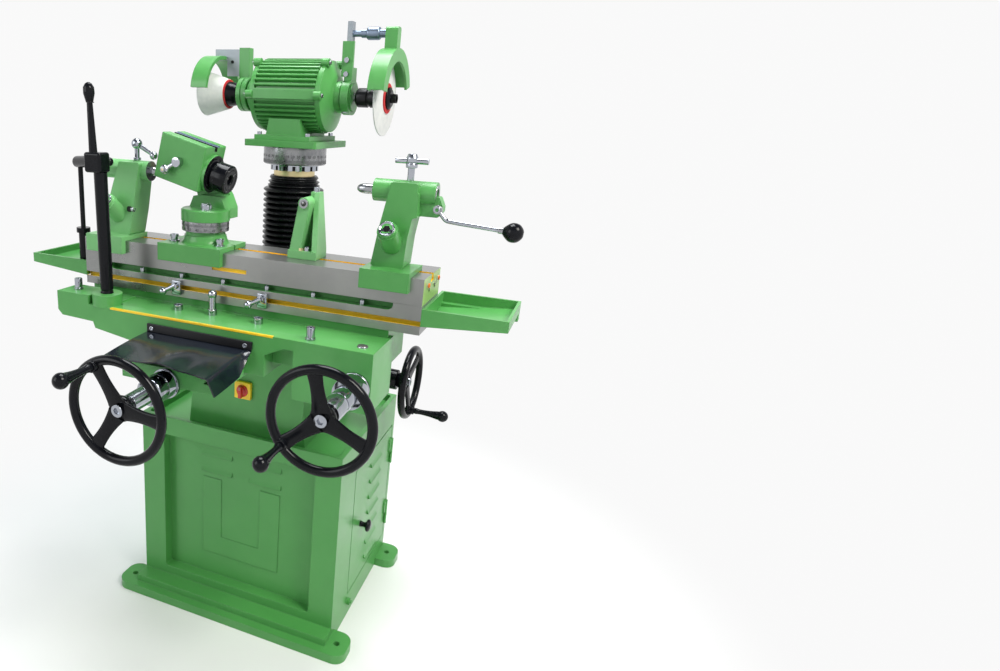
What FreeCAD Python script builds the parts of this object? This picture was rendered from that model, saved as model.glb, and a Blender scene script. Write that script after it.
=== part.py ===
import FreeCAD, Part
import math
import os

# Tool and cutter grinder: floor cabinet, cross slide, long table, swivelling table and motor wheelhead.
# Millimetres. +X runs along the table to the right, +Y to the back, +Z up. The origin is on the floor,
# in the middle of the four foot bolts.

X_AXIS = FreeCAD.Vector(1, 0, 0)
Y_AXIS = FreeCAD.Vector(0, 1, 0)
Z_AXIS = FreeCAD.Vector(0, 0, 1)
FULL_TURN = 360.0

# Clearances
RUN_FIT = 0.05
SLIDE_GAP = 0.2
FREE_GAP = 0.5
BIG_GAP = 3.0

# Foot and cabinet
BASE_WIDTH = 576.0
BASE_DEPTH = 534.0
BASE_THICK = 25.0
EAR_REACH = 24.0
EAR_INSET = 46.0
EAR_SPACING_X = BASE_WIDTH + 2 * EAR_REACH
EAR_SPACING_Y = BASE_DEPTH - 2 * EAR_INSET
EAR_OVERHANG = 32.0
EAR_BOLT_R = 8.0
PLINTH_STEP = 20.0
PLINTH_INSET = 22.0
CABINET_SETBACK = 67.0
CABINET_INSET = 5.0
CABINET_FRONT = CABINET_SETBACK - BASE_DEPTH / 2
CABINET_BACK = BASE_DEPTH / 2 - CABINET_INSET
CABINET_TOP = 535.0
CABINET_WALL = 6.0
RIM_WIDTH = 12.0
RIM_DEPTH = 20.0
DECK_THICK = 10.0
PANEL_HALF = 220.0
PANEL_LOW = 71.0
PANEL_HIGH_DROP = 51.0
PANEL_HIGH = CABINET_TOP - PANEL_HIGH_DROP
PANEL_DEPTH = 30.0
LOUVRE_WIDTH = 92.0
LOUVRE_HEIGHT = 14.0
LOUVRE_PROUD = 6.0
LOUVRE_PITCH = 48.5
DOOR_LOUVRES = 7
PANEL_LOUVRES = 2
PANEL_PAD_HALF = 115.0
PANEL_PAD_LOW = 138.0
PANEL_PAD_HIGH = 372.0
PANEL_PAD_PROUD = 2.0
EARTH_BOSS_R = 10.0
EARTH_BOSS_LONG = 9.0

# Door in the right side
DOOR_SETBACK = 120.0
DOOR_INSET = 22.0
DOOR_FRONT = CABINET_FRONT + DOOR_SETBACK
DOOR_BACK = CABINET_BACK - DOOR_INSET
DOOR_LOW = 73.0
DOOR_HIGH_DROP = 92.0
DOOR_HIGH = CABINET_TOP - DOOR_HIGH_DROP
DOOR_GAP = 4.0
HINGE_R = 4.0
HINGE_PIN_R = 2.0
KNUCKLE_LONG = 40.0
KNOB_R = 17.0
KNOB_LONG = 30.0
KNOB_SETBACK = 70.0
KNOB_HEIGHT = 252.0

# Neck and cross bed
NECK_HALF = 161.0
NECK_FOOT_HALF = 169.0
NECK_FOOT_TOP_RISE = 60.0
NECK_FOOT_TOP = CABINET_TOP + NECK_FOOT_TOP_RISE
NECK_FRONT = -151.0
NECK_BACK = 195.0
NECK_TOP_RISE = 180.0
NECK_TOP = NECK_FOOT_TOP + NECK_TOP_RISE
NECK_WALL = 12.0
BED_HALF = 112.0
BED_WAIST_HALF = 86.0
BED_CROWN_HALF = 102.0
BED_FRONT = -507.0
BED_SHELF_RISE = 20.0
BED_SHELF = NECK_TOP + BED_SHELF_RISE
BED_TOP_RISE = 17.0
BED_TOP = BED_SHELF + BED_TOP_RISE
BED_REAR = -20.0
HOUSING_TOP_RISE = 33.0
HOUSING_TOP = BED_TOP + HOUSING_TOP_RISE
SCREW_CHANNEL_HALF = 14.0
NOSE_BOSS_R = 33.0
NOSE_BOSS_LONG = 46.0
SWITCH_X = -5.0
SWITCH_Z_RISE = 44.0
SWITCH_Z = NECK_FOOT_TOP + SWITCH_Z_RISE
SWITCH_SIZE = 46.0
SWITCH_THICK = 12.0
SWITCH_KNOB_R = 17.0
SWITCH_KNOB_LONG = 16.0

# Wheelhead column
COLUMN_Y = 100.0
COLUMN_R = 35.0
COLUMN_BOTTOM_RISE = 10.0
COLUMN_BOTTOM = HOUSING_TOP + COLUMN_BOTTOM_RISE
GUIDE_R = 47.0
GUIDE_TOP_RISE = 155.0
GUIDE_TOP = HOUSING_TOP + GUIDE_TOP_RISE
SWIVEL_PIN_R = 20.0
SWIVEL_PIN_LONG = 34.0
BRASS_R = 54.0
BRASS_BOTTOM_RISE = 316.0
BRASS_BOTTOM = HOUSING_TOP + BRASS_BOTTOM_RISE
INDEX_BOTTOM_RISE = 14.0
INDEX_BOTTOM = BRASS_BOTTOM + INDEX_BOTTOM_RISE
INDEX_R = 63.0
INDEX_NOTCHES = 16
NOTCH_WIDTH = 8.0
NOTCH_DEPTH = 6.0
SCALE_BOTTOM_RISE = 15.0
SCALE_BOTTOM = INDEX_BOTTOM + SCALE_BOTTOM_RISE
SCALE_R = 82.0
PLATE_BOTTOM_RISE = 45.0
PLATE_BOTTOM = SCALE_BOTTOM + PLATE_BOTTOM_RISE
PLATE_THICK = 16.0
PLATE_HALF = 98.0
PLATE_FRONT = -2.0
PLATE_BACK = 218.0
PLATE_CORNER = 6.0

# Bellows
BELLOWS_RIBS = 18
BELLOWS_RIB_R = 80.0
BELLOWS_ROOT_R = 66.0
BELLOWS_NECK_R = 60.0
BELLOWS_BORE_R = 57.0
BELLOWS_NECK_LONG = 30.0

# Motor and spindle
MOTOR_AXIS_Z_RISE = 124.0
MOTOR_AXIS_Z = PLATE_BOTTOM + MOTOR_AXIS_Z_RISE
MOTOR_HALF = 82.0
MOTOR_CORE_R = 79.0
FIN_TIP_R = 89.0
FIN_COUNT = 44
FIN_THICK = 4.6
STATOR_BORE_R = 54.0
ROTOR_R = 52.0
ROTOR_HALF = 60.0
BELL_RIM_R = 85.0
BELL_FACE_R = 78.0
BELL_EDGE_HALF = 98.0
BELL_NOSE_HALF = 112.0
BELL_HUB_R = 38.0
BELL_HUB_HALF = 127.0
SPIGOT_R = 33.0
SPIGOT_HALF = 154.0
SIDE_RIB_HEIGHT = 20.0
SIDE_RIB_R = 94.0
TIE_BOSS_R = 10.0
TIE_BOSS_LONG = 16.0
FOOT_HALF = 75.0
FOOT_THICK = 12.0
FOOT_EDGE = 12.0
PEDESTAL_HALF = 50.0
PEDESTAL_TOP_HALF = 42.0
PEDESTAL_Y_HALF = 76.0
PEDESTAL_TOP_DROP = 56.0
PEDESTAL_TOP = MOTOR_AXIS_Z - PEDESTAL_TOP_DROP
FOOT_BOLT_R = 6.0
FOOT_BOLT_HIGH = 7.0
SPINDLE_R = 10.0

# Grinding wheels
DISC_R = 88.0
DISC_X = 230.0
DISC_THICK = 8.0
SLEEVE_R = 23.0
SLEEVE_FROM = 160.0
WASHER_R = 35.0
WASHER_THICK = 3.0
CLAMP_FLANGE_R = 26.0
CLAMP_FLANGE_THICK = 9.0
SPINDLE_NUT_R = 12.0
SPINDLE_NUT_LONG = 12.0
CUP_BACK_X = 199.0
CUP_MOUTH_X = 266.0
CUP_BACK_R = 38.0
CUP_MOUTH_R = 57.0
CUP_WALL = 8.0
CUP_HUB_R = 32.0
CUP_HUB_WAIST_R = 25.0
CUP_HUB_FROM = 161.0
CUP_WASHER_R = 36.5

# Wheel guards
GUARD_R = 113.0
GUARD_EYE_R = 84.0
GUARD_FACE_X = 262.0
GUARD_BACK_X = 222.0
GUARD_WALL = 6.0
GUARD_START = 16.0
GUARD_END = 172.0
CLAMP_RING_R = 42.0
CLAMP_RING_WIDE = 20.0
CLAMP_RING_X = 130.0
BAR_X = 136.0
BAR_THICK = 12.0
BAR_Y_HALF = 11.0
BAR_BOTTOM_RISE = 45.0
BAR_BOTTOM = MOTOR_AXIS_Z + BAR_BOTTOM_RISE
BAR_TOP_RISE = 173.0
BAR_TOP = MOTOR_AXIS_Z + BAR_TOP_RISE
BAR_SLOT_HALF = 4.0
BRACKET_HALF_Y = 17.0
BRACKET_THICK = 8.0
BRACKET_TOP_RISE = 128.0
BRACKET_TOP = MOTOR_AXIS_Z + BRACKET_TOP_RISE
ROD_Z_RISE = 146.0
ROD_Z = MOTOR_AXIS_Z + ROD_Z_RISE
ROD_R = 10.0
ROD_NECK_R = 7.5
ROD_NECK_LONG = 22.0
BLOCK_HALF_Y = 14.0
BLOCK_BOTTOM_DROP = 39.0
BLOCK_BOTTOM = ROD_Z - BLOCK_BOTTOM_DROP
BLOCK_TOP_RISE = 14.0
BLOCK_TOP = ROD_Z + BLOCK_TOP_RISE
BLOCK_X = 226.0
BLOCK_WIDE = 30.0
BAND_R = 95.0
BAND_THICK = 9.0
BAND_X = 215.0
BAND_WIDE = 46.0
GUARD_POST_X = 146.0
GUARD_POST_WIDE = 30.0
GUARD_POST_Y = 12.0
GUARD_POST_DEEP = 22.0
GUARD_POST_TOP_RISE = 116.0
GUARD_POST_TOP = MOTOR_AXIS_Z + GUARD_POST_TOP_RISE
GUARD_PLATE_THICK = 5.0
GUARD_PLATE_HIGH_RISE = 112.0
GUARD_PLATE_HIGH = MOTOR_AXIS_Z + GUARD_PLATE_HIGH_RISE
GUARD_PLATE_END = 248.0

# Saddle
SADDLE_LEFT = -392.0
SADDLE_RIGHT = 396.0
SADDLE_FRONT = -382.0
SADDLE_BEAM_BACK = -262.0
SADDLE_BACK = -133.0
SHELF_TOP_RISE = 63.0
SHELF_TOP = BED_TOP + SHELF_TOP_RISE
WAY_TOP_RISE = 18.0
WAY_TOP = SHELF_TOP + WAY_TOP_RISE
WAY_BOTTOM_DROP = 69.0
WAY_BOTTOM = SHELF_TOP - WAY_BOTTOM_DROP
APRON_RIGHT = 160.0
APRON_BOTTOM_DROP = 92.0
APRON_BOTTOM = SHELF_TOP - APRON_BOTTOM_DROP
BEAM_BOTTOM_DROP = 72.0
BEAM_BOTTOM = SHELF_TOP - BEAM_BOTTOM_DROP
TOE_BOTTOM_DROP = 40.0
TOE_BOTTOM = SHELF_TOP - TOE_BOTTOM_DROP
TOE_X = -286.0
HEEL_X = -162.0
GEAR_BLOCK_LEFT = 225.0
GEAR_BLOCK_BOTTOM_DROP = 130.0
GEAR_BLOCK_BOTTOM = SHELF_TOP - GEAR_BLOCK_BOTTOM_DROP
GEAR_BLOCK_BACK = -240.0
COVE_TOP_DROP = 23.0
COVE_TOP = SHELF_TOP - COVE_TOP_DROP
COVE_DEPTH = 42.0
PAD_TOP_RISE = 21.0
PAD_TOP = SHELF_TOP + PAD_TOP_RISE
PAD_RIGHT = -300.0
PAD_BACK = -306.0
LEVER_BOSS_R = 35.0
LEVER_BOSS_TOP_RISE = 26.0
LEVER_BOSS_TOP = SHELF_TOP + LEVER_BOSS_TOP_RISE
SHELF_BOLT_R = 9.0
SHELF_BOLT_HIGH = 11.0
SHELF_BOLT_X = 104.0
SHELF_BOLT_Y = -302.0
TALL_BOLT_R = 8.0
TALL_BOLT_HIGH = 26.0
TALL_BOLT_X = 252.0
TALL_BOLT_Y = -357.0
PAD_BOLT_X = -358.0
PAD_BOLT_Y = -345.0
STOP_X = -16.0
STOP_Y = -296.0
STOP_R = 6.5
STOP_BALL_R = 8.5
STOP_BALL_Z_RISE = 46.0
STOP_BALL_Z = SHELF_TOP + STOP_BALL_Z_RISE
PLUG_X = 362.0
PLUG_Y = -347.0
PLUG_R = 12.0

# Chute sheet and its strip
STRIP_HALF = 132.0
STRIP_LOW_DROP = 40.0
STRIP_LOW = SHELF_TOP - STRIP_LOW_DROP
STRIP_HIGH_DROP = 18.0
STRIP_HIGH = SHELF_TOP - STRIP_HIGH_DROP
STRIP_THICK = 4.0
STRIP_SCREW_R = 5.0
STRIP_SCREW_X = 118.0
SHEET_THICK = 3.0
SHEET_FRONT = -542.0
SHEET_FRONT_Z_DROP = 51.0
SHEET_FRONT_Z = SHELF_TOP - SHEET_FRONT_Z_DROP
SHEET_ARCH_RISE = 8.0
SHEET_ARCH_HALF = 46.0
SHEET_TAIL = 34.0
SHEET_SAG = 5.0
SHEET_STATIONS = 23

# Handwheels
RIM_R = 9.5
RIM_OUTSET = 9.0
WHEEL_HUB_R = 26.0
WHEEL_HUB_LONG = 26.0
SPOKE_ROOT = 40.0
SPOKE_WAIST = 20.0
SPOKE_TIP = 34.0
SPOKE_THICK = 9.0
SPOKES = 3
CENTRE_NUT_R = 11.0
CENTRE_NUT_LONG = 9.0
SHAFT_R = 10.0
GRIP_INSET = 15.0
GRIP_LONG = 92.0
GRIP_ROOT_R = 7.0
GRIP_WAIST_R = 9.0
GRIP_BALL_R = 15.0
GRIP_BOSS_R = 11.0
GRIP_BOSS_LONG = 5.0
GRIP_PIN_R = 4.0
CROSS_WHEEL_R = 109.0
CROSS_AXIS_Z_DROP = 31.0
CROSS_AXIS_Z = BED_TOP - CROSS_AXIS_Z_DROP
CROSS_WHEEL_Y = -664.0
CROSS_GRIP_ANGLE = 118.0
CROSS_DIAL_R = 29.0
CROSS_DIAL_LONG = 33.0
CROSS_BEARING_LONG = 33.0
CROSS_NECK_R = 19.0
TRAVERSE_WHEEL_R = 107.0
TRAVERSE_AXIS_X = 362.0
TRAVERSE_AXIS_Z_DROP = 76.0
TRAVERSE_AXIS_Z = SHELF_TOP - TRAVERSE_AXIS_Z_DROP
TRAVERSE_WHEEL_Y = -557.0
TRAVERSE_GRIP_ANGLE = 220.0
TRAVERSE_BEARING_R = 33.0
TRAVERSE_BEARING_LONG = 42.0
TRAVERSE_DIAL_R = 23.0
LIFT_WHEEL_R = 99.0
LIFT_AXIS_Z_RISE = 50.0
LIFT_AXIS_Z = NECK_FOOT_TOP + LIFT_AXIS_Z_RISE
LIFT_WHEEL_X = 354.0
LIFT_GRIP_ANGLE = 277.0
LIFT_BEARING_R = 27.0
LIFT_FLANGE_R = 40.0
LIFT_FLANGE_THICK = 12.0
SCREW_R = 8.0
SCREW_END = -170.0
PINION_R = 26.0
PINION_LONG = 30.0
BEVEL_R = 24.0
BEVEL_LONG = 16.0

# Table
TABLE_MIDDLE = 30.5
TABLE_LONG = 851.0
TABLE_LEFT_END = TABLE_MIDDLE - TABLE_LONG / 2
TABLE_RIGHT_END = TABLE_MIDDLE + TABLE_LONG / 2
TABLE_FRONT = -270.0
TABLE_BACK = -126.0
LOWER_TOP_RISE = 61.0
LOWER_TOP = WAY_TOP + LOWER_TOP_RISE
UPPER_TOP_RISE = 56.0
UPPER_TOP = LOWER_TOP + UPPER_TOP_RISE
RECESS_LEFT = -319.0
RECESS_RIGHT = 396.0
RECESS_FLOOR = 938.0
RECESS_DEPTH = 24.0
RECESS_CORNER = 12.0
SLOT_LOW_DROP = 42.0
SLOT_LOW = LOWER_TOP - SLOT_LOW_DROP
SLOT_HIGH_DROP = 31.0
SLOT_HIGH = LOWER_TOP - SLOT_HIGH_DROP
SLOT_DEPTH = 9.0
SLOT_NECK = 5.0
TEE_HALF = 7.0
TEE_DEPTH = 9.0
TEE_FOOT_HALF = 12.0
TEE_FOOT_DEPTH = 7.0
TABLE_LIGHTEN = 30.0
WINDOW_LEFT = -33.0
WINDOW_RIGHT = 55.0
WINDOW_LOW_RISE = 16.0
WINDOW_LOW = LOWER_TOP + WINDOW_LOW_RISE
WINDOW_HIGH_RISE = 25.0
WINDOW_HIGH = LOWER_TOP + WINDOW_HIGH_RISE
WINDOW_DEPTH = 3.0
END_PLATE_THICK = 12.0
END_SCREW_R = 5.0
SWIVEL_PIN_TABLE_R = 14.0
SWIVEL_PIN_TABLE_HIGH = 20.0
CLAMP_BOLT_R = 6.0
CLAMP_BOLT_HIGH = 10.0
CLAMP_BOLT_FIRST = -234.0
CLAMP_BOLT_PITCH = 112.0
CLAMP_BOLTS = 6

# Trays
TRAY_LONG = 172.0
TRAY_BACK = -85.0
TRAY_TOP_DROP = 5.0
TRAY_TOP = LOWER_TOP - TRAY_TOP_DROP
TRAY_INNER_BOTTOM_DROP = 42.0
TRAY_INNER_BOTTOM = LOWER_TOP - TRAY_INNER_BOTTOM_DROP
TRAY_OUTER_BOTTOM_DROP = 28.0
TRAY_OUTER_BOTTOM = LOWER_TOP - TRAY_OUTER_BOTTOM_DROP
TRAY_WALL = 6.0
TRAY_FLOOR = 6.0
TRAY_RAIL_HIGH = 18.0
TRAY_RAIL_DEEP = 22.0

# Trip dogs
DOG_HALF = 12.0
DOG_THICK = 10.0
DOG_LOW_DROP = 54.0
DOG_LOW = LOWER_TOP - DOG_LOW_DROP
DOG_HIGH_DROP = 20.0
DOG_HIGH = LOWER_TOP - DOG_HIGH_DROP
DOG_ARM_R = 4.5
DOG_BALL_R = 8.0
DOG_ARM_LONG = 34.0
DOG_ARM_OUT = 8.0
DOG_DROP = 25.0
DOG_BOSS_R = 6.5
DOG_BOSS_LONG = 7.0
LEFT_DOG_X = -125.0
RIGHT_DOG_X = 100.0

# Traverse lever and its link
LEVER_X = -268.0
LEVER_Y = -352.0
LEVER_R = 15.0
LEVER_POST_TOP_RISE = 265.0
LEVER_POST_TOP = LEVER_BOSS_TOP + LEVER_POST_TOP_RISE
LEVER_NECK_R = 9.5
LEVER_TIP_R = 6.5
LEVER_LEAN = 1.0
LEVER_KNOB_R = 12.5
LEVER_KNOB_LONG = 42.0
LEVER_TOP_RISE = 200.0
LEVER_TOP = LEVER_POST_TOP + LEVER_TOP_RISE
LEVER_BLOCK_LOW_RISE = 10.0
LEVER_BLOCK_LOW = LEVER_POST_TOP + LEVER_BLOCK_LOW_RISE
LEVER_BLOCK_HIGH_RISE = 54.0
LEVER_BLOCK_HIGH = LEVER_POST_TOP + LEVER_BLOCK_HIGH_RISE
LEVER_BLOCK_LEFT = 31.0
LEVER_BLOCK_HALF_Y = 19.0
LEVER_HANDLE_SHIFT = 17.0
LINK_Z_RISE = 32.0
LINK_Z = LEVER_POST_TOP + LINK_Z_RISE
LINK_PIN_R = 6.0
LINK_SLOT_CLEAR = 1.5
LINK_SLOT_RISE = 13.0
LINK_SLOT_DEPTH = 26.0
LINK_KNUCKLE_R = 10.0
LINK_ARM_R = 14.0
LINK_ARM_DROP = 12.0
LINK_ROD_OUT = 24.0
LINK_ROD_X = TABLE_LEFT_END - LINK_ROD_OUT
LINK_ROD_Y = -246.0
LINK_ROD_R = 6.0
LINK_SOCKET_R = 12.0
LINK_SOCKET_HIGH = 68.0
LINK_COLLAR_R = 17.0
LINK_COLLAR_HIGH = 12.0

# Table attachments
CENTRE_Y = -215.0
CENTRE_Z_RISE = 164.0
CENTRE_Z = UPPER_TOP + CENTRE_Z_RISE
CENTRE_R = 10.5
CENTRE_CONE = 18.0
ATTACH_FRONT = -285.0
ATTACH_BACK = -180.0
ATTACH_LIP = 980.0
ATTACH_FOOT_TOP_RISE = 11.0
ATTACH_FOOT_TOP = UPPER_TOP + ATTACH_FOOT_TOP_RISE
CASTING_FRONT = -247.0
CASTING_BACK = -183.0
CASTING_ROUND = 5.0
CENTRE_BOSS_R = 23.0
CAP_Z_DROP = 72.0
CAP_Z = CENTRE_Z - CAP_Z_DROP
CAP_R = 18.0
CAP_BOSS_R = 21.0
CAP_FRONT = -284.0
CAP_THICK = 8.0
CAP_TILT = 38.0
CAP_BOSS_LONG = 58.0

LEFT_STOCK_INSET = 16.0
LEFT_STOCK_LEFT = TABLE_LEFT_END + LEFT_STOCK_INSET
LEFT_STOCK_WIDE = 106.0
LEFT_STOCK_RIGHT = LEFT_STOCK_LEFT + LEFT_STOCK_WIDE
LEFT_CAP_IN = 67.0
LEFT_STOCK_CAP_X = LEFT_STOCK_LEFT + LEFT_CAP_IN
LEFT_BOSS_IN = 21.0
LEFT_BOSS_LEFT = LEFT_STOCK_LEFT + LEFT_BOSS_IN
LEFT_BOSS_REACH = 147.0
LEFT_BOSS_RIGHT = LEFT_STOCK_LEFT + LEFT_BOSS_REACH
LEFT_CLAMP_IN = 107.0
LEFT_CLAMP_X = LEFT_STOCK_LEFT + LEFT_CLAMP_IN
CLAMP_STEM_R = 6.0
CLAMP_STEM_HIGH = 38.0
CLAMP_BALL_R = 13.0
SIDE_SCREW_R = 8.0
SIDE_SCREW_LONG = 12.0

RIGHT_STOCK_IN = 133.0
RIGHT_STOCK_LEFT = TABLE_RIGHT_END - RIGHT_STOCK_IN
RIGHT_STOCK_WIDE = 105.0
RIGHT_STOCK_RIGHT = RIGHT_STOCK_LEFT + RIGHT_STOCK_WIDE
RIGHT_CAP_IN = 52.0
RIGHT_STOCK_CAP_X = RIGHT_STOCK_LEFT + RIGHT_CAP_IN
RIGHT_BOSS_REACH = 24.0
RIGHT_BOSS_RIGHT = RIGHT_STOCK_RIGHT + RIGHT_BOSS_REACH
QUILL_REACH = 39.0
QUILL_TIP = RIGHT_STOCK_LEFT - QUILL_REACH
QUILL_STROKE = 12.0
ARM_REACH = 16.0
ARM_END_X = RIGHT_BOSS_RIGHT + ARM_REACH
ARM_PIVOT_OUT = 8.0
ARM_PIVOT_X = RIGHT_BOSS_RIGHT + ARM_PIVOT_OUT
ARM_PIVOT_Z_DROP = 28.0
ARM_PIVOT_Z = CENTRE_Z - ARM_PIVOT_Z_DROP
ARM_BOTTOM_DROP = 45.0
ARM_BOTTOM = CENTRE_Z - ARM_BOTTOM_DROP
ARM_THICK = 26.0
LEVER_CRANK_R = 9.0
LEVER_CRANK_WIDE = 10.0
LEVER_ROD_R = 4.5
LEVER_KNEE_OUT = 18.0
LEVER_KNEE_X = ARM_PIVOT_X + LEVER_KNEE_OUT
LEVER_KNEE_Z_DROP = 49.0
LEVER_KNEE_Z = CENTRE_Z - LEVER_KNEE_Z_DROP
LEVER_BALL_OUT = 130.0
LEVER_BALL_X = LEVER_KNEE_X + LEVER_BALL_OUT
LEVER_BALL_Z_DROP = 59.0
LEVER_BALL_Z = CENTRE_Z - LEVER_BALL_Z_DROP
LEVER_BALL_R = 19.0
TEE_CLAMP_IN = 72.0
TEE_CLAMP_X = RIGHT_STOCK_LEFT + TEE_CLAMP_IN
TEE_CLAMP_STEM_R = 7.0
TEE_CLAMP_HUB_R = 12.0
TEE_CLAMP_BAR_Z_RISE = 61.0
TEE_CLAMP_BAR_Z = CENTRE_Z + TEE_CLAMP_BAR_Z_RISE
TEE_CLAMP_BAR_HALF = 34.0
TEE_CLAMP_BAR_R = 6.0
TEE_CLAMP_TOP_RISE = 75.0
TEE_CLAMP_TOP = CENTRE_Z + TEE_CLAMP_TOP_RISE

REST_LEFT = 134.0
REST_RIGHT = 202.0
REST_FRONT = -225.0
REST_BACK = -162.0
REST_FOOT_TOP_RISE = 18.0
REST_FOOT_TOP = UPPER_TOP + REST_FOOT_TOP_RISE
REST_TOP_RISE = 144.0
REST_TOP = UPPER_TOP + REST_TOP_RISE
REST_TOP_RIGHT = 188.0
REST_WEB = 12.0
REST_BOSS_R = 13.0
REST_BOSS_X = 168.0
REST_BOSS_Z_RISE = 122.0
REST_BOSS_Z = UPPER_TOP + REST_BOSS_Z_RISE
REST_PLUNGER_R = 5.0

HEAD_FOOT_LEFT = -171.0
HEAD_FOOT_RIGHT = -5.0
HEAD_FOOT_BACK = -160.0
HEAD_BOLT_INSET = 22.0
HEAD_BOLT_Y = -246.0
HEAD_BOLT_R = 8.0
HEAD_AXIS_X = -83.0
HEAD_PEDESTAL_R = 46.0
HEAD_PEDESTAL_TOP_RISE = 40.0
HEAD_PEDESTAL_TOP = UPPER_TOP + HEAD_PEDESTAL_TOP_RISE
HEAD_SCALE_R = 55.0
HEAD_SCALE_TOP_RISE = 23.0
HEAD_SCALE_TOP = HEAD_PEDESTAL_TOP + HEAD_SCALE_TOP_RISE
YOKE_DISC_R = 57.0
YOKE_DISC_TOP_RISE = 27.0
YOKE_DISC_TOP = HEAD_SCALE_TOP + YOKE_DISC_TOP_RISE
HEAD_X = -128.0
HEAD_Y = -209.0
HEAD_Z_RISE = 103.5
HEAD_Z = YOKE_DISC_TOP + HEAD_Z_RISE
HEAD_LONG = 119.0
HEAD_DEEP = 92.0
HEAD_HIGH = 103.0
HEAD_TILT = 14.2
HEAD_SLOT_HALF = 6.0
HEAD_SLOT_DEPTH = 12.0
HEAD_STRIP_HALF = 16.0
HEAD_STRIP_DEPTH = 2.0
CHEEK_THICK = 16.0
CHEEK_TOP_R = 30.0
CHEEK_FOOT_HALF = 48.0
CHEEK_NECK_HALF = 36.0
CHEEK_NECK_TOP_RISE = 28.0
CHEEK_NECK_TOP = YOKE_DISC_TOP + CHEEK_NECK_TOP_RISE
CHEEK_FRONT = -208.0
YOKE_NUT_X = -66.0
YOKE_NUT_R = 13.0
YOKE_NUT_HIGH = 11.0
WORK_AXIS_DROP = 10.0
WORK_FLANGE_R = 43.0
WORK_FLANGE_THICK = 8.0
CHUCK_R = 33.0
CHUCK_FROM = 70.0
CHUCK_TO = 113.0
CHUCK_COLLAR_R = 36.5
CHUCK_BORE_R = 10.0
HEAD_PIN_R = 8.0
HEAD_BAR_R = 5.5
HEAD_BAR_REACH = 24.0
HEAD_BALL_R = 11.0


def at(x, y, z):
    """Point from its three coordinates."""
    return FreeCAD.Vector(x, y, z)


def block(x, y, z):
    """Rectangular block between a low and a high value on each axis."""
    low = at(x[0], y[0], z[0])
    return Part.makeBox(x[1] - x[0], y[1] - y[0], z[1] - z[0], low)


def rod(start, axis, length, radius):
    """Round bar from a start point along an axis."""
    return Part.makeCylinder(radius, length, start, axis)


def sleeve(start, axis, length, outer, bore):
    """Round bar with a bore right through it."""
    return rod(start, axis, length, outer).cut(rod(start, axis, length, bore))


def ball(centre, radius):
    """Sphere about a centre."""
    return Part.makeSphere(radius, centre)


def joined(*pieces):
    """One solid from touching or overlapping pieces."""
    return pieces[0].fuse(list(pieces[1:])).removeSplitter()


def face_of(points):
    """Flat face inside a closed run of corner points."""
    return Part.Face(Part.makePolygon(points + [points[0]]))


def front_prism(outline, y):
    """Outline in X and Z, carried from the front value of Y to the back one."""
    points = [at(x, y[0], z) for x, z in outline]
    return face_of(points).extrude(Y_AXIS * (y[1] - y[0]))


def side_prism(outline, x):
    """Outline in Y and Z, carried from the left value of X to the right one."""
    points = [at(x[0], y, z) for y, z in outline]
    return face_of(points).extrude(X_AXIS * (x[1] - x[0]))


def plan_prism(outline, z):
    """Outline in X and Y, carried from the low value of Z to the high one."""
    points = [at(x, y, z[0]) for x, y in outline]
    return face_of(points).extrude(Z_AXIS * (z[1] - z[0]))


def placed(shape, start, axis):
    """Shape made about +Z at the origin, turned to an axis and moved to a start point."""
    shape.Placement = FreeCAD.Placement(start, FreeCAD.Rotation(Z_AXIS, axis))
    return shape


def turned(profile, start, axis):
    """Solid of revolution from pairs of distance along the axis and radius."""
    points = [at(radius, 0, along) for along, radius in profile]
    first = at(0, 0, profile[0][0])
    last = at(0, 0, profile[-1][0])
    solid = face_of([first] + points + [last]).revolve(at(0, 0, 0), Z_AXIS, FULL_TURN)
    return placed(solid, start, axis)


def ball_arm(root, tip, root_radius, neck_radius, ball_radius):
    """Arm turned in one piece: it tapers from its root to a neck and ends in a ball about the tip."""
    run = tip - root
    neck_at = run.Length - math.sqrt(ball_radius ** 2 - neck_radius ** 2)
    neck_angle = math.degrees(math.asin((neck_at - run.Length) / ball_radius))
    across, along = polar(ball_radius, (neck_angle + FULL_TURN / 4) / 2)
    foot = at(0, 0, 0)
    heel = at(root_radius, 0, 0)
    neck = at(neck_radius, 0, neck_at)
    belly = at(across, 0, run.Length + along)
    crown = at(0, 0, run.Length + ball_radius)
    edges = [Part.LineSegment(foot, heel).toShape(), Part.LineSegment(heel, neck).toShape()]
    edges += [Part.Arc(neck, belly, crown).toShape(), Part.LineSegment(crown, foot).toShape()]
    solid = Part.Face(Part.Wire(edges)).revolve(foot, Z_AXIS, FULL_TURN)
    return placed(solid, root, run)


def softened(shape, radius, wanted):
    """Rounds the edges that the test picks."""
    return shape.makeFillet(radius, [edge for edge in shape.Edges if wanted(edge)])


def upright(edge):
    """Straight edge that runs up and down."""
    ends = edge.Vertexes
    if len(ends) < 2 or not isinstance(edge.Curve, Part.Line):
        return False
    run = ends[1].Point - ends[0].Point
    return math.hypot(run.x, run.y) < FREE_GAP


def runs_back(edge):
    """Straight edge that runs from front to back."""
    ends = edge.Vertexes
    if len(ends) < 2 or not isinstance(edge.Curve, Part.Line):
        return False
    run = ends[1].Point - ends[0].Point
    return math.hypot(run.x, run.z) < FREE_GAP


def polar(radius, angle):
    """Two coordinates of a point on a circle, angle in degrees."""
    turn = math.radians(angle)
    return radius * math.cos(turn), radius * math.sin(turn)


# Cabinet

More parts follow.
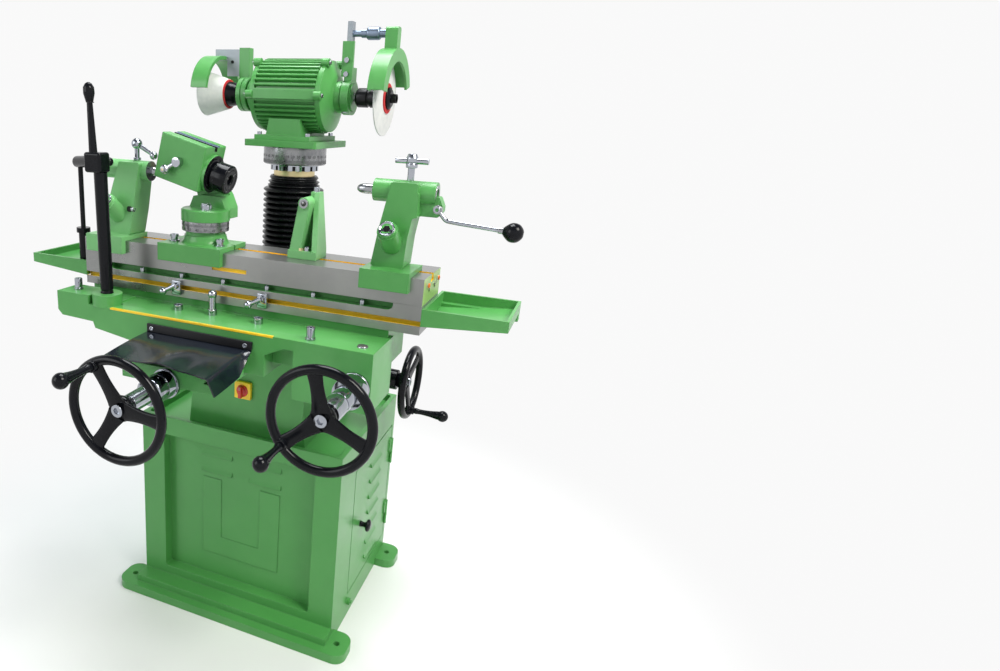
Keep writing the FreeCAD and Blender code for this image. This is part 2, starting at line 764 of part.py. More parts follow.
def ear_block(side, end):
    """Rounded lug of the foot flange, pierced for its floor bolt."""
    reach = EAR_SPACING_X / 2 + EAR_OVERHANG
    half = BASE_DEPTH / 2 - EAR_SPACING_Y / 2
    middle = end * EAR_SPACING_Y / 2
    inner = BASE_WIDTH / 2 - EAR_OVERHANG
    x = sorted((side * inner, side * reach))
    lug = block(x, (middle - half, middle + half), (0, BASE_THICK))
    outside = side * reach

    def at_outside(edge):
        return upright(edge) and abs(edge.Vertexes[0].Point.x - outside) < FREE_GAP

    lug = softened(lug, EAR_OVERHANG - RUN_FIT, at_outside)
    return lug


def louvre(y, z, out_x):
    """Pressed louvre on a side wall, open at its lower edge."""
    outline = [(out_x, z - LOUVRE_HEIGHT / 2), (out_x + LOUVRE_PROUD, z - LOUVRE_HEIGHT / 2)]
    outline.append((out_x, z + LOUVRE_HEIGHT / 2))
    return front_prism(outline, (y - LOUVRE_WIDTH / 2, y + LOUVRE_WIDTH / 2))


def panel_louvre(x, z, face_y):
    """Pressed louvre on the sunk front panel."""
    outline = [(face_y, z - LOUVRE_HEIGHT / 2), (face_y - LOUVRE_PROUD, z - LOUVRE_HEIGHT / 2)]
    outline.append((face_y, z + LOUVRE_HEIGHT / 2))
    return side_prism(outline, (x - LOUVRE_WIDTH / 2, x + LOUVRE_WIDTH / 2))


def base_cabinet():
    """Cast base with foot flange, lugs, sunk front panel, rimmed top and a door opening."""
    half = BASE_WIDTH / 2
    foot = block((-half, half), (-BASE_DEPTH / 2, BASE_DEPTH / 2), (0, BASE_THICK))
    plinth_top = BASE_THICK + PLINTH_STEP
    plinth = block((-half, half), (-BASE_DEPTH / 2 + PLINTH_INSET, CABINET_BACK), (BASE_THICK, plinth_top))
    tower = block((-half, half), (CABINET_FRONT, CABINET_BACK), (plinth_top, CABINET_TOP))
    body = joined(foot, plinth, tower)
    for side in (-1, 1):
        for end in (-1, 1):
            body = body.fuse(ear_block(side, end))
    body = body.removeSplitter()
    for side in (-1, 1):
        for end in (-1, 1):
            centre = at(side * EAR_SPACING_X / 2, end * EAR_SPACING_Y / 2, 0)
            body = body.cut(rod(centre, Z_AXIS, BASE_THICK, EAR_BOLT_R))
    sunk = CABINET_FRONT + PANEL_DEPTH
    panel = block((-PANEL_HALF, PANEL_HALF), (CABINET_FRONT, sunk), (PANEL_LOW, PANEL_HIGH))
    body = body.cut(softened(panel, PANEL_DEPTH / 5, runs_back))
    deck = CABINET_TOP - RIM_DEPTH
    rim = half - RIM_WIDTH
    well = block((-rim, rim), (CABINET_FRONT + RIM_WIDTH, CABINET_BACK - RIM_WIDTH), (deck, CABINET_TOP))
    body = body.cut(softened(well, RIM_WIDTH, upright))
    inner = half - CABINET_WALL
    room_y = (sunk + CABINET_WALL, CABINET_BACK - CABINET_WALL)
    room = block((-inner, inner), room_y, (plinth_top + CABINET_WALL, deck - DECK_THICK))
    body = body.cut(room)
    hole_y = (DOOR_FRONT - DOOR_GAP, DOOR_BACK + DOOR_GAP)
    hole_z = (DOOR_LOW - DOOR_GAP, DOOR_HIGH + DOOR_GAP)
    body = body.cut(block((inner - CABINET_WALL, half + CABINET_WALL), hole_y, hole_z))
    pad = block((-PANEL_PAD_HALF, PANEL_PAD_HALF), (sunk - PANEL_PAD_PROUD, sunk), (PANEL_PAD_LOW, PANEL_PAD_HIGH))
    valley = block((-PANEL_PAD_HALF / 2, PANEL_PAD_HALF / 2), (sunk - PANEL_PAD_PROUD, sunk),
                   (PANEL_PAD_LOW + PANEL_PAD_HALF / 2, PANEL_PAD_HIGH))
    body = body.fuse(pad.cut(valley))
    for row in range(PANEL_LOUVRES):
        height = PANEL_PAD_HIGH + LOUVRE_PITCH / 2 + row * LOUVRE_PITCH
        for side in (-1, 1):
            body = body.fuse(panel_louvre(side * PANEL_PAD_HALF * 0.62, height, sunk))
    boss_at = at(half, DOOR_FRONT + DOOR_GAP, plinth_top)
    body = body.fuse(rod(boss_at, X_AXIS, EARTH_BOSS_LONG, EARTH_BOSS_R))
    head_at = boss_at + X_AXIS * EARTH_BOSS_LONG
    body = body.fuse(rod(head_at, X_AXIS, EARTH_BOSS_LONG / 2, EARTH_BOSS_R / 2))
    hinge_at = door_hinge_axis()
    for z in knuckle_heights():
        pin = rod(at(hinge_at.x, hinge_at.y, z - KNUCKLE_LONG), Z_AXIS, 2 * KNUCKLE_LONG, HINGE_PIN_R)
        lower = rod(at(hinge_at.x, hinge_at.y, z - KNUCKLE_LONG), Z_AXIS, KNUCKLE_LONG, HINGE_R)
        leaf = block((half, hinge_at.x), (hinge_at.y, hinge_at.y + 3 * HINGE_R), (z - KNUCKLE_LONG, z))
        body = body.fuse([pin, lower, leaf])
    return body.removeSplitter()


def door_hinge_axis():
    """Point on the door's hinge axis, just outside the wall at the rear edge."""
    return at(BASE_WIDTH / 2 + HINGE_R, DOOR_BACK + DOOR_GAP / 2, 0)


def knuckle_heights():
    """Heights where a fixed knuckle meets a door knuckle."""
    return DOOR_LOW + 2 * KNUCKLE_LONG, DOOR_HIGH - 2 * KNUCKLE_LONG


def door():
    """Louvred door, flush with the wall, with its upper hinge knuckles."""
    outer = BASE_WIDTH / 2
    leaf = block((outer - CABINET_WALL, outer), (DOOR_FRONT, DOOR_BACK), (DOOR_LOW, DOOR_HIGH))
    middle = (DOOR_FRONT + DOOR_BACK) / 2
    for row in range(DOOR_LOUVRES):
        height = (DOOR_LOW + DOOR_HIGH) / 2 + (row - (DOOR_LOUVRES - 1) / 2) * LOUVRE_PITCH
        leaf = leaf.fuse(louvre(middle + LOUVRE_WIDTH / 8, height, outer))
    hinge_at = door_hinge_axis()
    for z in knuckle_heights():
        start = at(hinge_at.x, hinge_at.y, z + SLIDE_GAP)
        knuckle = rod(start, Z_AXIS, KNUCKLE_LONG - SLIDE_GAP, HINGE_R)
        strap = block((outer, hinge_at.x), (DOOR_BACK - 4 * HINGE_R, hinge_at.y), (z + SLIDE_GAP, z + KNUCKLE_LONG))
        leaf = leaf.fuse([knuckle, strap])
        leaf = leaf.cut(rod(at(hinge_at.x, hinge_at.y, z), Z_AXIS, KNUCKLE_LONG, HINGE_PIN_R + RUN_FIT))
    return leaf.removeSplitter()


def door_knob():
    """Mushroom knob on a short stem."""
    profile = [(0, KNOB_R / 3), (KNOB_LONG / 3, KNOB_R / 3), (KNOB_LONG / 2, KNOB_R)]
    profile += [(KNOB_LONG * 5 / 6, KNOB_R), (KNOB_LONG, KNOB_R * 0.7)]
    return turned(profile, at(BASE_WIDTH / 2, DOOR_FRONT + KNOB_SETBACK, KNOB_HEIGHT), X_AXIS)


# Neck and bed

def neck_column():
    """Hollow neck with a flared foot, open towards the cabinet deck."""
    deck = CABINET_TOP - RIM_DEPTH
    outline = [(-NECK_FOOT_HALF, deck), (NECK_FOOT_HALF, deck), (NECK_HALF, NECK_FOOT_TOP)]
    outline += [(NECK_HALF, NECK_TOP), (-NECK_HALF, NECK_TOP), (-NECK_HALF, NECK_FOOT_TOP)]
    body = front_prism(outline, (NECK_FRONT, NECK_BACK))
    inner = NECK_HALF - NECK_WALL
    room = block((-inner, inner), (NECK_FRONT + NECK_WALL, NECK_BACK - NECK_WALL), (deck, NECK_TOP - NECK_WALL))
    body = body.cut(room)
    bore = rod(at(inner, COLUMN_Y, LIFT_AXIS_Z), X_AXIS, 2 * NECK_WALL, LIFT_BEARING_R)
    return body.cut(bore)


def bed_section():
    """Cross-section of the cross bed with its dovetail crown."""
    half = [(BED_HALF, NECK_TOP), (BED_HALF, BED_SHELF), (BED_WAIST_HALF, BED_SHELF), (BED_CROWN_HALF, BED_TOP)]
    return half + [(-x, z) for x, z in reversed(half)]


def cross_bed():
    """Cross bed with its nose, screw channel, bellows seat and the column's guide tube."""
    body = front_prism(bed_section(), (BED_FRONT, BED_REAR))
    housing = block((-BED_HALF, BED_HALF), (BED_REAR, NECK_BACK), (NECK_TOP, HOUSING_TOP))
    seat = rod(at(0, COLUMN_Y, NECK_TOP), Z_AXIS, HOUSING_TOP - NECK_TOP, BED_HALF)
    housing = housing.common(joined(seat, block((-BED_HALF, BED_HALF), (COLUMN_Y, NECK_BACK), (NECK_TOP, HOUSING_TOP))))
    boss = rod(at(0, BED_FRONT, CROSS_AXIS_Z), Y_AXIS, NOSE_BOSS_LONG, NOSE_BOSS_R)
    bridge = block((-BED_CROWN_HALF, BED_CROWN_HALF), (BED_REAR - NOSE_BOSS_LONG, COLUMN_Y), (NECK_TOP, BED_TOP))
    guide = rod(at(0, COLUMN_Y, NECK_TOP), Z_AXIS, GUIDE_TOP - NECK_TOP, GUIDE_R)
    body = joined(body, housing, bridge, boss, guide)
    bore = rod(at(0, COLUMN_Y, NECK_TOP), Z_AXIS, GUIDE_TOP - NECK_TOP, COLUMN_R + RUN_FIT)
    body = body.cut(bore)
    channel = block((-SCREW_CHANNEL_HALF, SCREW_CHANNEL_HALF), (BED_FRONT + NOSE_BOSS_LONG, NECK_FRONT),
                    (NECK_TOP, CROSS_AXIS_Z + SCREW_CHANNEL_HALF))
    body = body.cut(channel)
    return body.cut(rod(at(0, BED_FRONT, CROSS_AXIS_Z), Y_AXIS, NOSE_BOSS_LONG, SHAFT_R + RUN_FIT))


def bellows():
    """Ribbed rubber sleeve round the column, narrower where it is tied to the brass ring."""
    low = HOUSING_TOP
    high = BRASS_BOTTOM
    pitch = (high - BELLOWS_NECK_LONG - low) / BELLOWS_RIBS
    rings = []
    for rib in range(BELLOWS_RIBS):
        foot = low + rib * pitch
        rings += [(foot, BELLOWS_ROOT_R), (foot + pitch * 0.3, BELLOWS_RIB_R)]
        rings += [(foot + pitch * 0.62, BELLOWS_RIB_R)]
    rings += [(high - BELLOWS_NECK_LONG, BELLOWS_NECK_R), (high - BELLOWS_NECK_LONG * 0.6, BELLOWS_NECK_R)]
    rings += [(high - BELLOWS_NECK_LONG * 0.35, BELLOWS_ROOT_R), (high, BELLOWS_ROOT_R)]
    skin = turned(rings, at(0, COLUMN_Y, 0), Z_AXIS)
    return skin.cut(rod(at(0, COLUMN_Y, low), Z_AXIS, high - low, BELLOWS_BORE_R))


def switch_plate():
    """Square housing of the main switch on the neck."""
    half = SWITCH_SIZE / 2
    y = (NECK_FRONT - SWITCH_THICK, NECK_FRONT)
    plate = block((SWITCH_X - half, SWITCH_X + half), y, (SWITCH_Z - half, SWITCH_Z + half))
    plate = softened(plate, SWITCH_THICK / 3, runs_back)
    socket = rod(at(SWITCH_X, y[0], SWITCH_Z), Y_AXIS, SWITCH_THICK / 2, SWITCH_KNOB_R / 3 + RUN_FIT)
    return plate.cut(socket)


def switch_knob():
    """Round switch knob with a grip bar across it."""
    face = NECK_FRONT - SWITCH_THICK - FREE_GAP
    start = at(SWITCH_X, face, SWITCH_Z)
    disc = rod(start, -Y_AXIS, SWITCH_KNOB_LONG / 3, SWITCH_KNOB_R)
    bar_y = (face - SWITCH_KNOB_LONG, face)
    bar_x = (SWITCH_X - SWITCH_KNOB_R / 4, SWITCH_X + SWITCH_KNOB_R / 4)
    bar = block(bar_x, bar_y, (SWITCH_Z - SWITCH_KNOB_R * 0.9, SWITCH_Z + SWITCH_KNOB_R * 0.9))
    stem = rod(start, Y_AXIS, SWITCH_THICK / 2, SWITCH_KNOB_R / 3)
    return joined(disc, bar, stem)


# Handwheels

def wheel_rim(radius):
    """Rim about +Z with a rounded section, set out from the hub."""
    section = []
    for step in range(8):
        across, up = polar(RIM_R, step * FULL_TURN / 8 + FULL_TURN / 16)
        section.append(at(radius - RIM_R + across, 0, up))
    return face_of(section).revolve(at(0, 0, 0), Z_AXIS, FULL_TURN)


def wheel_spoke(radius, angle):
    """Spoke about +Z, waisted between hub and rim and rising to the rim."""
    inner = WHEEL_HUB_R * 0.7
    outer = radius - RIM_R
    middle = (inner + outer) / 2
    sides = []
    for side in (-1, 1):
        root = at(inner, side * SPOKE_ROOT / 2, 0)
        waist = at(middle, side * SPOKE_WAIST / 2, 0)
        tip = at(outer, side * SPOKE_TIP / 2, 0)
        sides.append((root, waist, tip))
    lower, upper = sides
    edges = [Part.Arc(*lower).toShape(), Part.LineSegment(lower[2], upper[2]).toShape()]
    edges += [Part.Arc(*reversed(upper)).toShape(), Part.LineSegment(upper[0], lower[0]).toShape()]
    spoke = Part.Face(Part.Wire(edges)).extrude(Z_AXIS * (RIM_OUTSET + SPOKE_THICK))
    spoke.translate(Z_AXIS * -(RIM_OUTSET + SPOKE_THICK / 2))
    rising = [(inner, -RIM_OUTSET - SPOKE_THICK / 2), (outer, -SPOKE_THICK / 2), (outer, SPOKE_THICK / 2)]
    rising.append((inner, SPOKE_THICK / 2 - RIM_OUTSET))
    blade = spoke.common(front_prism(rising, (-SPOKE_ROOT, SPOKE_ROOT)))
    return blade.rotate(at(0, 0, 0), Z_AXIS, angle)


def handwheel(radius, grip_angle):
    """Three-spoked dished wheel about +Z; the hub's outer face is at Z 0 and the rim stands out."""
    hub = turned([(-WHEEL_HUB_LONG, WHEEL_HUB_R * 0.7), (-SPOKE_THICK, WHEEL_HUB_R), (-BIG_GAP, WHEEL_HUB_R),
                  (0, WHEEL_HUB_R * 0.9)], at(0, 0, 0), Z_AXIS)
    hub = hub.cut(rod(at(0, 0, -WHEEL_HUB_LONG), Z_AXIS, WHEEL_HUB_LONG, SHAFT_R))
    ring = wheel_rim(radius)
    x, y = polar(radius - GRIP_INSET, grip_angle)
    boss = rod(at(x, y, -SPOKE_THICK), Z_AXIS, SPOKE_THICK + RIM_R + GRIP_BOSS_LONG, GRIP_BOSS_R)
    pin = rod(at(x, y, 0), Z_AXIS, RIM_R + GRIP_BOSS_LONG + GRIP_LONG / 2, GRIP_PIN_R)
    pieces = [boss, pin]
    for spoke in range(SPOKES):
        pieces.append(wheel_spoke(radius, grip_angle + spoke * FULL_TURN / SPOKES))
    dished = joined(ring, *pieces)
    dished.translate(Z_AXIS * RIM_OUTSET)
    core = rod(at(0, 0, -WHEEL_HUB_LONG), Z_AXIS, 3 * WHEEL_HUB_LONG, SHAFT_R)
    return joined(dished.cut(core), hub)


def grip(radius, grip_angle):
    """Turning grip about +Z, slender at the root with a ball end, bored for its pin."""
    x, y = polar(radius - GRIP_INSET, grip_angle)
    start = RIM_OUTSET + RIM_R + GRIP_BOSS_LONG + SLIDE_GAP
    belly = GRIP_LONG - 2 * GRIP_BALL_R
    profile = [(0, GRIP_ROOT_R), (GRIP_LONG * 0.1, GRIP_ROOT_R * 1.1), (GRIP_LONG * 0.2, GRIP_ROOT_R)]
    profile += [(belly * 0.8, GRIP_WAIST_R), (belly, GRIP_WAIST_R * 1.2)]
    for angle in (130, 105, 80, 55, 30, 10):
        along, across = polar(GRIP_BALL_R, angle)
        profile.append((GRIP_LONG - GRIP_BALL_R + along, across))
    solid = turned(profile, at(x, y, start), Z_AXIS)
    bore = rod(at(x, y, 0), Z_AXIS, start + GRIP_LONG / 2 + BIG_GAP, GRIP_PIN_R + RUN_FIT)
    return solid.cut(bore)


def to_front(shape, x, y, z):
    """Turns a wheel made about +Z so that its outer side looks to the front."""
    shape.Placement = FreeCAD.Placement(at(x, y, z), FreeCAD.Rotation(X_AXIS, 90))
    return shape


def to_right(shape, x, y, z):
    """Turns a wheel made about +Z so that its outer side looks to the right."""
    quarter = FreeCAD.Rotation(X_AXIS, 90)
    aside = FreeCAD.Rotation(Z_AXIS, 90)
    shape.Placement = FreeCAD.Placement(at(x, y, z), aside.multiply(quarter))
    return shape


def cross_handwheel():
    """Handwheel of the cross feed."""
    wheel = handwheel(CROSS_WHEEL_R, CROSS_GRIP_ANGLE)
    return to_front(wheel, 0, CROSS_WHEEL_Y, CROSS_AXIS_Z)


def cross_grip():
    """Turning grip of the cross feed handwheel."""
    return to_front(grip(CROSS_WHEEL_R, CROSS_GRIP_ANGLE), 0, CROSS_WHEEL_Y, CROSS_AXIS_Z)


def cross_bearing():
    """Flanged bearing on the nose of the bed."""
    start = at(0, BED_FRONT, CROSS_AXIS_Z)
    body = rod(start, -Y_AXIS, CROSS_BEARING_LONG, CROSS_DIAL_R)
    flange = rod(start, -Y_AXIS, CROSS_BEARING_LONG / 4, CROSS_DIAL_R + BIG_GAP)
    bore = rod(start, -Y_AXIS, CROSS_BEARING_LONG, SHAFT_R + RUN_FIT)
    return joined(body, flange).cut(bore)


def cross_shaft():
    """Cross feed screw with graduated dial, shaft and centre nut."""
    face = BED_FRONT - CROSS_BEARING_LONG - SLIDE_GAP
    hub = CROSS_WHEEL_Y + WHEEL_HUB_LONG
    dial = turned([(0, CROSS_DIAL_R), (CROSS_DIAL_LONG - BIG_GAP, CROSS_DIAL_R),
                   (CROSS_DIAL_LONG, CROSS_DIAL_R - BIG_GAP)], at(0, face, CROSS_AXIS_Z), -Y_AXIS)
    neck = rod(at(0, face, CROSS_AXIS_Z), -Y_AXIS, face - hub, CROSS_NECK_R)
    shaft_end = CROSS_WHEEL_Y - CENTRE_NUT_LONG
    shaft = rod(at(0, shaft_end, CROSS_AXIS_Z), Y_AXIS, BED_FRONT + NOSE_BOSS_LONG - shaft_end, SHAFT_R)
    nut = rod(at(0, CROSS_WHEEL_Y, CROSS_AXIS_Z), -Y_AXIS, CENTRE_NUT_LONG, CENTRE_NUT_R)
    screw = rod(at(0, BED_FRONT, CROSS_AXIS_Z), Y_AXIS, SCREW_END - BED_FRONT, SCREW_R)
    return joined(dial, neck, shaft, nut, screw)


def traverse_handwheel():
    """Handwheel of the table traverse."""
    wheel = handwheel(TRAVERSE_WHEEL_R, TRAVERSE_GRIP_ANGLE)
    return to_front(wheel, TRAVERSE_AXIS_X, TRAVERSE_WHEEL_Y, TRAVERSE_AXIS_Z)


def traverse_grip():
    """Turning grip of the table traverse handwheel."""
    piece = grip(TRAVERSE_WHEEL_R, TRAVERSE_GRIP_ANGLE)
    return to_front(piece, TRAVERSE_AXIS_X, TRAVERSE_WHEEL_Y, TRAVERSE_AXIS_Z)


def traverse_bearing():
    """Round bearing cover on the face of the gear block."""
    start = at(TRAVERSE_AXIS_X, SADDLE_FRONT, TRAVERSE_AXIS_Z)
    body = rod(start, -Y_AXIS, TRAVERSE_BEARING_LONG, TRAVERSE_BEARING_R)
    return body.cut(rod(start, -Y_AXIS, TRAVERSE_BEARING_LONG, SHAFT_R + RUN_FIT))


def traverse_shaft():
    """Table traverse shaft with dial, centre nut and its pinion in the gear block."""
    face = SADDLE_FRONT - TRAVERSE_BEARING_LONG - SLIDE_GAP
    hub = TRAVERSE_WHEEL_Y + WHEEL_HUB_LONG
    x = TRAVERSE_AXIS_X
    z = TRAVERSE_AXIS_Z
    dial = rod(at(x, face, z), -Y_AXIS, face - hub, TRAVERSE_DIAL_R)
    groove = sleeve(at(x, (face + hub) / 2, z), -Y_AXIS, BIG_GAP, TRAVERSE_DIAL_R, TRAVERSE_DIAL_R - BIG_GAP)
    dial = dial.cut(groove)
    shaft_end = TRAVERSE_WHEEL_Y - CENTRE_NUT_LONG
    pinion_at = SADDLE_FRONT + 2 * BIG_GAP + PINION_LONG
    shaft = rod(at(x, shaft_end, z), Y_AXIS, pinion_at + PINION_LONG - shaft_end, SHAFT_R)
    nut = rod(at(x, TRAVERSE_WHEEL_Y, z), -Y_AXIS, CENTRE_NUT_LONG, CENTRE_NUT_R)
    pinion = rod(at(x, pinion_at, z), Y_AXIS, PINION_LONG, PINION_R)
    return joined(dial, shaft, nut, pinion)


def lift_handwheel():
    """Handwheel of the wheelhead lift with its shaft and inner bevel wheel."""
    wheel = handwheel(LIFT_WHEEL_R, LIFT_GRIP_ANGLE)
    wheel = to_right(wheel, LIFT_WHEEL_X, COLUMN_Y, LIFT_AXIS_Z)
    return joined(wheel, lift_shaft())


def lift_grip():
    """Turning grip of the lift handwheel."""
    return to_right(grip(LIFT_WHEEL_R, LIFT_GRIP_ANGLE), LIFT_WHEEL_X, COLUMN_Y, LIFT_AXIS_Z)


def lift_bearing():
    """Long bearing tube of the lift shaft with a flange on the neck."""
    start = at(NECK_HALF - NECK_WALL, COLUMN_Y, LIFT_AXIS_Z)
    length = LIFT_WHEEL_X - WHEEL_HUB_LONG - SLIDE_GAP - start.x
    tube = rod(start, X_AXIS, length, LIFT_BEARING_R)
    flange = rod(at(NECK_HALF, COLUMN_Y, LIFT_AXIS_Z), X_AXIS, LIFT_FLANGE_THICK, LIFT_FLANGE_R)
    return joined(tube, flange).cut(rod(start, X_AXIS, length, SHAFT_R + RUN_FIT))


def lift_shaft():
    """Lift shaft with centre nut and its bevel wheel inside the neck."""
    start = at(NECK_HALF - NECK_WALL - BEVEL_LONG, COLUMN_Y, LIFT_AXIS_Z)
    end = LIFT_WHEEL_X + CENTRE_NUT_LONG
    shaft = rod(start, X_AXIS, end - start.x, SHAFT_R)
    nut = rod(at(LIFT_WHEEL_X, COLUMN_Y, LIFT_AXIS_Z), X_AXIS, CENTRE_NUT_LONG, CENTRE_NUT_R)
    bevel = turned([(0, BEVEL_R / 2), (BEVEL_LONG - SLIDE_GAP, BEVEL_R)], start, X_AXIS)
    return joined(shaft, nut, bevel)


# Saddle

def saddle_outline():
    """Front outline of the saddle's beam: stepped toe, apron, cove and gear block."""
    outline = [(SADDLE_LEFT, SHELF_TOP), (SADDLE_LEFT, SHELF_TOP - BASE_THICK)]
    outline += [(SADDLE_LEFT + LEVER_KNOB_R, TOE_BOTTOM + BIG_GAP), (TOE_X - BIG_GAP, TOE_BOTTOM)]
    outline += [(TOE_X + BIG_GAP, TOE_BOTTOM - RUN_FIT - LEVER_R), (HEEL_X, BEAM_BOTTOM)]
    outline += [(HEEL_X, APRON_BOTTOM), (APRON_RIGHT, APRON_BOTTOM), (APRON_RIGHT, BEAM_BOTTOM)]
    outline += [(GEAR_BLOCK_LEFT, BEAM_BOTTOM), (GEAR_BLOCK_LEFT, GEAR_BLOCK_BOTTOM)]
    outline += [(SADDLE_RIGHT, GEAR_BLOCK_BOTTOM), (SADDLE_RIGHT, SHELF_TOP)]
    return outline


def dovetail_slot():
    """Space that the saddle leaves for the bed and its crown."""
    gap = SLIDE_GAP
    low = APRON_BOTTOM - BIG_GAP
    half = [(BED_HALF + gap, low), (BED_HALF + gap, BED_SHELF + gap), (BED_WAIST_HALF + gap, BED_SHELF + gap)]
    half += [(BED_CROWN_HALF + gap, BED_TOP + gap)]
    outline = half + [(-x, z) for x, z in reversed(half)]
    return front_prism(outline, (SADDLE_FRONT, SADDLE_BACK))


def saddle():
    """Saddle casting: shelf, aprons round the bed, table ways, gear block and lever boss."""
    beam = front_prism(saddle_outline(), (SADDLE_FRONT, SADDLE_BEAM_BACK))
    block_x = (GEAR_BLOCK_LEFT, SADDLE_RIGHT)
    gears = block(block_x, (SADDLE_BEAM_BACK, GEAR_BLOCK_BACK), (GEAR_BLOCK_BOTTOM, SHELF_TOP))
    ways_x = (SADDLE_LEFT + LEVER_KNOB_R, SADDLE_RIGHT - LEVER_TIP_R)
    ways = block(ways_x, (SADDLE_BEAM_BACK, SADDLE_BACK), (WAY_BOTTOM, WAY_TOP))
    apron_x = (HEEL_X, APRON_RIGHT)
    aprons = block(apron_x, (SADDLE_BEAM_BACK, SADDLE_BACK), (APRON_BOTTOM, WAY_BOTTOM))
    pad = block((SADDLE_LEFT, PAD_RIGHT), (SADDLE_FRONT, PAD_BACK), (SHELF_TOP, PAD_TOP))
    boss = rod(at(LEVER_X, LEVER_Y, SHELF_TOP - BIG_GAP), Z_AXIS, LEVER_BOSS_TOP - SHELF_TOP + BIG_GAP, LEVER_BOSS_R)
    body = joined(beam, gears, ways, aprons, pad, boss)
    body = body.cut(dovetail_slot())
    cove = front_prism([(APRON_RIGHT, APRON_BOTTOM), (GEAR_BLOCK_LEFT, APRON_BOTTOM),
                        (GEAR_BLOCK_LEFT, COVE_TOP), (APRON_RIGHT + COVE_DEPTH, COVE_TOP),
                        (APRON_RIGHT, COVE_TOP - COVE_DEPTH / 2)],
                       (SADDLE_FRONT, SADDLE_FRONT + COVE_DEPTH))
    body = body.cut(cove)
    well = block((TOE_X + LEVER_BOSS_R, GEAR_BLOCK_LEFT), (SADDLE_FRONT + LEVER_BOSS_R, SADDLE_BEAM_BACK - BIG_GAP),
                 (SHELF_TOP - BIG_GAP, SHELF_TOP))
    body = body.cut(well)
    gear_room = rod(at(TRAVERSE_AXIS_X, SADDLE_FRONT + 2 * BIG_GAP, TRAVERSE_AXIS_Z), Y_AXIS,
                    GEAR_BLOCK_BACK - SADDLE_FRONT - 4 * BIG_GAP, PINION_R + BIG_GAP)
    body = body.cut(gear_room)
    body = body.cut(ball(at(LEVER_X, LEVER_Y, lever_pivot_z()), LEVER_R + 4 * RUN_FIT))
    shaft_hole = rod(at(TRAVERSE_AXIS_X, SADDLE_FRONT, TRAVERSE_AXIS_Z), Y_AXIS, 2 * BIG_GAP, SHAFT_R + RUN_FIT)
    return body.cut(shaft_hole)


def bolt_head(x, y, z, radius, high):
    """Round socket head with a hexagonal recess."""
    head = turned([(0, radius), (high * 0.8, radius), (high, radius * 0.8)], at(x, y, z), Z_AXIS)
    corners = []
    for step in range(6):
        across, up = polar(radius * 0.5, step * FULL_TURN / 6)
        corners.append((x + across, y + up))
    return head.cut(plan_prism(corners, (z + high / 2, z + high)))


def shelf_bolts():
    """Bolts and plug on the shelf and the centre stop pin with its ball."""
    well = SHELF_TOP - BIG_GAP
    pieces = []
    for side in (-1, 1):
        pieces.append(bolt_head(side * SHELF_BOLT_X, SHELF_BOLT_Y, well, SHELF_BOLT_R, SHELF_BOLT_HIGH))
    pieces.append(bolt_head(TALL_BOLT_X, TALL_BOLT_Y, SHELF_TOP, TALL_BOLT_R, TALL_BOLT_HIGH))
    pieces.append(bolt_head(PAD_BOLT_X, PAD_BOLT_Y, PAD_TOP, TALL_BOLT_R, TALL_BOLT_HIGH))
    pieces.append(bolt_head(PLUG_X, PLUG_Y, SHELF_TOP, PLUG_R, BIG_GAP))
    pin = rod(at(STOP_X, STOP_Y, well), Z_AXIS, STOP_BALL_Z - well, STOP_R)
    collar = rod(at(STOP_X, STOP_Y, well), Z_AXIS, SHELF_BOLT_HIGH, SHELF_BOLT_R)
    pieces.append(joined(pin, collar, ball(at(STOP_X, STOP_Y, STOP_BALL_Z), STOP_BALL_R)))
    return Part.makeCompound(pieces)


def chute_clamp():
    """Strip with two screws that holds the chute sheet to the saddle."""
    y = (SADDLE_FRONT - SHEET_THICK - STRIP_THICK, SADDLE_FRONT - SHEET_THICK)
    low = STRIP_LOW + SHEET_THICK + FREE_GAP
    strip = block((-STRIP_HALF, STRIP_HALF), y, (low, STRIP_HIGH))
    strip = softened(strip, STRIP_THICK, runs_back)
    for side in (-1, 1):
        start = at(side * STRIP_SCREW_X, y[0], (low + STRIP_HIGH) / 2)
        strip = strip.fuse(rod(start, -Y_AXIS, BIG_GAP, STRIP_SCREW_R))
    return strip


def sheet_drop(x, reach):
    """Height of the chute sheet's underside; reach is 0 at the strip and 1 at the front."""
    edge = BED_HALF + BIG_GAP
    level = STRIP_LOW + (SHEET_FRONT_Z - STRIP_LOW) * reach
    arch = SHEET_ARCH_RISE * reach * math.exp(-(x / SHEET_ARCH_HALF) ** 2)
    sag = SHEET_SAG * math.sin(math.pi * reach) * (x / STRIP_HALF)
    beside = max(0.0, x - BED_HALF * 0.6) / (STRIP_HALF - BED_HALF * 0.6)
    inside = min(beside, (edge - BED_HALF * 0.6) / (STRIP_HALF - BED_HALF * 0.6))
    hang = SHEET_SAG * reach * inside
    tail = SHEET_TAIL * min(1.0, 3 * reach) * max(0.0, x - edge) / (STRIP_HALF - edge)
    return level + arch - sag * 0.4 - hang - tail


def sheet_section(y, reach):
    """Closed thin outline across the sheet at one station."""
    under = []
    for step in range(SHEET_STATIONS):
        x = -STRIP_HALF + 2 * STRIP_HALF * step / (SHEET_STATIONS - 1)
        under.append(at(x, y, sheet_drop(x, reach)))
    over = [point + Z_AXIS * SHEET_THICK for point in reversed(under)]
    points = under + over
    return Part.makePolygon(points + [points[0]])


def chute_sheet():
    """Rubber sheet that hangs forward from its strip over the nose of the bed."""
    root = SADDLE_FRONT - SHEET_THICK
    sections = []
    for reach in (0.0, 0.12, 0.35, 0.7, 1.0):
        sections.append(sheet_section(root + (SHEET_FRONT - root) * reach, reach))
    apron = Part.makeLoft(sections, True, True)
    hem = block((-STRIP_HALF, STRIP_HALF), (root, SADDLE_FRONT), (STRIP_LOW, STRIP_HIGH))
    return apron.fuse(hem).removeSplitter()


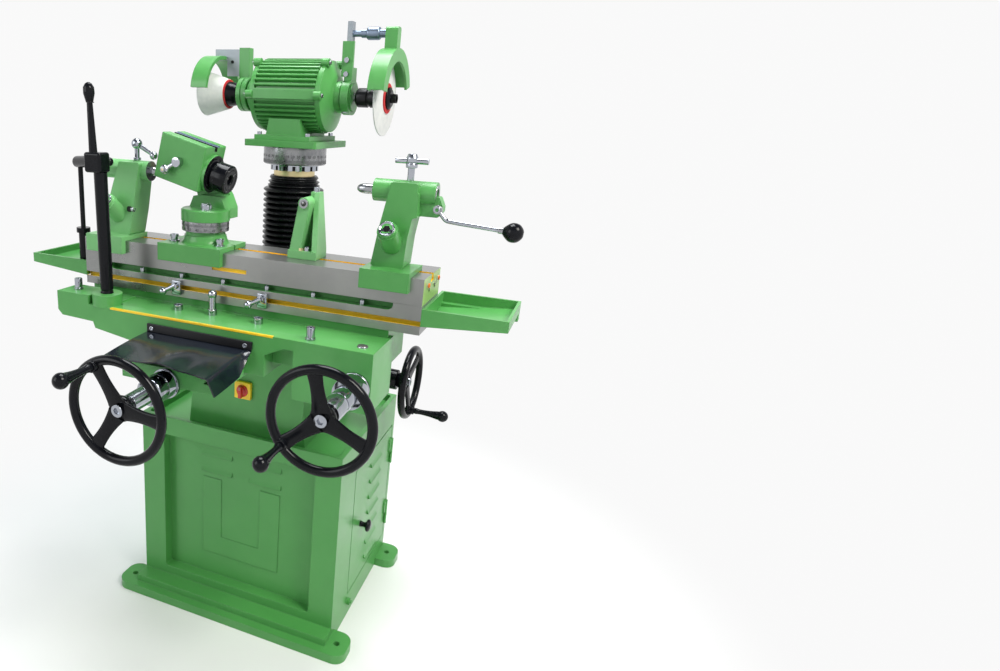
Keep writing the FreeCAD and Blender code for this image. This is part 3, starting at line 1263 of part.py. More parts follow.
def lever_lean(shape):
    """Leans a shape to the left about the lever's fulcrum."""
    return shape.rotate(at(LEVER_X, LEVER_Y, lever_pivot_z()), Y_AXIS, -LEVER_LEAN)


def quick_lever():
    """Traverse lever: ball foot, post, slotted block and offset handle with its knob."""
    pivot = at(LEVER_X, LEVER_Y, lever_pivot_z())
    foot = ball(pivot, LEVER_R)
    post = turned([(0, LEVER_R - BIG_GAP), (LEVER_R * 0.7, LEVER_R), (LEVER_BLOCK_LOW - pivot.z, LEVER_R)], pivot, Z_AXIS)
    head = block((LEVER_X - LEVER_BLOCK_LEFT, LEVER_X + LEVER_R), (LEVER_Y - LEVER_BLOCK_HALF_Y, LEVER_Y + LEVER_BLOCK_HALF_Y),
                 (LEVER_BLOCK_LOW, LEVER_BLOCK_HIGH))
    head = softened(head, LEVER_BLOCK_HALF_Y / 3, lambda edge: True)
    handle_at = at(LEVER_X - LEVER_HANDLE_SHIFT, LEVER_Y, LEVER_BLOCK_HIGH)
    run = LEVER_TOP - LEVER_BLOCK_HIGH - LEVER_KNOB_LONG
    profile = [(-BIG_GAP, LEVER_NECK_R), (run, LEVER_TIP_R)]
    profile += [(run, LEVER_TIP_R * 1.2), (run + LEVER_KNOB_LONG * 0.45, LEVER_KNOB_R)]
    profile += [(run + LEVER_KNOB_LONG * 0.75, LEVER_KNOB_R * 0.96), (run + LEVER_KNOB_LONG * 0.93, LEVER_KNOB_R * 0.6)]
    profile += [(run + LEVER_KNOB_LONG, LEVER_KNOB_R * 0.2)]
    lean_x, lean_z = polar(1, 90 + LEVER_LEAN)
    handle = turned(profile, handle_at, at(lean_x, 0, lean_z))
    body = lever_lean(joined(foot, post, head, handle))
    pin_at = link_pin_point()
    slot_half = LINK_PIN_R + LINK_SLOT_CLEAR
    slot = block((pin_at.x - slot_half, pin_at.x + slot_half), (pin_at.y - LINK_SLOT_DEPTH / 2, LEVER_Y + 2 * LEVER_BLOCK_HALF_Y),
                 (pin_at.z - slot_half, pin_at.z + LINK_SLOT_RISE + LINK_PIN_R))
    return body.cut(slot)


def link_pin_point():
    """Centre of the link's pin where it meets the leaned lever post."""
    reach = LINK_Z - lever_pivot_z()
    return at(LEVER_X - reach * math.tan(math.radians(LEVER_LEAN)), LEVER_Y, LINK_Z)


def lever_pivot_z():
    """Height of the lever's fulcrum, level with the top of its boss."""
    return LEVER_BOSS_TOP


# Table

def table_span():
    """Left and right ends of the table."""
    return TABLE_LEFT_END, TABLE_RIGHT_END


def lower_table():
    """Lower table with clamping recess, dog slot and swivel pin."""
    span = table_span()
    low = WAY_TOP + SLIDE_GAP
    body = block(span, (TABLE_FRONT, TABLE_BACK), (low, LOWER_TOP))
    recess = block((RECESS_LEFT, RECESS_RIGHT), (TABLE_FRONT, TABLE_FRONT + RECESS_DEPTH), (RECESS_FLOOR, LOWER_TOP))

    def lower_corner(edge):
        return runs_back(edge) and edge.Vertexes[0].Point.z < RECESS_FLOOR + FREE_GAP

    body = body.cut(softened(recess, RECESS_CORNER, lower_corner))
    body = body.cut(block(span, (TABLE_FRONT, TABLE_FRONT + SLOT_NECK), (SLOT_LOW, SLOT_HIGH)))
    foot = (SLOT_HIGH - SLOT_LOW) / 4
    body = body.cut(block(span, (TABLE_FRONT + SLOT_NECK, TABLE_FRONT + SLOT_NECK + SLOT_DEPTH),
                          (SLOT_LOW - foot, SLOT_HIGH + foot)))
    middle = (TABLE_FRONT + TABLE_BACK) / 2
    pin = rod(at(TABLE_MIDDLE, middle, LOWER_TOP), Z_AXIS, SWIVEL_PIN_TABLE_HIGH, SWIVEL_PIN_TABLE_R)
    return body.fuse(pin)


def upper_table():
    """Swivelling upper table with its T-slot, scale window and pivot hole."""
    left, right = table_span()
    right -= END_PLATE_THICK
    low = LOWER_TOP + SLIDE_GAP
    middle = (TABLE_FRONT + TABLE_BACK) / 2
    body = block((left, right), (TABLE_FRONT, TABLE_BACK), (low, UPPER_TOP))
    body = body.cut(tee_slot((left, right), middle))
    window = block((WINDOW_LEFT, WINDOW_RIGHT), (TABLE_FRONT, TABLE_FRONT + WINDOW_DEPTH), (WINDOW_LOW, WINDOW_HIGH))
    body = body.cut(window)
    hole = rod(at(TABLE_MIDDLE, middle, low), Z_AXIS, SWIVEL_PIN_TABLE_HIGH + SLIDE_GAP, SWIVEL_PIN_TABLE_R + RUN_FIT)
    return body.cut(hole)


def tee_slot(x, middle):
    """Space of the T-slot along the table top."""
    neck = block(x, (middle - TEE_HALF, middle + TEE_HALF), (UPPER_TOP - TEE_DEPTH, UPPER_TOP))
    foot_z = (UPPER_TOP - TEE_DEPTH - TEE_FOOT_DEPTH, UPPER_TOP - TEE_DEPTH)
    return neck.fuse(block(x, (middle - TEE_FOOT_HALF, middle + TEE_FOOT_HALF), foot_z))


def end_plate():
    """Plate that closes the right end of the upper table, with two screws."""
    right = table_span()[1]
    x = (right - END_PLATE_THICK, right)
    middle = (TABLE_FRONT + TABLE_BACK) / 2
    plate = block(x, (TABLE_FRONT, TABLE_BACK), (LOWER_TOP + SLIDE_GAP, UPPER_TOP))
    plate = plate.cut(tee_slot(x, middle))
    for side in (-1, 1):
        start = at(right, middle + side * (TABLE_BACK - TABLE_FRONT) / 6, (LOWER_TOP + UPPER_TOP) / 2)
        plate = plate.fuse(rod(start, X_AXIS, BIG_GAP, END_SCREW_R))
    return plate


def recess_bolts():
    """Row of clamping bolts in the recess of the lower table."""
    pieces = []
    y = TABLE_FRONT + RECESS_DEPTH / 2
    for count in range(CLAMP_BOLTS):
        x = CLAMP_BOLT_FIRST + count * CLAMP_BOLT_PITCH
        pieces.append(bolt_head(x, y, RECESS_FLOOR, CLAMP_BOLT_R, CLAMP_BOLT_HIGH))
    return Part.makeCompound(pieces)


def tray(side):
    """Open tray at a table end, its floor rising outwards, on a rear rail."""
    end = table_span()[0] if side < 0 else table_span()[1]
    far = end + side * TRAY_LONG
    outline = [(end, TRAY_TOP), (end, TRAY_INNER_BOTTOM), (far, TRAY_OUTER_BOTTOM), (far, TRAY_TOP)]
    body = front_prism(outline, (TABLE_FRONT, TRAY_BACK))
    near_in = end + side * TRAY_WALL
    far_in = far - side * TRAY_WALL
    rise = TRAY_FLOOR
    bowl = [(near_in, TRAY_TOP), (near_in, TRAY_INNER_BOTTOM + rise), (far_in, TRAY_OUTER_BOTTOM + rise), (far_in, TRAY_TOP)]
    body = body.cut(front_prism(bowl, (TABLE_FRONT + TRAY_WALL, TRAY_BACK - TRAY_WALL)))
    rail_z = (TRAY_OUTER_BOTTOM - TRAY_RAIL_HIGH, TRAY_OUTER_BOTTOM)
    rail = block(sorted((end, far)), (TRAY_BACK - TRAY_RAIL_DEEP, TRAY_BACK), rail_z)
    return joined(body, rail)


def left_tray():
    """Left tray with the pad that carries the lever link's socket."""
    body = tray(-1)
    pad_top = TRAY_TOP - BIG_GAP
    pad = block((LINK_ROD_X - LINK_SOCKET_R, table_span()[0]),
                (LINK_ROD_Y - LINK_SOCKET_R, LINK_ROD_Y + LINK_SOCKET_R), (TRAY_INNER_BOTTOM, pad_top))
    return joined(body, pad)


def right_tray():
    """Right tray."""
    return tray(1)


def table_link():
    """Link from the tray to the traverse lever: socket, rod, arm and the pin in the lever's slot."""
    foot = TRAY_TOP - BIG_GAP
    socket = rod(at(LINK_ROD_X, LINK_ROD_Y, foot), Z_AXIS, LINK_SOCKET_HIGH, LINK_SOCKET_R)
    collar_z = foot + LINK_SOCKET_HIGH
    collar = rod(at(LINK_ROD_X, LINK_ROD_Y, collar_z), Z_AXIS, LINK_COLLAR_HIGH, LINK_COLLAR_R)
    arm_z = LINK_Z - LINK_ARM_DROP
    rod_top = at(LINK_ROD_X, LINK_ROD_Y, arm_z)
    upright_rod = rod(at(LINK_ROD_X, LINK_ROD_Y, collar_z), Z_AXIS, arm_z - collar_z, LINK_ROD_R)
    pin_at = link_pin_point()
    knuckle = at(pin_at.x, LEVER_Y + LEVER_BLOCK_HALF_Y + LINK_KNUCKLE_R + BIG_GAP, pin_at.z)
    run = knuckle - rod_top
    reach = run.Length
    run.normalize()
    arm = rod(rod_top - run * LINK_ARM_R, run, reach * 0.8 + LINK_ARM_R, LINK_ARM_R)
    nose = rod(rod_top, run, reach, LINK_KNUCKLE_R)
    pin = rod(knuckle, -Y_AXIS, knuckle.y - LEVER_Y + LINK_SLOT_DEPTH / 4, LINK_PIN_R)
    return joined(socket, collar, upright_rod, arm, nose, ball(knuckle, LINK_KNUCKLE_R), pin)


def trip_dog(x):
    """Trip dog on the table's front slot with its clamping ball lever."""
    outline = [(x - DOG_HALF, DOG_LOW), (x + DOG_HALF, DOG_LOW), (x + DOG_HALF, DOG_HIGH - DOG_HALF / 2)]
    outline += [(x + DOG_HALF / 2, DOG_HIGH), (x - DOG_HALF / 2, DOG_HIGH), (x - DOG_HALF, DOG_HIGH - DOG_HALF / 2)]
    face = TABLE_FRONT - SLIDE_GAP
    body = front_prism(outline, (face - DOG_THICK, face))
    middle = (SLOT_LOW + SLOT_HIGH) / 2
    seat = at(x, face - DOG_THICK, middle + SLOT_NECK)
    boss = rod(seat, -Y_AXIS, DOG_BOSS_LONG, DOG_BOSS_R)
    root = seat - Y_AXIS * (DOG_BOSS_LONG / 2)
    arm = ball_arm(root, root + at(-DOG_ARM_LONG, -DOG_ARM_OUT, -DOG_DROP), DOG_ARM_R, DOG_ARM_R, DOG_BALL_R)
    tongue_half = (SLOT_HIGH - SLOT_LOW) / 2 - SLIDE_GAP
    tongue = block((x - DOG_HALF, x + DOG_HALF), (face, face + SLOT_NECK), (middle - tongue_half, middle + tongue_half))
    return joined(body, boss, arm, tongue)


# Tailstocks

def attachment_foot(left, right, back):
    """Foot of an attachment with a lip that hooks over the table's front edge."""
    low = UPPER_TOP + SLIDE_GAP
    foot = block((left, right), (ATTACH_FRONT, back), (low, ATTACH_FOOT_TOP))
    lip = block((left, right), (ATTACH_FRONT, TABLE_FRONT - SLIDE_GAP), (ATTACH_LIP, low))
    middle = (TABLE_FRONT + TABLE_BACK) / 2
    key_half = TEE_HALF - SLIDE_GAP
    key = block((left + CASTING_ROUND, right - CASTING_ROUND), (middle - key_half, middle + key_half),
                (UPPER_TOP - TEE_DEPTH / 2, low))
    return joined(foot, lip, key)


def front_cap(x):
    """Boss that leans up out of a tailstock's front, with its round cap."""
    forward, upward = polar(1, CAP_TILT)
    lean = at(0, -forward, upward)
    seat = at(x, CAP_FRONT, CAP_Z)
    boss = rod(seat - lean * CAP_BOSS_LONG, lean, CAP_BOSS_LONG, CAP_BOSS_R)
    cap = turned([(0, CAP_R), (CAP_THICK * 0.75, CAP_R), (CAP_THICK, CAP_R * 0.85)], seat, lean)
    return joined(boss, cap)


def left_tailstock():
    """Left tailstock casting, leaning to the work, with its centre boss."""
    foot = attachment_foot(LEFT_STOCK_LEFT, LEFT_STOCK_RIGHT, ATTACH_BACK)
    width = LEFT_STOCK_RIGHT - LEFT_STOCK_LEFT
    top = CENTRE_Z + CENTRE_BOSS_R - BIG_GAP
    outline = [(LEFT_STOCK_LEFT + width * 0.16, ATTACH_FOOT_TOP), (LEFT_STOCK_RIGHT - width * 0.04, ATTACH_FOOT_TOP)]
    outline += [(LEFT_STOCK_RIGHT + width * 0.08, CAP_Z - CAP_BOSS_R), (LEFT_STOCK_RIGHT + width * 0.18, CENTRE_Z - CENTRE_BOSS_R)]
    outline += [(LEFT_STOCK_RIGHT + width * 0.28, top), (LEFT_STOCK_RIGHT - width * 0.28, top)]
    outline += [(LEFT_STOCK_RIGHT - width * 0.52, CAP_Z + CAP_BOSS_R)]
    tower = front_prism(outline, (CASTING_FRONT, CASTING_BACK))
    tower = softened(tower, CASTING_ROUND, runs_back)
    boss = rod(at(LEFT_BOSS_LEFT, CENTRE_Y, CENTRE_Z), X_AXIS, LEFT_BOSS_RIGHT - LEFT_BOSS_LEFT, CENTRE_BOSS_R)
    body = joined(foot, tower, boss, front_cap(LEFT_STOCK_CAP_X))
    bore = rod(at(LEFT_BOSS_LEFT, CENTRE_Y, CENTRE_Z), X_AXIS, LEFT_BOSS_RIGHT - LEFT_BOSS_LEFT, CENTRE_R)
    body = body.cut(bore)
    stem_hole = rod(at(LEFT_CLAMP_X, CENTRE_Y, CENTRE_Z), Z_AXIS, 2 * CENTRE_BOSS_R, CLAMP_STEM_R + RUN_FIT)
    return body.cut(stem_hole)


def left_centre():
    """Centre of the left tailstock with its point towards the work."""
    length = LEFT_BOSS_RIGHT - LEFT_BOSS_LEFT
    profile = [(-CENTRE_CONE / 2, CENTRE_R), (length + CENTRE_CONE / 2, CENTRE_R)]
    profile += [(length + CENTRE_CONE * 1.5, CENTRE_R / 5)]
    return turned(profile, at(LEFT_BOSS_LEFT, CENTRE_Y, CENTRE_Z), X_AXIS)


def left_clamp():
    """Ball clamp on top of the left tailstock."""
    foot = CENTRE_Z + CENTRE_R + FREE_GAP
    top = CENTRE_Z + CENTRE_BOSS_R + CLAMP_STEM_HIGH
    head = at(LEFT_CLAMP_X, CENTRE_Y, top)
    stem = ball_arm(at(LEFT_CLAMP_X, CENTRE_Y, foot), head, CLAMP_STEM_R, CLAMP_STEM_R, CLAMP_BALL_R)
    collar_z = CENTRE_Z + CENTRE_BOSS_R + FREE_GAP
    collar = rod(at(LEFT_CLAMP_X, CENTRE_Y, collar_z), Z_AXIS, CLAMP_STEM_R, CLAMP_STEM_R * 1.5)
    tip = head + at(CLAMP_STEM_HIGH, CLAMP_BALL_R, -2 * CLAMP_BALL_R)
    arm = ball_arm(head, tip, CLAMP_STEM_R, CLAMP_STEM_R * 0.7, CLAMP_BALL_R * 0.75)
    return joined(stem, collar, arm)


def right_tailstock():
    """Right tailstock casting with quill boss and rear arm for the lever."""
    foot = attachment_foot(RIGHT_STOCK_LEFT, RIGHT_STOCK_RIGHT, ATTACH_BACK)
    width = RIGHT_STOCK_RIGHT - RIGHT_STOCK_LEFT
    left = RIGHT_STOCK_LEFT
    top = CENTRE_Z + CENTRE_BOSS_R - BIG_GAP
    outline = [(left + width * 0.1, ATTACH_FOOT_TOP), (left + width * 0.76, ATTACH_FOOT_TOP)]
    outline += [(left + width * 0.8, CAP_Z - CAP_R), (left + width * 0.86, ARM_BOTTOM - CASTING_ROUND)]
    outline += [(left + width * 0.98, ARM_BOTTOM), (ARM_PIVOT_X, ARM_BOTTOM), (ARM_END_X, ARM_PIVOT_Z - CASTING_ROUND)]
    outline += [(ARM_END_X, ARM_PIVOT_Z + CASTING_ROUND), (ARM_PIVOT_X, CENTRE_Z - CASTING_ROUND)]
    outline += [(left + width * 0.92, CENTRE_Z), (left + width * 0.92, top), (left + width * 0.4, top)]
    outline += [(left + width * 0.22, CAP_Z)]
    tower = front_prism(outline, (CASTING_FRONT, CASTING_BACK))
    tower = softened(tower, CASTING_ROUND, runs_back)
    arm_y = (CENTRE_Y - ARM_THICK / 2, CENTRE_Y + ARM_THICK / 2)
    arm_x = (RIGHT_STOCK_RIGHT - CASTING_ROUND, ARM_END_X + BIG_GAP)
    arm_z = (ARM_BOTTOM - CASTING_ROUND, top)
    trim = block(arm_x, (CASTING_FRONT, arm_y[0]), arm_z).fuse(block(arm_x, (arm_y[1], CASTING_BACK), arm_z))
    tower = tower.cut(trim)
    boss = rod(at(left, CENTRE_Y, CENTRE_Z), X_AXIS, RIGHT_BOSS_RIGHT - left, CENTRE_BOSS_R)
    body = joined(foot, tower, boss, front_cap(RIGHT_STOCK_CAP_X))
    body = body.cut(rod(at(left, CENTRE_Y, CENTRE_Z), X_AXIS, RIGHT_BOSS_RIGHT - left, CENTRE_R + RUN_FIT))
    stem_hole = rod(at(TEE_CLAMP_X, CENTRE_Y, CENTRE_Z), Z_AXIS, 2 * CENTRE_BOSS_R, TEE_CLAMP_STEM_R + RUN_FIT)
    body = body.cut(stem_hole)
    pin = rod(at(ARM_PIVOT_X, arm_y[0], ARM_PIVOT_Z), -Y_AXIS, LEVER_CRANK_WIDE + BIG_GAP, LEVER_CRANK_R / 2)
    return body.fuse(pin)


def right_quill():
    """Sprung quill with its pointed centre."""
    profile = [(0, CENTRE_R / 5), (CENTRE_CONE, CENTRE_R)]
    profile += [(RIGHT_BOSS_RIGHT - QUILL_TIP - CENTRE_CONE, CENTRE_R)]
    return turned(profile, at(QUILL_TIP, CENTRE_Y, CENTRE_Z), X_AXIS)


def quill_lever():
    """Cranked lever with a ball that draws the quill back."""
    face = CENTRE_Y - ARM_THICK / 2 - SLIDE_GAP
    middle = face - LEVER_CRANK_WIDE / 2
    hub = sleeve(at(ARM_PIVOT_X, face, ARM_PIVOT_Z), -Y_AXIS, LEVER_CRANK_WIDE, LEVER_CRANK_R, LEVER_CRANK_R / 2 + RUN_FIT)
    knee = at(LEVER_KNEE_X, middle, LEVER_KNEE_Z)
    tip = at(LEVER_BALL_X, middle, LEVER_BALL_Z)
    start = at(ARM_PIVOT_X, middle, ARM_PIVOT_Z)
    down = knee - start
    first = down.Length
    down.normalize()
    crank = rod(start + down * (LEVER_CRANK_R / 2 + LEVER_ROD_R / 2), down, first - LEVER_CRANK_R / 2 - LEVER_ROD_R / 2, LEVER_ROD_R)
    run = tip - knee
    second = run.Length
    run.normalize()
    handle = rod(knee, run, second, LEVER_ROD_R)
    bulb = turned([(0, LEVER_BALL_R * 0.35), (LEVER_BALL_R * 0.5, LEVER_BALL_R * 0.85),
                   (LEVER_BALL_R, LEVER_BALL_R), (LEVER_BALL_R * 1.6, LEVER_BALL_R * 0.85),
                   (LEVER_BALL_R * 2, LEVER_BALL_R * 0.3)], tip - run * LEVER_BALL_R, run)
    hole = rod(at(ARM_PIVOT_X, face, ARM_PIVOT_Z), -Y_AXIS, LEVER_CRANK_WIDE, LEVER_CRANK_R / 2 + RUN_FIT)
    return joined(hub, crank, ball(knee, LEVER_ROD_R), handle, bulb).cut(hole)


def quill_clamp():
    """Clamping screw with its cross bar on top of the right tailstock."""
    foot = CENTRE_Z + CENTRE_R + FREE_GAP
    stem = rod(at(TEE_CLAMP_X, CENTRE_Y, foot), Z_AXIS, TEE_CLAMP_TOP - foot - BIG_GAP, TEE_CLAMP_STEM_R)
    hub = turned([(0, TEE_CLAMP_HUB_R * 0.7), (BIG_GAP, TEE_CLAMP_HUB_R), (TEE_CLAMP_TOP - TEE_CLAMP_BAR_Z, TEE_CLAMP_HUB_R),
                  ((TEE_CLAMP_TOP - TEE_CLAMP_BAR_Z) * 2, TEE_CLAMP_HUB_R * 0.7)],
                 at(TEE_CLAMP_X, CENTRE_Y, 2 * TEE_CLAMP_BAR_Z - TEE_CLAMP_TOP), Z_AXIS)
    bar = rod(at(TEE_CLAMP_X - TEE_CLAMP_BAR_HALF, CENTRE_Y, TEE_CLAMP_BAR_Z), X_AXIS, 2 * TEE_CLAMP_BAR_HALF, TEE_CLAMP_BAR_R)
    return joined(stem, hub, bar)


# Tooth rest

def tooth_rest():
    """Ribbed bracket with a leaning leg that carries the plunger's boss."""
    low = UPPER_TOP + SLIDE_GAP
    foot = block((REST_LEFT, REST_RIGHT), (REST_FRONT, REST_BACK), (low, REST_FOOT_TOP))
    middle = (TABLE_FRONT + TABLE_BACK) / 2
    key_half = TEE_HALF - SLIDE_GAP
    key = block((REST_LEFT + BIG_GAP, REST_RIGHT - BIG_GAP), (middle - key_half, middle + key_half),
                (UPPER_TOP - TEE_DEPTH / 2, low))
    left = REST_LEFT + BIG_GAP
    boss_left = REST_BOSS_X - REST_BOSS_R
    outline = [(left, REST_FOOT_TOP), (REST_RIGHT, REST_FOOT_TOP), (REST_TOP_RIGHT, REST_TOP)]
    outline += [(REST_BOSS_X, REST_TOP), (boss_left, REST_BOSS_Z)]
    web = front_prism(outline, (REST_BACK - REST_WEB, REST_BACK))
    outline = [(left, REST_FOOT_TOP), (left + 2 * REST_BOSS_R, REST_FOOT_TOP)]
    outline += [(REST_BOSS_X + REST_BOSS_R, REST_BOSS_Z), (boss_left, REST_BOSS_Z)]
    leg = front_prism(outline, (REST_FRONT + BIG_GAP, REST_BACK))
    outline = [(REST_RIGHT - REST_WEB, REST_FOOT_TOP), (REST_RIGHT, REST_FOOT_TOP), (REST_TOP_RIGHT, REST_TOP)]
    outline += [(REST_TOP_RIGHT - REST_WEB, REST_TOP)]
    rib = front_prism(outline, (REST_FRONT, REST_BACK))
    slope = [(REST_FRONT + BIG_GAP, REST_FOOT_TOP), (REST_BACK, REST_FOOT_TOP), (REST_BACK, REST_TOP)]
    slope += [(REST_BACK - REST_WEB * 2, REST_TOP)]
    rib = rib.common(side_prism(slope, (REST_LEFT, REST_RIGHT)))
    boss = rod(at(REST_BOSS_X, REST_FRONT, REST_BOSS_Z), Y_AXIS, REST_BACK - REST_FRONT, REST_BOSS_R)
    crown = block((REST_BOSS_X, REST_TOP_RIGHT), (REST_BACK - REST_WEB * 2, REST_BACK), (REST_BOSS_Z, REST_TOP))
    body = joined(foot, key, web, leg, rib, boss, crown)
    return body.cut(rod(at(REST_BOSS_X, REST_FRONT, REST_BOSS_Z), Y_AXIS, REST_BACK - REST_FRONT, REST_PLUNGER_R + RUN_FIT))


def rest_plunger():
    """Plunger of the tooth rest with its point to the front and a collar at its rear end."""
    length = REST_BACK - REST_FRONT
    profile = [(-REST_PLUNGER_R * 2, REST_PLUNGER_R * 0.5), (-REST_PLUNGER_R, REST_PLUNGER_R)]
    profile += [(length + FREE_GAP, REST_PLUNGER_R), (length + FREE_GAP, REST_PLUNGER_R * 1.6)]
    profile += [(length + REST_PLUNGER_R * 2, REST_PLUNGER_R * 1.6)]
    return turned(profile, at(REST_BOSS_X, REST_FRONT, REST_BOSS_Z), Y_AXIS)


# Workhead

def workhead_base():
    """Workhead foot with its round pedestal and pivot."""
    foot = attachment_foot(HEAD_FOOT_LEFT, HEAD_FOOT_RIGHT, HEAD_FOOT_BACK)
    notch = block((HEAD_FOOT_RIGHT - CASTING_ROUND * 2, HEAD_FOOT_RIGHT), (CENTRE_Y - BIG_GAP, CENTRE_Y + BIG_GAP),
                  (UPPER_TOP - TEE_DEPTH, ATTACH_FOOT_TOP))
    foot = foot.cut(notch)
    pedestal = turned([(0, HEAD_PEDESTAL_R * 1.06), (HEAD_PEDESTAL_TOP - ATTACH_FOOT_TOP, HEAD_PEDESTAL_R)],
                      at(HEAD_AXIS_X, CENTRE_Y, ATTACH_FOOT_TOP), Z_AXIS)
    pivot = rod(at(HEAD_AXIS_X, CENTRE_Y, ATTACH_FOOT_TOP), Z_AXIS,
                (HEAD_SCALE_TOP + YOKE_DISC_TOP) / 2 - ATTACH_FOOT_TOP, SWIVEL_PIN_R)
    body = joined(foot, pedestal, pivot)
    for x in (HEAD_FOOT_LEFT + HEAD_BOLT_INSET, HEAD_FOOT_RIGHT - HEAD_BOLT_INSET):
        body = body.fuse(rod(at(x, HEAD_BOLT_Y, ATTACH_FOOT_TOP), Z_AXIS, SHELF_BOLT_HIGH, HEAD_BOLT_R))
    return body


def workhead_scale():
    """Graduated ring between pedestal and yoke."""
    high = HEAD_SCALE_TOP - HEAD_PEDESTAL_TOP
    return sleeve(at(HEAD_AXIS_X, CENTRE_Y, HEAD_PEDESTAL_TOP), Z_AXIS, high, HEAD_SCALE_R, SWIVEL_PIN_R)


def head_frame(shape):
    """Moves a shape made about the origin to the tilted head."""
    shape.Placement = FreeCAD.Placement(at(HEAD_X, HEAD_Y, HEAD_Z), FreeCAD.Rotation(Y_AXIS, HEAD_TILT))
    return shape


def workhead_yoke():
    """Swivelling yoke: disc and rear cheek that carries the tilting head."""
    disc = turned([(0, YOKE_DISC_R), (YOKE_DISC_TOP - HEAD_SCALE_TOP - BIG_GAP, YOKE_DISC_R),
                   (YOKE_DISC_TOP - HEAD_SCALE_TOP - SLIDE_GAP, YOKE_DISC_R - BIG_GAP)],
                  at(HEAD_AXIS_X, CENTRE_Y, HEAD_SCALE_TOP + SLIDE_GAP), Z_AXIS)
    back = HEAD_Y + HEAD_DEEP / 2 + FREE_GAP
    cheek_y = (back, back + CHEEK_THICK)
    foot_z = HEAD_SCALE_TOP + BIG_GAP
    outline = [(HEAD_AXIS_X - CHEEK_FOOT_HALF, foot_z), (HEAD_AXIS_X + CHEEK_FOOT_HALF, foot_z)]
    outline += [(HEAD_AXIS_X + CHEEK_FOOT_HALF, YOKE_DISC_TOP), (HEAD_AXIS_X + CHEEK_NECK_HALF, CHEEK_NECK_TOP)]
    outline += [(HEAD_X + CHEEK_TOP_R, HEAD_Z), (HEAD_X - CHEEK_TOP_R, HEAD_Z)]
    outline += [(HEAD_AXIS_X - CHEEK_FOOT_HALF, YOKE_DISC_TOP)]
    cheek = front_prism(outline, cheek_y)
    eye = rod(at(HEAD_X, cheek_y[0], HEAD_Z), Y_AXIS, CHEEK_THICK, CHEEK_TOP_R)
    taper = [(HEAD_AXIS_X - CHEEK_FOOT_HALF, foot_z), (HEAD_AXIS_X + CHEEK_FOOT_HALF, foot_z)]
    taper += [(HEAD_AXIS_X + CHEEK_FOOT_HALF, YOKE_DISC_TOP), (HEAD_AXIS_X + CHEEK_NECK_HALF, CHEEK_NECK_TOP)]
    taper += [(HEAD_AXIS_X - CHEEK_NECK_HALF, CHEEK_NECK_TOP), (HEAD_AXIS_X - CHEEK_FOOT_HALF, YOKE_DISC_TOP)]
    neck = front_prism(taper, (CHEEK_FRONT, cheek_y[0]))
    swing = math.hypot(HEAD_LONG, HEAD_HIGH) / 2 + FREE_GAP
    sweep = rod(at(HEAD_X, CHEEK_FRONT - CHEEK_THICK, HEAD_Z), Y_AXIS, cheek_y[0] - CHEEK_FRONT + CHEEK_THICK, swing)
    around = rod(at(HEAD_AXIS_X, CENTRE_Y, foot_z), Z_AXIS, CHEEK_NECK_TOP - foot_z, YOKE_DISC_R - FREE_GAP)
    neck = neck.cut(sweep).common(joined(around, block((HEAD_FOOT_LEFT, HEAD_FOOT_RIGHT), (CENTRE_Y, cheek_y[1]),
                                                      (foot_z, CHEEK_NECK_TOP))))
    body = joined(disc, cheek, eye, neck)
    nut_y = (CHEEK_FRONT + CENTRE_Y - YOKE_DISC_R) / 2
    body = body.fuse(rod(at(YOKE_NUT_X, nut_y, YOKE_DISC_TOP - BIG_GAP), Z_AXIS, YOKE_NUT_HIGH + BIG_GAP, YOKE_NUT_R))
    socket = (HEAD_SCALE_TOP + YOKE_DISC_TOP) / 2 + SLIDE_GAP - HEAD_SCALE_TOP
    body = body.cut(rod(at(HEAD_AXIS_X, CENTRE_Y, HEAD_SCALE_TOP), Z_AXIS, socket, SWIVEL_PIN_R + RUN_FIT))
    return body.cut(rod(at(HEAD_X, cheek_y[0], HEAD_Z), Y_AXIS, CHEEK_THICK, HEAD_PIN_R + RUN_FIT))


def workhead_body():
    """Tilting head: square housing with slotted top strip and spindle flange."""
    half_x = HEAD_LONG / 2
    half_y = HEAD_DEEP / 2
    half_z = HEAD_HIGH / 2
    box = block((-half_x, half_x), (-half_y, half_y), (-half_z, half_z))
    box = softened(box, BIG_GAP, lambda edge: True)
    strip = block((-half_x, half_x), (-HEAD_STRIP_HALF, HEAD_STRIP_HALF), (half_z - HEAD_STRIP_DEPTH, half_z))
    slot = block((-half_x, half_x), (-HEAD_SLOT_HALF, HEAD_SLOT_HALF), (half_z - HEAD_SLOT_DEPTH, half_z))
    box = box.cut(strip).cut(slot)
    flange = rod(at(half_x - BIG_GAP, 0, -WORK_AXIS_DROP), X_AXIS, WORK_FLANGE_THICK + BIG_GAP, WORK_FLANGE_R)
    box = box.fuse(flange)
    bore = rod(at(HEAD_PIN_R + FREE_GAP, 0, -WORK_AXIS_DROP), X_AXIS, HEAD_LONG, 2 * CHUCK_BORE_R + RUN_FIT)
    box = box.cut(bore)
    pin_hole = rod(at(0, -half_y, 0), Y_AXIS, HEAD_DEEP, HEAD_PIN_R + RUN_FIT)
    return head_frame(box.cut(pin_hole))


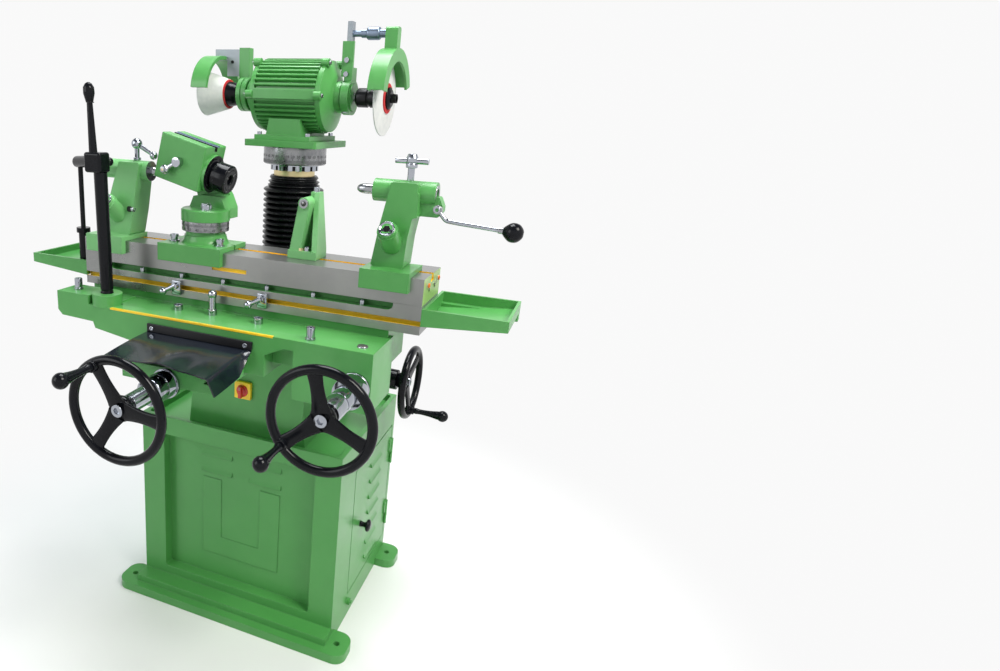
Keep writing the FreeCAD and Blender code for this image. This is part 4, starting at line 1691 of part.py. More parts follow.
def work_spindle():
    """Work spindle with its collar and chuck, hollow for the work."""
    half_x = HEAD_LONG / 2
    drop = -WORK_AXIS_DROP
    tube_front = rod(at(HEAD_PIN_R + BIG_GAP, 0, drop), X_AXIS, CHUCK_FROM - HEAD_PIN_R, 2 * CHUCK_BORE_R)
    collar_x = half_x + WORK_FLANGE_THICK + FREE_GAP
    collar = rod(at(collar_x, 0, drop), X_AXIS, CHUCK_FROM - collar_x + BIG_GAP, CHUCK_COLLAR_R)
    profile = [(CHUCK_FROM, CHUCK_R * 0.8), (CHUCK_FROM + BIG_GAP * 2, CHUCK_R * 0.8), (CHUCK_FROM + BIG_GAP * 3, CHUCK_R)]
    profile += [(CHUCK_TO - BIG_GAP, CHUCK_R), (CHUCK_TO, CHUCK_R * 0.9)]
    chuck = turned(profile, at(0, 0, drop), X_AXIS)
    body = joined(tube_front, collar, chuck)
    bore = rod(at(HEAD_PIN_R + BIG_GAP, 0, drop), X_AXIS, CHUCK_TO, CHUCK_BORE_R)
    return head_frame(body.cut(bore))


def workhead_clamp():
    """Clamping screw through head and cheek with its ball-ended arm."""
    half_y = HEAD_DEEP / 2
    front = -half_y - FREE_GAP
    back = half_y + FREE_GAP + CHEEK_THICK
    pin = rod(at(0, front, 0), Y_AXIS, back - front, HEAD_PIN_R)
    boss = rod(at(0, front, 0), -Y_AXIS, 2 * HEAD_PIN_R, HEAD_PIN_R * 1.4)
    bar_y = front - HEAD_PIN_R
    tip = at(-HEAD_BAR_REACH, -half_y - HEAD_BALL_R - BIG_GAP, -HEAD_BAR_REACH)
    bar = ball_arm(at(0, bar_y, 0), tip, HEAD_BAR_R, HEAD_BAR_R, HEAD_BALL_R)
    washer = rod(at(0, back + SLIDE_GAP, 0), Y_AXIS, BIG_GAP * 2, HEAD_PIN_R * 1.4)
    stub = rod(at(0, back - BIG_GAP, 0), Y_AXIS, BIG_GAP * 2, HEAD_PIN_R)
    body = joined(pin, boss, bar, washer, stub)
    return head_frame(body)


# Wheelhead

def lift_column():
    """Lifting column with the pin that the wheelhead swivels on."""
    high = SCALE_BOTTOM - COLUMN_BOTTOM
    post = rod(at(0, COLUMN_Y, COLUMN_BOTTOM), Z_AXIS, high, COLUMN_R)
    pin = rod(at(0, COLUMN_Y, SCALE_BOTTOM), Z_AXIS, SWIVEL_PIN_LONG, SWIVEL_PIN_R)
    return joined(post, pin)


def index_collar():
    """Brass tie ring and notched index collar round the column's head."""
    brass = rod(at(0, COLUMN_Y, BRASS_BOTTOM), Z_AXIS, INDEX_BOTTOM - BRASS_BOTTOM, BRASS_R)
    collar = rod(at(0, COLUMN_Y, INDEX_BOTTOM), Z_AXIS, SCALE_BOTTOM - INDEX_BOTTOM, INDEX_R)
    for notch in range(INDEX_NOTCHES):
        tooth = block((INDEX_R - NOTCH_DEPTH, INDEX_R + NOTCH_DEPTH), (-NOTCH_WIDTH / 2, NOTCH_WIDTH / 2),
                      (INDEX_BOTTOM, SCALE_BOTTOM - BIG_GAP))
        tooth.rotate(at(0, 0, 0), Z_AXIS, notch * FULL_TURN / INDEX_NOTCHES)
        tooth.translate(at(0, COLUMN_Y, 0))
        collar = collar.cut(tooth)
    bore = rod(at(0, COLUMN_Y, BRASS_BOTTOM), Z_AXIS, SCALE_BOTTOM - BRASS_BOTTOM, COLUMN_R)
    return joined(brass, collar).cut(bore)


def scale_ring():
    """Graduated swivel ring under the motor plate."""
    low = SCALE_BOTTOM + SLIDE_GAP
    profile = [(0, SCALE_R - BIG_GAP), (BIG_GAP, SCALE_R), (PLATE_BOTTOM - low, SCALE_R)]
    ring = turned(profile, at(0, COLUMN_Y, low), Z_AXIS)
    return ring.cut(rod(at(0, COLUMN_Y, low), Z_AXIS, SWIVEL_PIN_LONG + BIG_GAP, SWIVEL_PIN_R + RUN_FIT))


def motor_plate():
    """Plate that carries the motor."""
    plate = block((-PLATE_HALF, PLATE_HALF), (PLATE_FRONT, PLATE_BACK), (PLATE_BOTTOM, PLATE_BOTTOM + PLATE_THICK))
    return softened(plate, PLATE_CORNER, upright)


def end_bell(side):
    """Domed end bell with its hub and the spigot that a guard clamps on."""
    profile = [(MOTOR_HALF, BELL_RIM_R), (BELL_EDGE_HALF - BIG_GAP, BELL_RIM_R), (BELL_EDGE_HALF, BELL_FACE_R)]
    profile += [(BELL_NOSE_HALF, BELL_HUB_R * 1.25), (BELL_NOSE_HALF, BELL_HUB_R), (BELL_HUB_HALF, BELL_HUB_R)]
    profile += [(BELL_HUB_HALF, SPIGOT_R), (SPIGOT_HALF, SPIGOT_R)]
    return turned(profile, at(0, COLUMN_Y, MOTOR_AXIS_Z), X_AXIS * side)


def finned_core():
    """Motor barrel with lengthwise fins, extruded from one toothed outline."""
    outline = []
    for fin in range(FIN_COUNT):
        middle = fin * FULL_TURN / FIN_COUNT
        half_tip = math.degrees(FIN_THICK / 2 / FIN_TIP_R)
        half_root = math.degrees(FIN_THICK * 0.65 / MOTOR_CORE_R)
        for radius, offset in ((MOTOR_CORE_R, -half_root), (FIN_TIP_R, -half_tip), (FIN_TIP_R, half_tip), (MOTOR_CORE_R, half_root)):
            y, z = polar(radius, middle + offset)
            outline.append((COLUMN_Y + y, MOTOR_AXIS_Z + z))
    return side_prism(outline, (-MOTOR_HALF, MOTOR_HALF))


def motor_body():
    """Finned motor with end bells, side ribs, tie-bolt bosses and foot."""
    axis_at = at(-MOTOR_HALF, COLUMN_Y, MOTOR_AXIS_Z)
    body = finned_core()
    rib_z = (MOTOR_AXIS_Z - SIDE_RIB_HEIGHT / 2, MOTOR_AXIS_Z + SIDE_RIB_HEIGHT / 2)
    rib_x = (-MOTOR_HALF, MOTOR_HALF)
    ribs = block(rib_x, (COLUMN_Y - SIDE_RIB_R, COLUMN_Y + SIDE_RIB_R), rib_z)
    crest_y = (COLUMN_Y - SIDE_RIB_HEIGHT / 2, COLUMN_Y + SIDE_RIB_HEIGHT / 2)
    crest = block(rib_x, crest_y, (MOTOR_AXIS_Z, MOTOR_AXIS_Z + FIN_TIP_R))
    body = joined(body, ribs, crest, end_bell(-1), end_bell(1))
    for side in (-1, 1):
        for turn in (0, 180, 60, 120):
            y, z = polar(SIDE_RIB_R - TIE_BOSS_R / 2, turn)
            start = at(side * (BELL_EDGE_HALF + BIG_GAP), COLUMN_Y + y, MOTOR_AXIS_Z + z)
            body = body.fuse(rod(start, X_AXIS * -side, TIE_BOSS_LONG + BIG_GAP, TIE_BOSS_R))
    foot_low = PLATE_BOTTOM + PLATE_THICK
    foot_y = (PLATE_FRONT + FOOT_EDGE, 2 * COLUMN_Y - PLATE_FRONT - FOOT_EDGE)
    foot = block((-FOOT_HALF, FOOT_HALF), foot_y, (foot_low, foot_low + FOOT_THICK))
    outline = [(-PEDESTAL_HALF, foot_low + FOOT_THICK), (PEDESTAL_HALF, foot_low + FOOT_THICK)]
    outline += [(PEDESTAL_TOP_HALF, PEDESTAL_TOP), (-PEDESTAL_TOP_HALF, PEDESTAL_TOP)]
    pedestal = front_prism(outline, (COLUMN_Y - PEDESTAL_Y_HALF, COLUMN_Y + PEDESTAL_Y_HALF))
    body = joined(body, foot, pedestal)
    for side in (-1, 1):
        for end in (-1, 1):
            y = COLUMN_Y + end * (PEDESTAL_Y_HALF + BIG_GAP)
            x = side * (FOOT_HALF - FOOT_BOLT_R - BIG_GAP)
            body = body.fuse(rod(at(x, y, foot_low + FOOT_THICK), Z_AXIS, FOOT_BOLT_HIGH, FOOT_BOLT_R))
    body = body.cut(rod(axis_at, X_AXIS, 2 * MOTOR_HALF, STATOR_BORE_R))
    through = at(-SPIGOT_HALF, COLUMN_Y, MOTOR_AXIS_Z)
    return body.cut(rod(through, X_AXIS, 2 * SPIGOT_HALF, SPINDLE_R + RUN_FIT))


def spindle():
    """Motor spindle: rotor, sleeve, flanges, hubs and nuts."""
    left_end = -(CUP_BACK_X + CUP_WALL + SPINDLE_NUT_LONG)
    washer_x = DISC_X + DISC_THICK
    flange_x = washer_x + WASHER_THICK
    nut_x = flange_x + CLAMP_FLANGE_THICK
    right_end = nut_x + SPINDLE_NUT_LONG
    y = COLUMN_Y
    z = MOTOR_AXIS_Z
    shaft = rod(at(left_end, y, z), X_AXIS, right_end - left_end, SPINDLE_R)
    rotor = rod(at(-ROTOR_HALF, y, z), X_AXIS, 2 * ROTOR_HALF, ROTOR_R)
    collar = turned([(0, SLEEVE_R * 0.7), (BIG_GAP * 2, SLEEVE_R), (DISC_X - SLEEVE_FROM, SLEEVE_R)],
                    at(SLEEVE_FROM, y, z), X_AXIS)
    washer = rod(at(washer_x, y, z), X_AXIS, WASHER_THICK, WASHER_R)
    flange = turned([(0, CLAMP_FLANGE_R), (CLAMP_FLANGE_THICK, CLAMP_FLANGE_R * 0.7)], at(flange_x, y, z), X_AXIS)
    nut = rod(at(nut_x, y, z), X_AXIS, SPINDLE_NUT_LONG, SPINDLE_NUT_R)
    cup_washer_x = CUP_BACK_X - WASHER_THICK
    hub = turned([(0, CUP_HUB_R), (BIG_GAP * 3, CUP_HUB_WAIST_R), (BIG_GAP * 6, CUP_HUB_R * 0.9),
                  (cup_washer_x - CUP_HUB_FROM, CUP_HUB_R)], at(-CUP_HUB_FROM, y, z), -X_AXIS)
    cup_washer = rod(at(-cup_washer_x, y, z), -X_AXIS, WASHER_THICK, CUP_WASHER_R)
    cup_nut = rod(at(-CUP_BACK_X - CUP_WALL, y, z), -X_AXIS, SPINDLE_NUT_LONG, 2 * SPINDLE_R)
    return joined(shaft, rotor, collar, washer, flange, nut, hub, cup_washer, cup_nut)


def disc_wheel():
    """Flat grinding wheel, thinned towards its rim on the outer side."""
    profile = [(0, DISC_R), (DISC_THICK * 0.4, DISC_R), (DISC_THICK, WASHER_R + BIG_GAP)]
    wheel = turned(profile, at(DISC_X, COLUMN_Y, MOTOR_AXIS_Z), X_AXIS)
    return wheel.cut(rod(at(DISC_X, COLUMN_Y, MOTOR_AXIS_Z), X_AXIS, DISC_THICK, SPINDLE_R))


def cup_wheel():
    """Flaring cup grinding wheel, hollow towards its mouth."""
    depth = CUP_MOUTH_X - CUP_BACK_X
    start = at(-CUP_BACK_X, COLUMN_Y, MOTOR_AXIS_Z)
    outside = turned([(0, CUP_BACK_R), (depth, CUP_MOUTH_R)], start, -X_AXIS)
    inside = turned([(CUP_WALL, CUP_BACK_R - CUP_WALL), (depth, CUP_MOUTH_R - CUP_WALL)], start, -X_AXIS)
    return outside.cut(inside).cut(rod(start, -X_AXIS, CUP_WALL, SPINDLE_R))


def cup_radius(reach):
    """Outer radius of the cup wheel at a distance from the column."""
    share = (reach - CUP_BACK_X) / (CUP_MOUTH_X - CUP_BACK_X)
    return CUP_BACK_R + (CUP_MOUTH_R - CUP_BACK_R) * share


def arc_band(outer, inner, x, start, end):
    """Part of a ring about the motor axis between two angles, as thick as its X span."""
    first = at(x[0], *centre_yz(outer, start))
    middle = at(x[0], *centre_yz(outer, (start + end) / 2))
    last = at(x[0], *centre_yz(outer, end))
    back_first = at(x[0], *centre_yz(inner, end))
    back_middle = at(x[0], *centre_yz(inner, (start + end) / 2))
    back_last = at(x[0], *centre_yz(inner, start))
    edges = [Part.Arc(first, middle, last).toShape(), Part.LineSegment(last, back_first).toShape()]
    edges += [Part.Arc(back_first, back_middle, back_last).toShape(), Part.LineSegment(back_last, first).toShape()]
    return Part.Face(Part.Wire(edges)).extrude(X_AXIS * (x[1] - x[0]))


def centre_yz(radius, angle):
    """Y and Z of a point round the motor axis, angle from the back over the top."""
    y, z = polar(radius, angle)
    return COLUMN_Y + y, MOTOR_AXIS_Z + z


def clamp_ring(side, width):
    """Split clamp ring round a motor hub."""
    start = at(side * CLAMP_RING_X, COLUMN_Y, MOTOR_AXIS_Z)
    return rod(start, X_AXIS * side, width, CLAMP_RING_R)


def left_guard():
    """Left guard: clamp ring, post, plate and arched band over the cup wheel."""
    band = arc_band(BAND_R, BAND_R - BAND_THICK, (-BAND_X - BAND_WIDE, -BAND_X), GUARD_START, GUARD_END)
    ring = clamp_ring(-1, CUP_HUB_FROM - BIG_GAP - CLAMP_RING_X)
    notch = sleeve(at(-GUARD_POST_X, COLUMN_Y, MOTOR_AXIS_Z), X_AXIS, BIG_GAP, CLAMP_RING_R + BIG_GAP, CLAMP_RING_R - BIG_GAP)
    ring = ring.cut(notch)
    post_y = (COLUMN_Y + GUARD_POST_Y, COLUMN_Y + GUARD_POST_Y + GUARD_POST_DEEP)
    post = block((-GUARD_POST_X - GUARD_POST_WIDE, -GUARD_POST_X), post_y, (MOTOR_AXIS_Z + CLAMP_RING_R / 2, GUARD_POST_TOP))
    plate_y = (post_y[0], post_y[0] + GUARD_PLATE_THICK)
    post_left = -GUARD_POST_X - GUARD_POST_WIDE
    inner_x = -BAND_X + BIG_GAP
    plate = block((inner_x, post_left), plate_y, (MOTOR_AXIS_Z + cup_radius(BAND_X) + BIG_GAP, GUARD_PLATE_HIGH))
    tongue = block((-GUARD_PLATE_END, inner_x), plate_y, (MOTOR_AXIS_Z + BAND_R - BIG_GAP * 2, GUARD_PLATE_HIGH))
    body = joined(band, ring, post, plate, tongue)
    ring_at = at(-CLAMP_RING_X, COLUMN_Y, MOTOR_AXIS_Z)
    seat = rod(ring_at, -X_AXIS, SPIGOT_HALF, SPIGOT_R + RUN_FIT)
    return body.cut(seat.common(clamp_ring(-1, BAND_X - CLAMP_RING_X)))


def right_guard():
    """Right guard: horseshoe channel over the disc wheel with its clamp block."""
    x = (GUARD_BACK_X, GUARD_FACE_X)
    wall = arc_band(GUARD_R, GUARD_R - GUARD_WALL, x, GUARD_START, GUARD_END)
    face = arc_band(GUARD_R, GUARD_EYE_R, (GUARD_FACE_X - GUARD_WALL, GUARD_FACE_X), GUARD_START, GUARD_END)
    rear = arc_band(GUARD_R, GUARD_EYE_R + GUARD_WALL * 2, (GUARD_BACK_X, GUARD_BACK_X + GUARD_WALL * 0.7), GUARD_START, GUARD_END)
    clamp = block((BLOCK_X, BLOCK_X + BLOCK_WIDE), (COLUMN_Y - BLOCK_HALF_Y, COLUMN_Y + BLOCK_HALF_Y), (BLOCK_BOTTOM, BLOCK_TOP))

    def upper_edge(edge):
        ends = edge.Vertexes
        flat = abs(ends[0].Point.z - BLOCK_TOP) < RUN_FIT and abs(ends[-1].Point.z - BLOCK_TOP) < RUN_FIT
        return flat and abs(ends[0].Point.y - ends[-1].Point.y) < RUN_FIT

    clamp = softened(clamp, BLOCK_HALF_Y / 2, upper_edge)
    body = joined(wall, face, rear, clamp)
    hole = rod(at(BLOCK_X, COLUMN_Y, ROD_Z), X_AXIS, BLOCK_WIDE / 2 + BIG_GAP, ROD_R + RUN_FIT)
    return body.cut(hole)


def guard_bar():
    """Slotted upright bar with the cross rod that carries the right guard."""
    x = (BAR_X - BAR_THICK / 2, BAR_X + BAR_THICK / 2)
    bar = block(x, (COLUMN_Y - BAR_Y_HALF, COLUMN_Y + BAR_Y_HALF), (BAR_BOTTOM, BAR_TOP))
    slot = block(x, (COLUMN_Y - BAR_SLOT_HALF, COLUMN_Y + BAR_SLOT_HALF), (BAR_BOTTOM + BAR_Y_HALF, ROD_Z - 2 * ROD_R))
    start = at(x[1], COLUMN_Y, ROD_Z)
    neck = rod(start, X_AXIS, ROD_NECK_LONG, ROD_NECK_R)
    reach = BLOCK_X + BLOCK_WIDE / 2 - x[1]
    cross = rod(start + X_AXIS * ROD_NECK_LONG, X_AXIS, reach - ROD_NECK_LONG, ROD_R)
    return joined(bar.cut(slot), neck, cross)


def guard_bracket():
    """Clamp ring on the right hub with the channel that holds the guard bar."""
    ring_wide = BAR_X + BAR_THICK / 2 + BRACKET_THICK + SLIDE_GAP - CLAMP_RING_X
    ring = clamp_ring(1, ring_wide)
    channel_x = (CLAMP_RING_X - BRACKET_THICK, CLAMP_RING_X + ring_wide)
    low = MOTOR_AXIS_Z + CLAMP_RING_R / 2
    channel = block(channel_x, (COLUMN_Y - BRACKET_HALF_Y, COLUMN_Y + BRACKET_HALF_Y), (low, BRACKET_TOP))
    gap = SLIDE_GAP
    hollow_x = (BAR_X - BAR_THICK / 2 - gap, BAR_X + BAR_THICK / 2 + gap)
    hollow = block(hollow_x, (COLUMN_Y - BAR_Y_HALF - gap, COLUMN_Y + BRACKET_HALF_Y), (low + BRACKET_THICK, BRACKET_TOP))
    window = block((BAR_X, channel_x[1]), (COLUMN_Y - BAR_SLOT_HALF * 2, COLUMN_Y + BRACKET_HALF_Y),
                   (BAR_BOTTOM + BRACKET_THICK * 3, BRACKET_TOP))
    body = joined(ring, channel.cut(hollow).cut(window))
    hub = rod(at(CLAMP_RING_X - BRACKET_THICK, COLUMN_Y, MOTOR_AXIS_Z), X_AXIS, ring_wide + BRACKET_THICK * 2, SPIGOT_R)
    seat = rod(at(CLAMP_RING_X - BRACKET_THICK, COLUMN_Y, MOTOR_AXIS_Z), X_AXIS, BRACKET_THICK, CLAMP_RING_R + BRACKET_THICK)
    body = body.cut(hub).cut(seat)
    for z in (BAR_BOTTOM + BRACKET_THICK, BAR_BOTTOM + BRACKET_THICK * 5):
        y = COLUMN_Y - BRACKET_HALF_Y
        body = body.fuse(rod(at(BAR_X, y, z), -Y_AXIS, FOOT_BOLT_HIGH, FOOT_BOLT_R))
    return body


NODES = {
    "base_cabinet": base_cabinet,
    "neck_column": neck_column,
    "cross_bed": cross_bed,
    "bellows": bellows,
    "switch_plate": switch_plate,
    "switch_knob": switch_knob,
    "door": door,
    "door_knob": door_knob,
    "cross_bearing": cross_bearing,
    "cross_shaft": cross_shaft,
    "cross_handwheel": cross_handwheel,
    "cross_grip": cross_grip,
    "lift_bearing": lift_bearing,
    "lift_handwheel": lift_handwheel,
    "lift_grip": lift_grip,
    "saddle": saddle,
    "shelf_bolts": shelf_bolts,
    "chute_clamp": chute_clamp,
    "chute_sheet": chute_sheet,
    "quick_lever": quick_lever,
    "traverse_bearing": traverse_bearing,
    "traverse_shaft": traverse_shaft,
    "traverse_handwheel": traverse_handwheel,
    "traverse_grip": traverse_grip,
    "lower_table": lower_table,
    "recess_bolts": recess_bolts,
    "left_tray": left_tray,
    "right_tray": right_tray,
    "table_link": table_link,
    "left_dog": lambda: trip_dog(LEFT_DOG_X),
    "right_dog": lambda: trip_dog(RIGHT_DOG_X),
    "upper_table": upper_table,
    "end_plate": end_plate,
    "left_tailstock": left_tailstock,
    "left_centre": left_centre,
    "left_clamp": left_clamp,
    "workhead_base": workhead_base,
    "workhead_scale": workhead_scale,
    "workhead_yoke": workhead_yoke,
    "workhead_body": workhead_body,
    "work_spindle": work_spindle,
    "workhead_clamp": workhead_clamp,
    "tooth_rest": tooth_rest,
    "rest_plunger": rest_plunger,
    "right_tailstock": right_tailstock,
    "right_quill": right_quill,
    "quill_lever": quill_lever,
    "quill_clamp": quill_clamp,
    "lift_column": lift_column,
    "index_collar": index_collar,
    "scale_ring": scale_ring,
    "motor_plate": motor_plate,
    "motor_body": motor_body,
    "spindle": spindle,
    "disc_wheel": disc_wheel,
    "cup_wheel": cup_wheel,
    "left_guard": left_guard,
    "right_guard": right_guard,
    "guard_bar": guard_bar,
    "guard_bracket": guard_bracket,
}

os.makedirs("parts", exist_ok=True)
for name, make in NODES.items():
    shape = make()
    print(name, len(shape.Solids), shape.isValid(), round(shape.Volume / 1000.0, 1), shape.BoundBox)
    shape.exportStep("parts/" + name + ".step")
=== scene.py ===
import logging
import math
from dataclasses import dataclass, replace
from enum import Enum
from typing import Callable, Sequence

import bpy
import numpy as np
from mathutils import Matrix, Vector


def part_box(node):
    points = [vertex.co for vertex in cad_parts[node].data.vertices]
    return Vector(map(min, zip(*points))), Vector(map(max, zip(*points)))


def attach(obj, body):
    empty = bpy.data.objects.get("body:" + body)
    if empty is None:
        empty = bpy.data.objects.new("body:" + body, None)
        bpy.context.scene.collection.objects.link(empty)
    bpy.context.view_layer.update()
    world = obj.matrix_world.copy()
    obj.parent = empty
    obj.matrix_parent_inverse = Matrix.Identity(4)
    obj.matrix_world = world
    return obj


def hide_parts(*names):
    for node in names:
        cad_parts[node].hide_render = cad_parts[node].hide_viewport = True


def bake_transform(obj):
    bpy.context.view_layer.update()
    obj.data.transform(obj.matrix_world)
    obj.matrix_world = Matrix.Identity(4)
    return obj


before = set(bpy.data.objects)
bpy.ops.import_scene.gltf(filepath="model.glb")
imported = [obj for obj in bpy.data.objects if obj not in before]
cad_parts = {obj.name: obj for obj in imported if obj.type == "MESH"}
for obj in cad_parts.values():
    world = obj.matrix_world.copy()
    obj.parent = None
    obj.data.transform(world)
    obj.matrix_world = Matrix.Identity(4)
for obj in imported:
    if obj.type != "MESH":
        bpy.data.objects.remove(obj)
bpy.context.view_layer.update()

log = logging.getLogger("grinder")
Array = np.ndarray
Vec = tuple[float, float, float]
Colour = tuple[float, float, float]
Profile = Sequence[Sequence[float]]
Zone = Callable[[Array, Array], Array]

# Shapes are in millimetres, as the part's source has them; meshes, finishes and the studio are in metres.
MM = 0.001
X, Y, Z = 0, 1, 2
FULL_TURN = 2.0 * math.pi
ON_AXIS = 0.01
PROUD = 0.12
TINY = 1e-9
CLEARANCE = 0.2


# Shapes

@dataclass(frozen=True)
class Seat:
    """Local axes of a piece: its origin and three unit directions in the machine's frame."""

    origin: Vec
    x: Vec = (1.0, 0.0, 0.0)
    y: Vec = (0.0, 1.0, 0.0)
    z: Vec = (0.0, 0.0, 1.0)

    def place(self, points: Array) -> Array:
        """Carries local points out: origin + px * x + py * y + pz * z."""
        return np.asarray(self.origin) + points @ np.array((self.x, self.y, self.z))

    def at(self, x: float = 0.0, y: float = 0.0, z: float = 0.0) -> "Seat":
        """The same axes at one of the seat's own points."""
        return replace(self, origin=tuple(self.place(np.array((x, y, z)))))

    def around(self, radius: float, degrees: Sequence[float], z: float = 0.0) -> list["Seat"]:
        """The same axes at points round local Z."""
        turns = [math.radians(angle) for angle in degrees]
        return [self.at(radius * math.cos(turn), radius * math.sin(turn), z) for turn in turns]

    def own(self, points: Array) -> Array:
        """Carries the frame's directions into the seat's axes."""
        return points @ np.array((self.x, self.y, self.z)).T


def front_seat(x: float, y: float, z: float) -> Seat:
    """Seat whose local Z looks to the front, for what an operator faces."""
    return Seat((x, y, z), (1.0, 0.0, 0.0), (0.0, 0.0, 1.0), (0.0, -1.0, 0.0))


def right_seat(x: float, y: float, z: float) -> Seat:
    """Seat whose local Z looks along +X."""
    return Seat((x, y, z), (0.0, 1.0, 0.0), (0.0, 0.0, 1.0), (1.0, 0.0, 0.0))


def left_seat(x: float, y: float, z: float) -> Seat:
    """Seat whose local Z looks along -X."""
    return Seat((x, y, z), (0.0, -1.0, 0.0), (0.0, 0.0, 1.0), (-1.0, 0.0, 0.0))


def aimed_seat(origin: Sequence[float], toward: Sequence[float], side: Vec = (0.0, 1.0, 0.0)) -> Seat:
    """Seat whose local Z points from the origin to a point.

    Args:
        origin: where the piece starts.
        toward: what it points at.
        side: direction kept nearest to local Y.

    Returns:
        The seat, with right-handed unit axes.
    """
    z = np.subtract(toward, origin)
    z = z / np.linalg.norm(z)
    x = np.cross(side, z)
    x = x / np.linalg.norm(x)
    return Seat(tuple(origin), tuple(x), tuple(np.cross(z, x)), tuple(z))


@dataclass
class Shell:
    """One surface: its points and its faces of four and of three corners."""

    points: Array
    quads: Array
    triangles: Array

    def seated(self, seat: Seat) -> "Shell":
        """The same surface carried to a seat."""
        return Shell(seat.place(self.points), self.quads, self.triangles)

    def moved(self, x: float, y: float, z: float) -> "Shell":
        """The same surface shifted."""
        return self.seated(Seat((x, y, z)))

    def turned(self, degrees: float) -> "Shell":
        """The same surface turned about Z."""
        c, s = math.cos(math.radians(degrees)), math.sin(math.radians(degrees))
        return self.seated(Seat((0.0, 0.0, 0.0), (c, s, 0.0), (-s, c, 0.0)))


def shell_of(points: Array, quads: Array | None = None, triangles: Array | None = None) -> Shell:
    """Surface from points and one or both kinds of faces."""
    return Shell(points, np.zeros((0, 4), int) if quads is None else quads,
                 np.zeros((0, 3), int) if triangles is None else triangles)


def united(shells: Sequence[Shell]) -> Shell:
    """Several surfaces as one, their corner numbers shifted by the points before them."""
    starts = np.cumsum([0] + [len(shell.points) for shell in shells[:-1]])
    return Shell(np.concatenate([shell.points for shell in shells]),
                 np.concatenate([shell.quads + start for shell, start in zip(shells, starts)]),
                 np.concatenate([shell.triangles + start for shell, start in zip(shells, starts)]))


def grid_faces(rows: int, columns: int, wrap_rows: bool, wrap_columns: bool) -> Array:
    """Faces of a grid of points numbered row by row.

    The face at (i, j) joins the points (i, j), (i, j + 1), (i + 1, j + 1) and (i + 1, j),
    where i + 1 and j + 1 start again at 0 on a side that wraps.
    """
    row, column = np.arange(rows - (not wrap_rows)), np.arange(columns - (not wrap_columns))
    i, j = np.meshgrid(row, column, indexing="ij")
    i, j = i.ravel(), j.ravel()
    down, right = (i + 1) % rows, (j + 1) % columns
    corners = (i * columns + j, i * columns + right, down * columns + right, down * columns + j)
    return np.stack(corners, axis=1)


def loft(sections: Array, ring: bool = False) -> Shell:
    """Surface through closed sections.

    Args:
        sections: points as (section, corner, xyz); every section runs the same way round.
        ring: the last section joins the first; otherwise both ends are closed to their mean point.

    Returns:
        The closed surface.
    """
    rows, columns, _ = sections.shape
    points = sections.reshape(-1, 3)
    quads = grid_faces(rows, columns, ring, True)
    if ring:
        return shell_of(points, quads)
    turn = np.arange(columns)
    following = (turn + 1) % columns
    first = len(points)
    low = np.stack((np.full(columns, first), following, turn), axis=1)
    last = first - columns
    high = np.stack((np.full(columns, first + 1), turn + last, following + last), axis=1)
    ends = sections[[0, -1]].mean(axis=1)
    return Shell(np.concatenate((points, ends)), quads, np.concatenate((low, high)))


def circle(steps: int) -> Array:
    """Angles evenly round a circle, the last one short of the first."""
    return np.linspace(0.0, FULL_TURN, steps, endpoint=False)


def stacked(radii: Array, levels: Array) -> Shell:
    """Surface whose row i has the radius radii[i, j] at the angle t_j, all at the height levels[i]."""
    turn = circle(radii.shape[1])
    rise = np.repeat(np.asarray(levels)[:, None], radii.shape[1], axis=1)
    return loft(np.stack((radii * np.cos(turn), radii * np.sin(turn), rise), axis=2))


def lathe(profile: Array | Profile, steps: int = 64, ring: bool = False) -> Shell:
    """Surface of revolution about local Z.

    Point (i, j) = (radius_i cos t_j, radius_i sin t_j, along_i), with t_j evenly round the circle.

    Args:
        profile: pairs of distance along Z and radius, in the order of rising Z outside.
        steps: points round the axis.
        ring: the profile is a closed loop that doesn't meet the axis.

    Returns:
        The surface.
    """
    along, radius = np.asarray(profile, float).T
    turn = circle(steps)
    sections = np.empty((len(along), steps, 3))
    sections[:, :, :2] = radius[:, None, None] * np.stack((np.cos(turn), np.sin(turn)), axis=1)[None]
    sections[:, :, 2] = along[:, None]
    return loft(sections, ring)


def eased(profile: Array | Profile, radius: float, steps: int = 3, closed: bool = False) -> Array:
    """Profile with its corners rounded.

    Each corner P gives points (1 - t)^2 A + 2 t (1 - t) P + t^2 B, where A and B lie on its two sides
    at the rounding radius, or nearer on a short side.
    """
    p = np.asarray(profile, float)
    back, ahead = np.roll(p, 1, axis=0) - p, np.roll(p, -1, axis=0) - p
    a, b = (p + way * np.minimum(radius / np.maximum(np.linalg.norm(way, axis=1), TINY)[:, None], 0.45)
            for way in (back, ahead))
    t = np.linspace(0.0, 1.0, steps + 1)[None, :, None]
    arcs = (1 - t) ** 2 * a[:, None] + 2 * t * (1 - t) * p[:, None] + t ** 2 * b[:, None]
    if closed:
        return arcs.reshape(-1, p.shape[1])
    return np.concatenate((p[:1], arcs[1:-1].reshape(-1, p.shape[1]), p[-1:]))


def solid(profile: Profile, ease: float, steps: int = 64) -> Shell:
    """Turned solid: the profile's ends are led to the axis and its corners rounded."""
    return lathe(eased([(profile[0][0], ON_AXIS), *profile, (profile[-1][0], ON_AXIS)], ease), steps)


def sleeve(profile: Profile, ease: float, steps: int = 56) -> Shell:
    """Turned ring: the profile is a closed loop clear of the axis, its corners rounded."""
    return lathe(eased(profile, ease, closed=True), steps, ring=True)


def bar(length: float, radius: float, ease: float = 0.8, steps: int = 48, start: float = 0.0) -> Shell:
    """Round bar along local Z with softened ends."""
    return solid([(start, radius), (start + length, radius)], ease, steps)


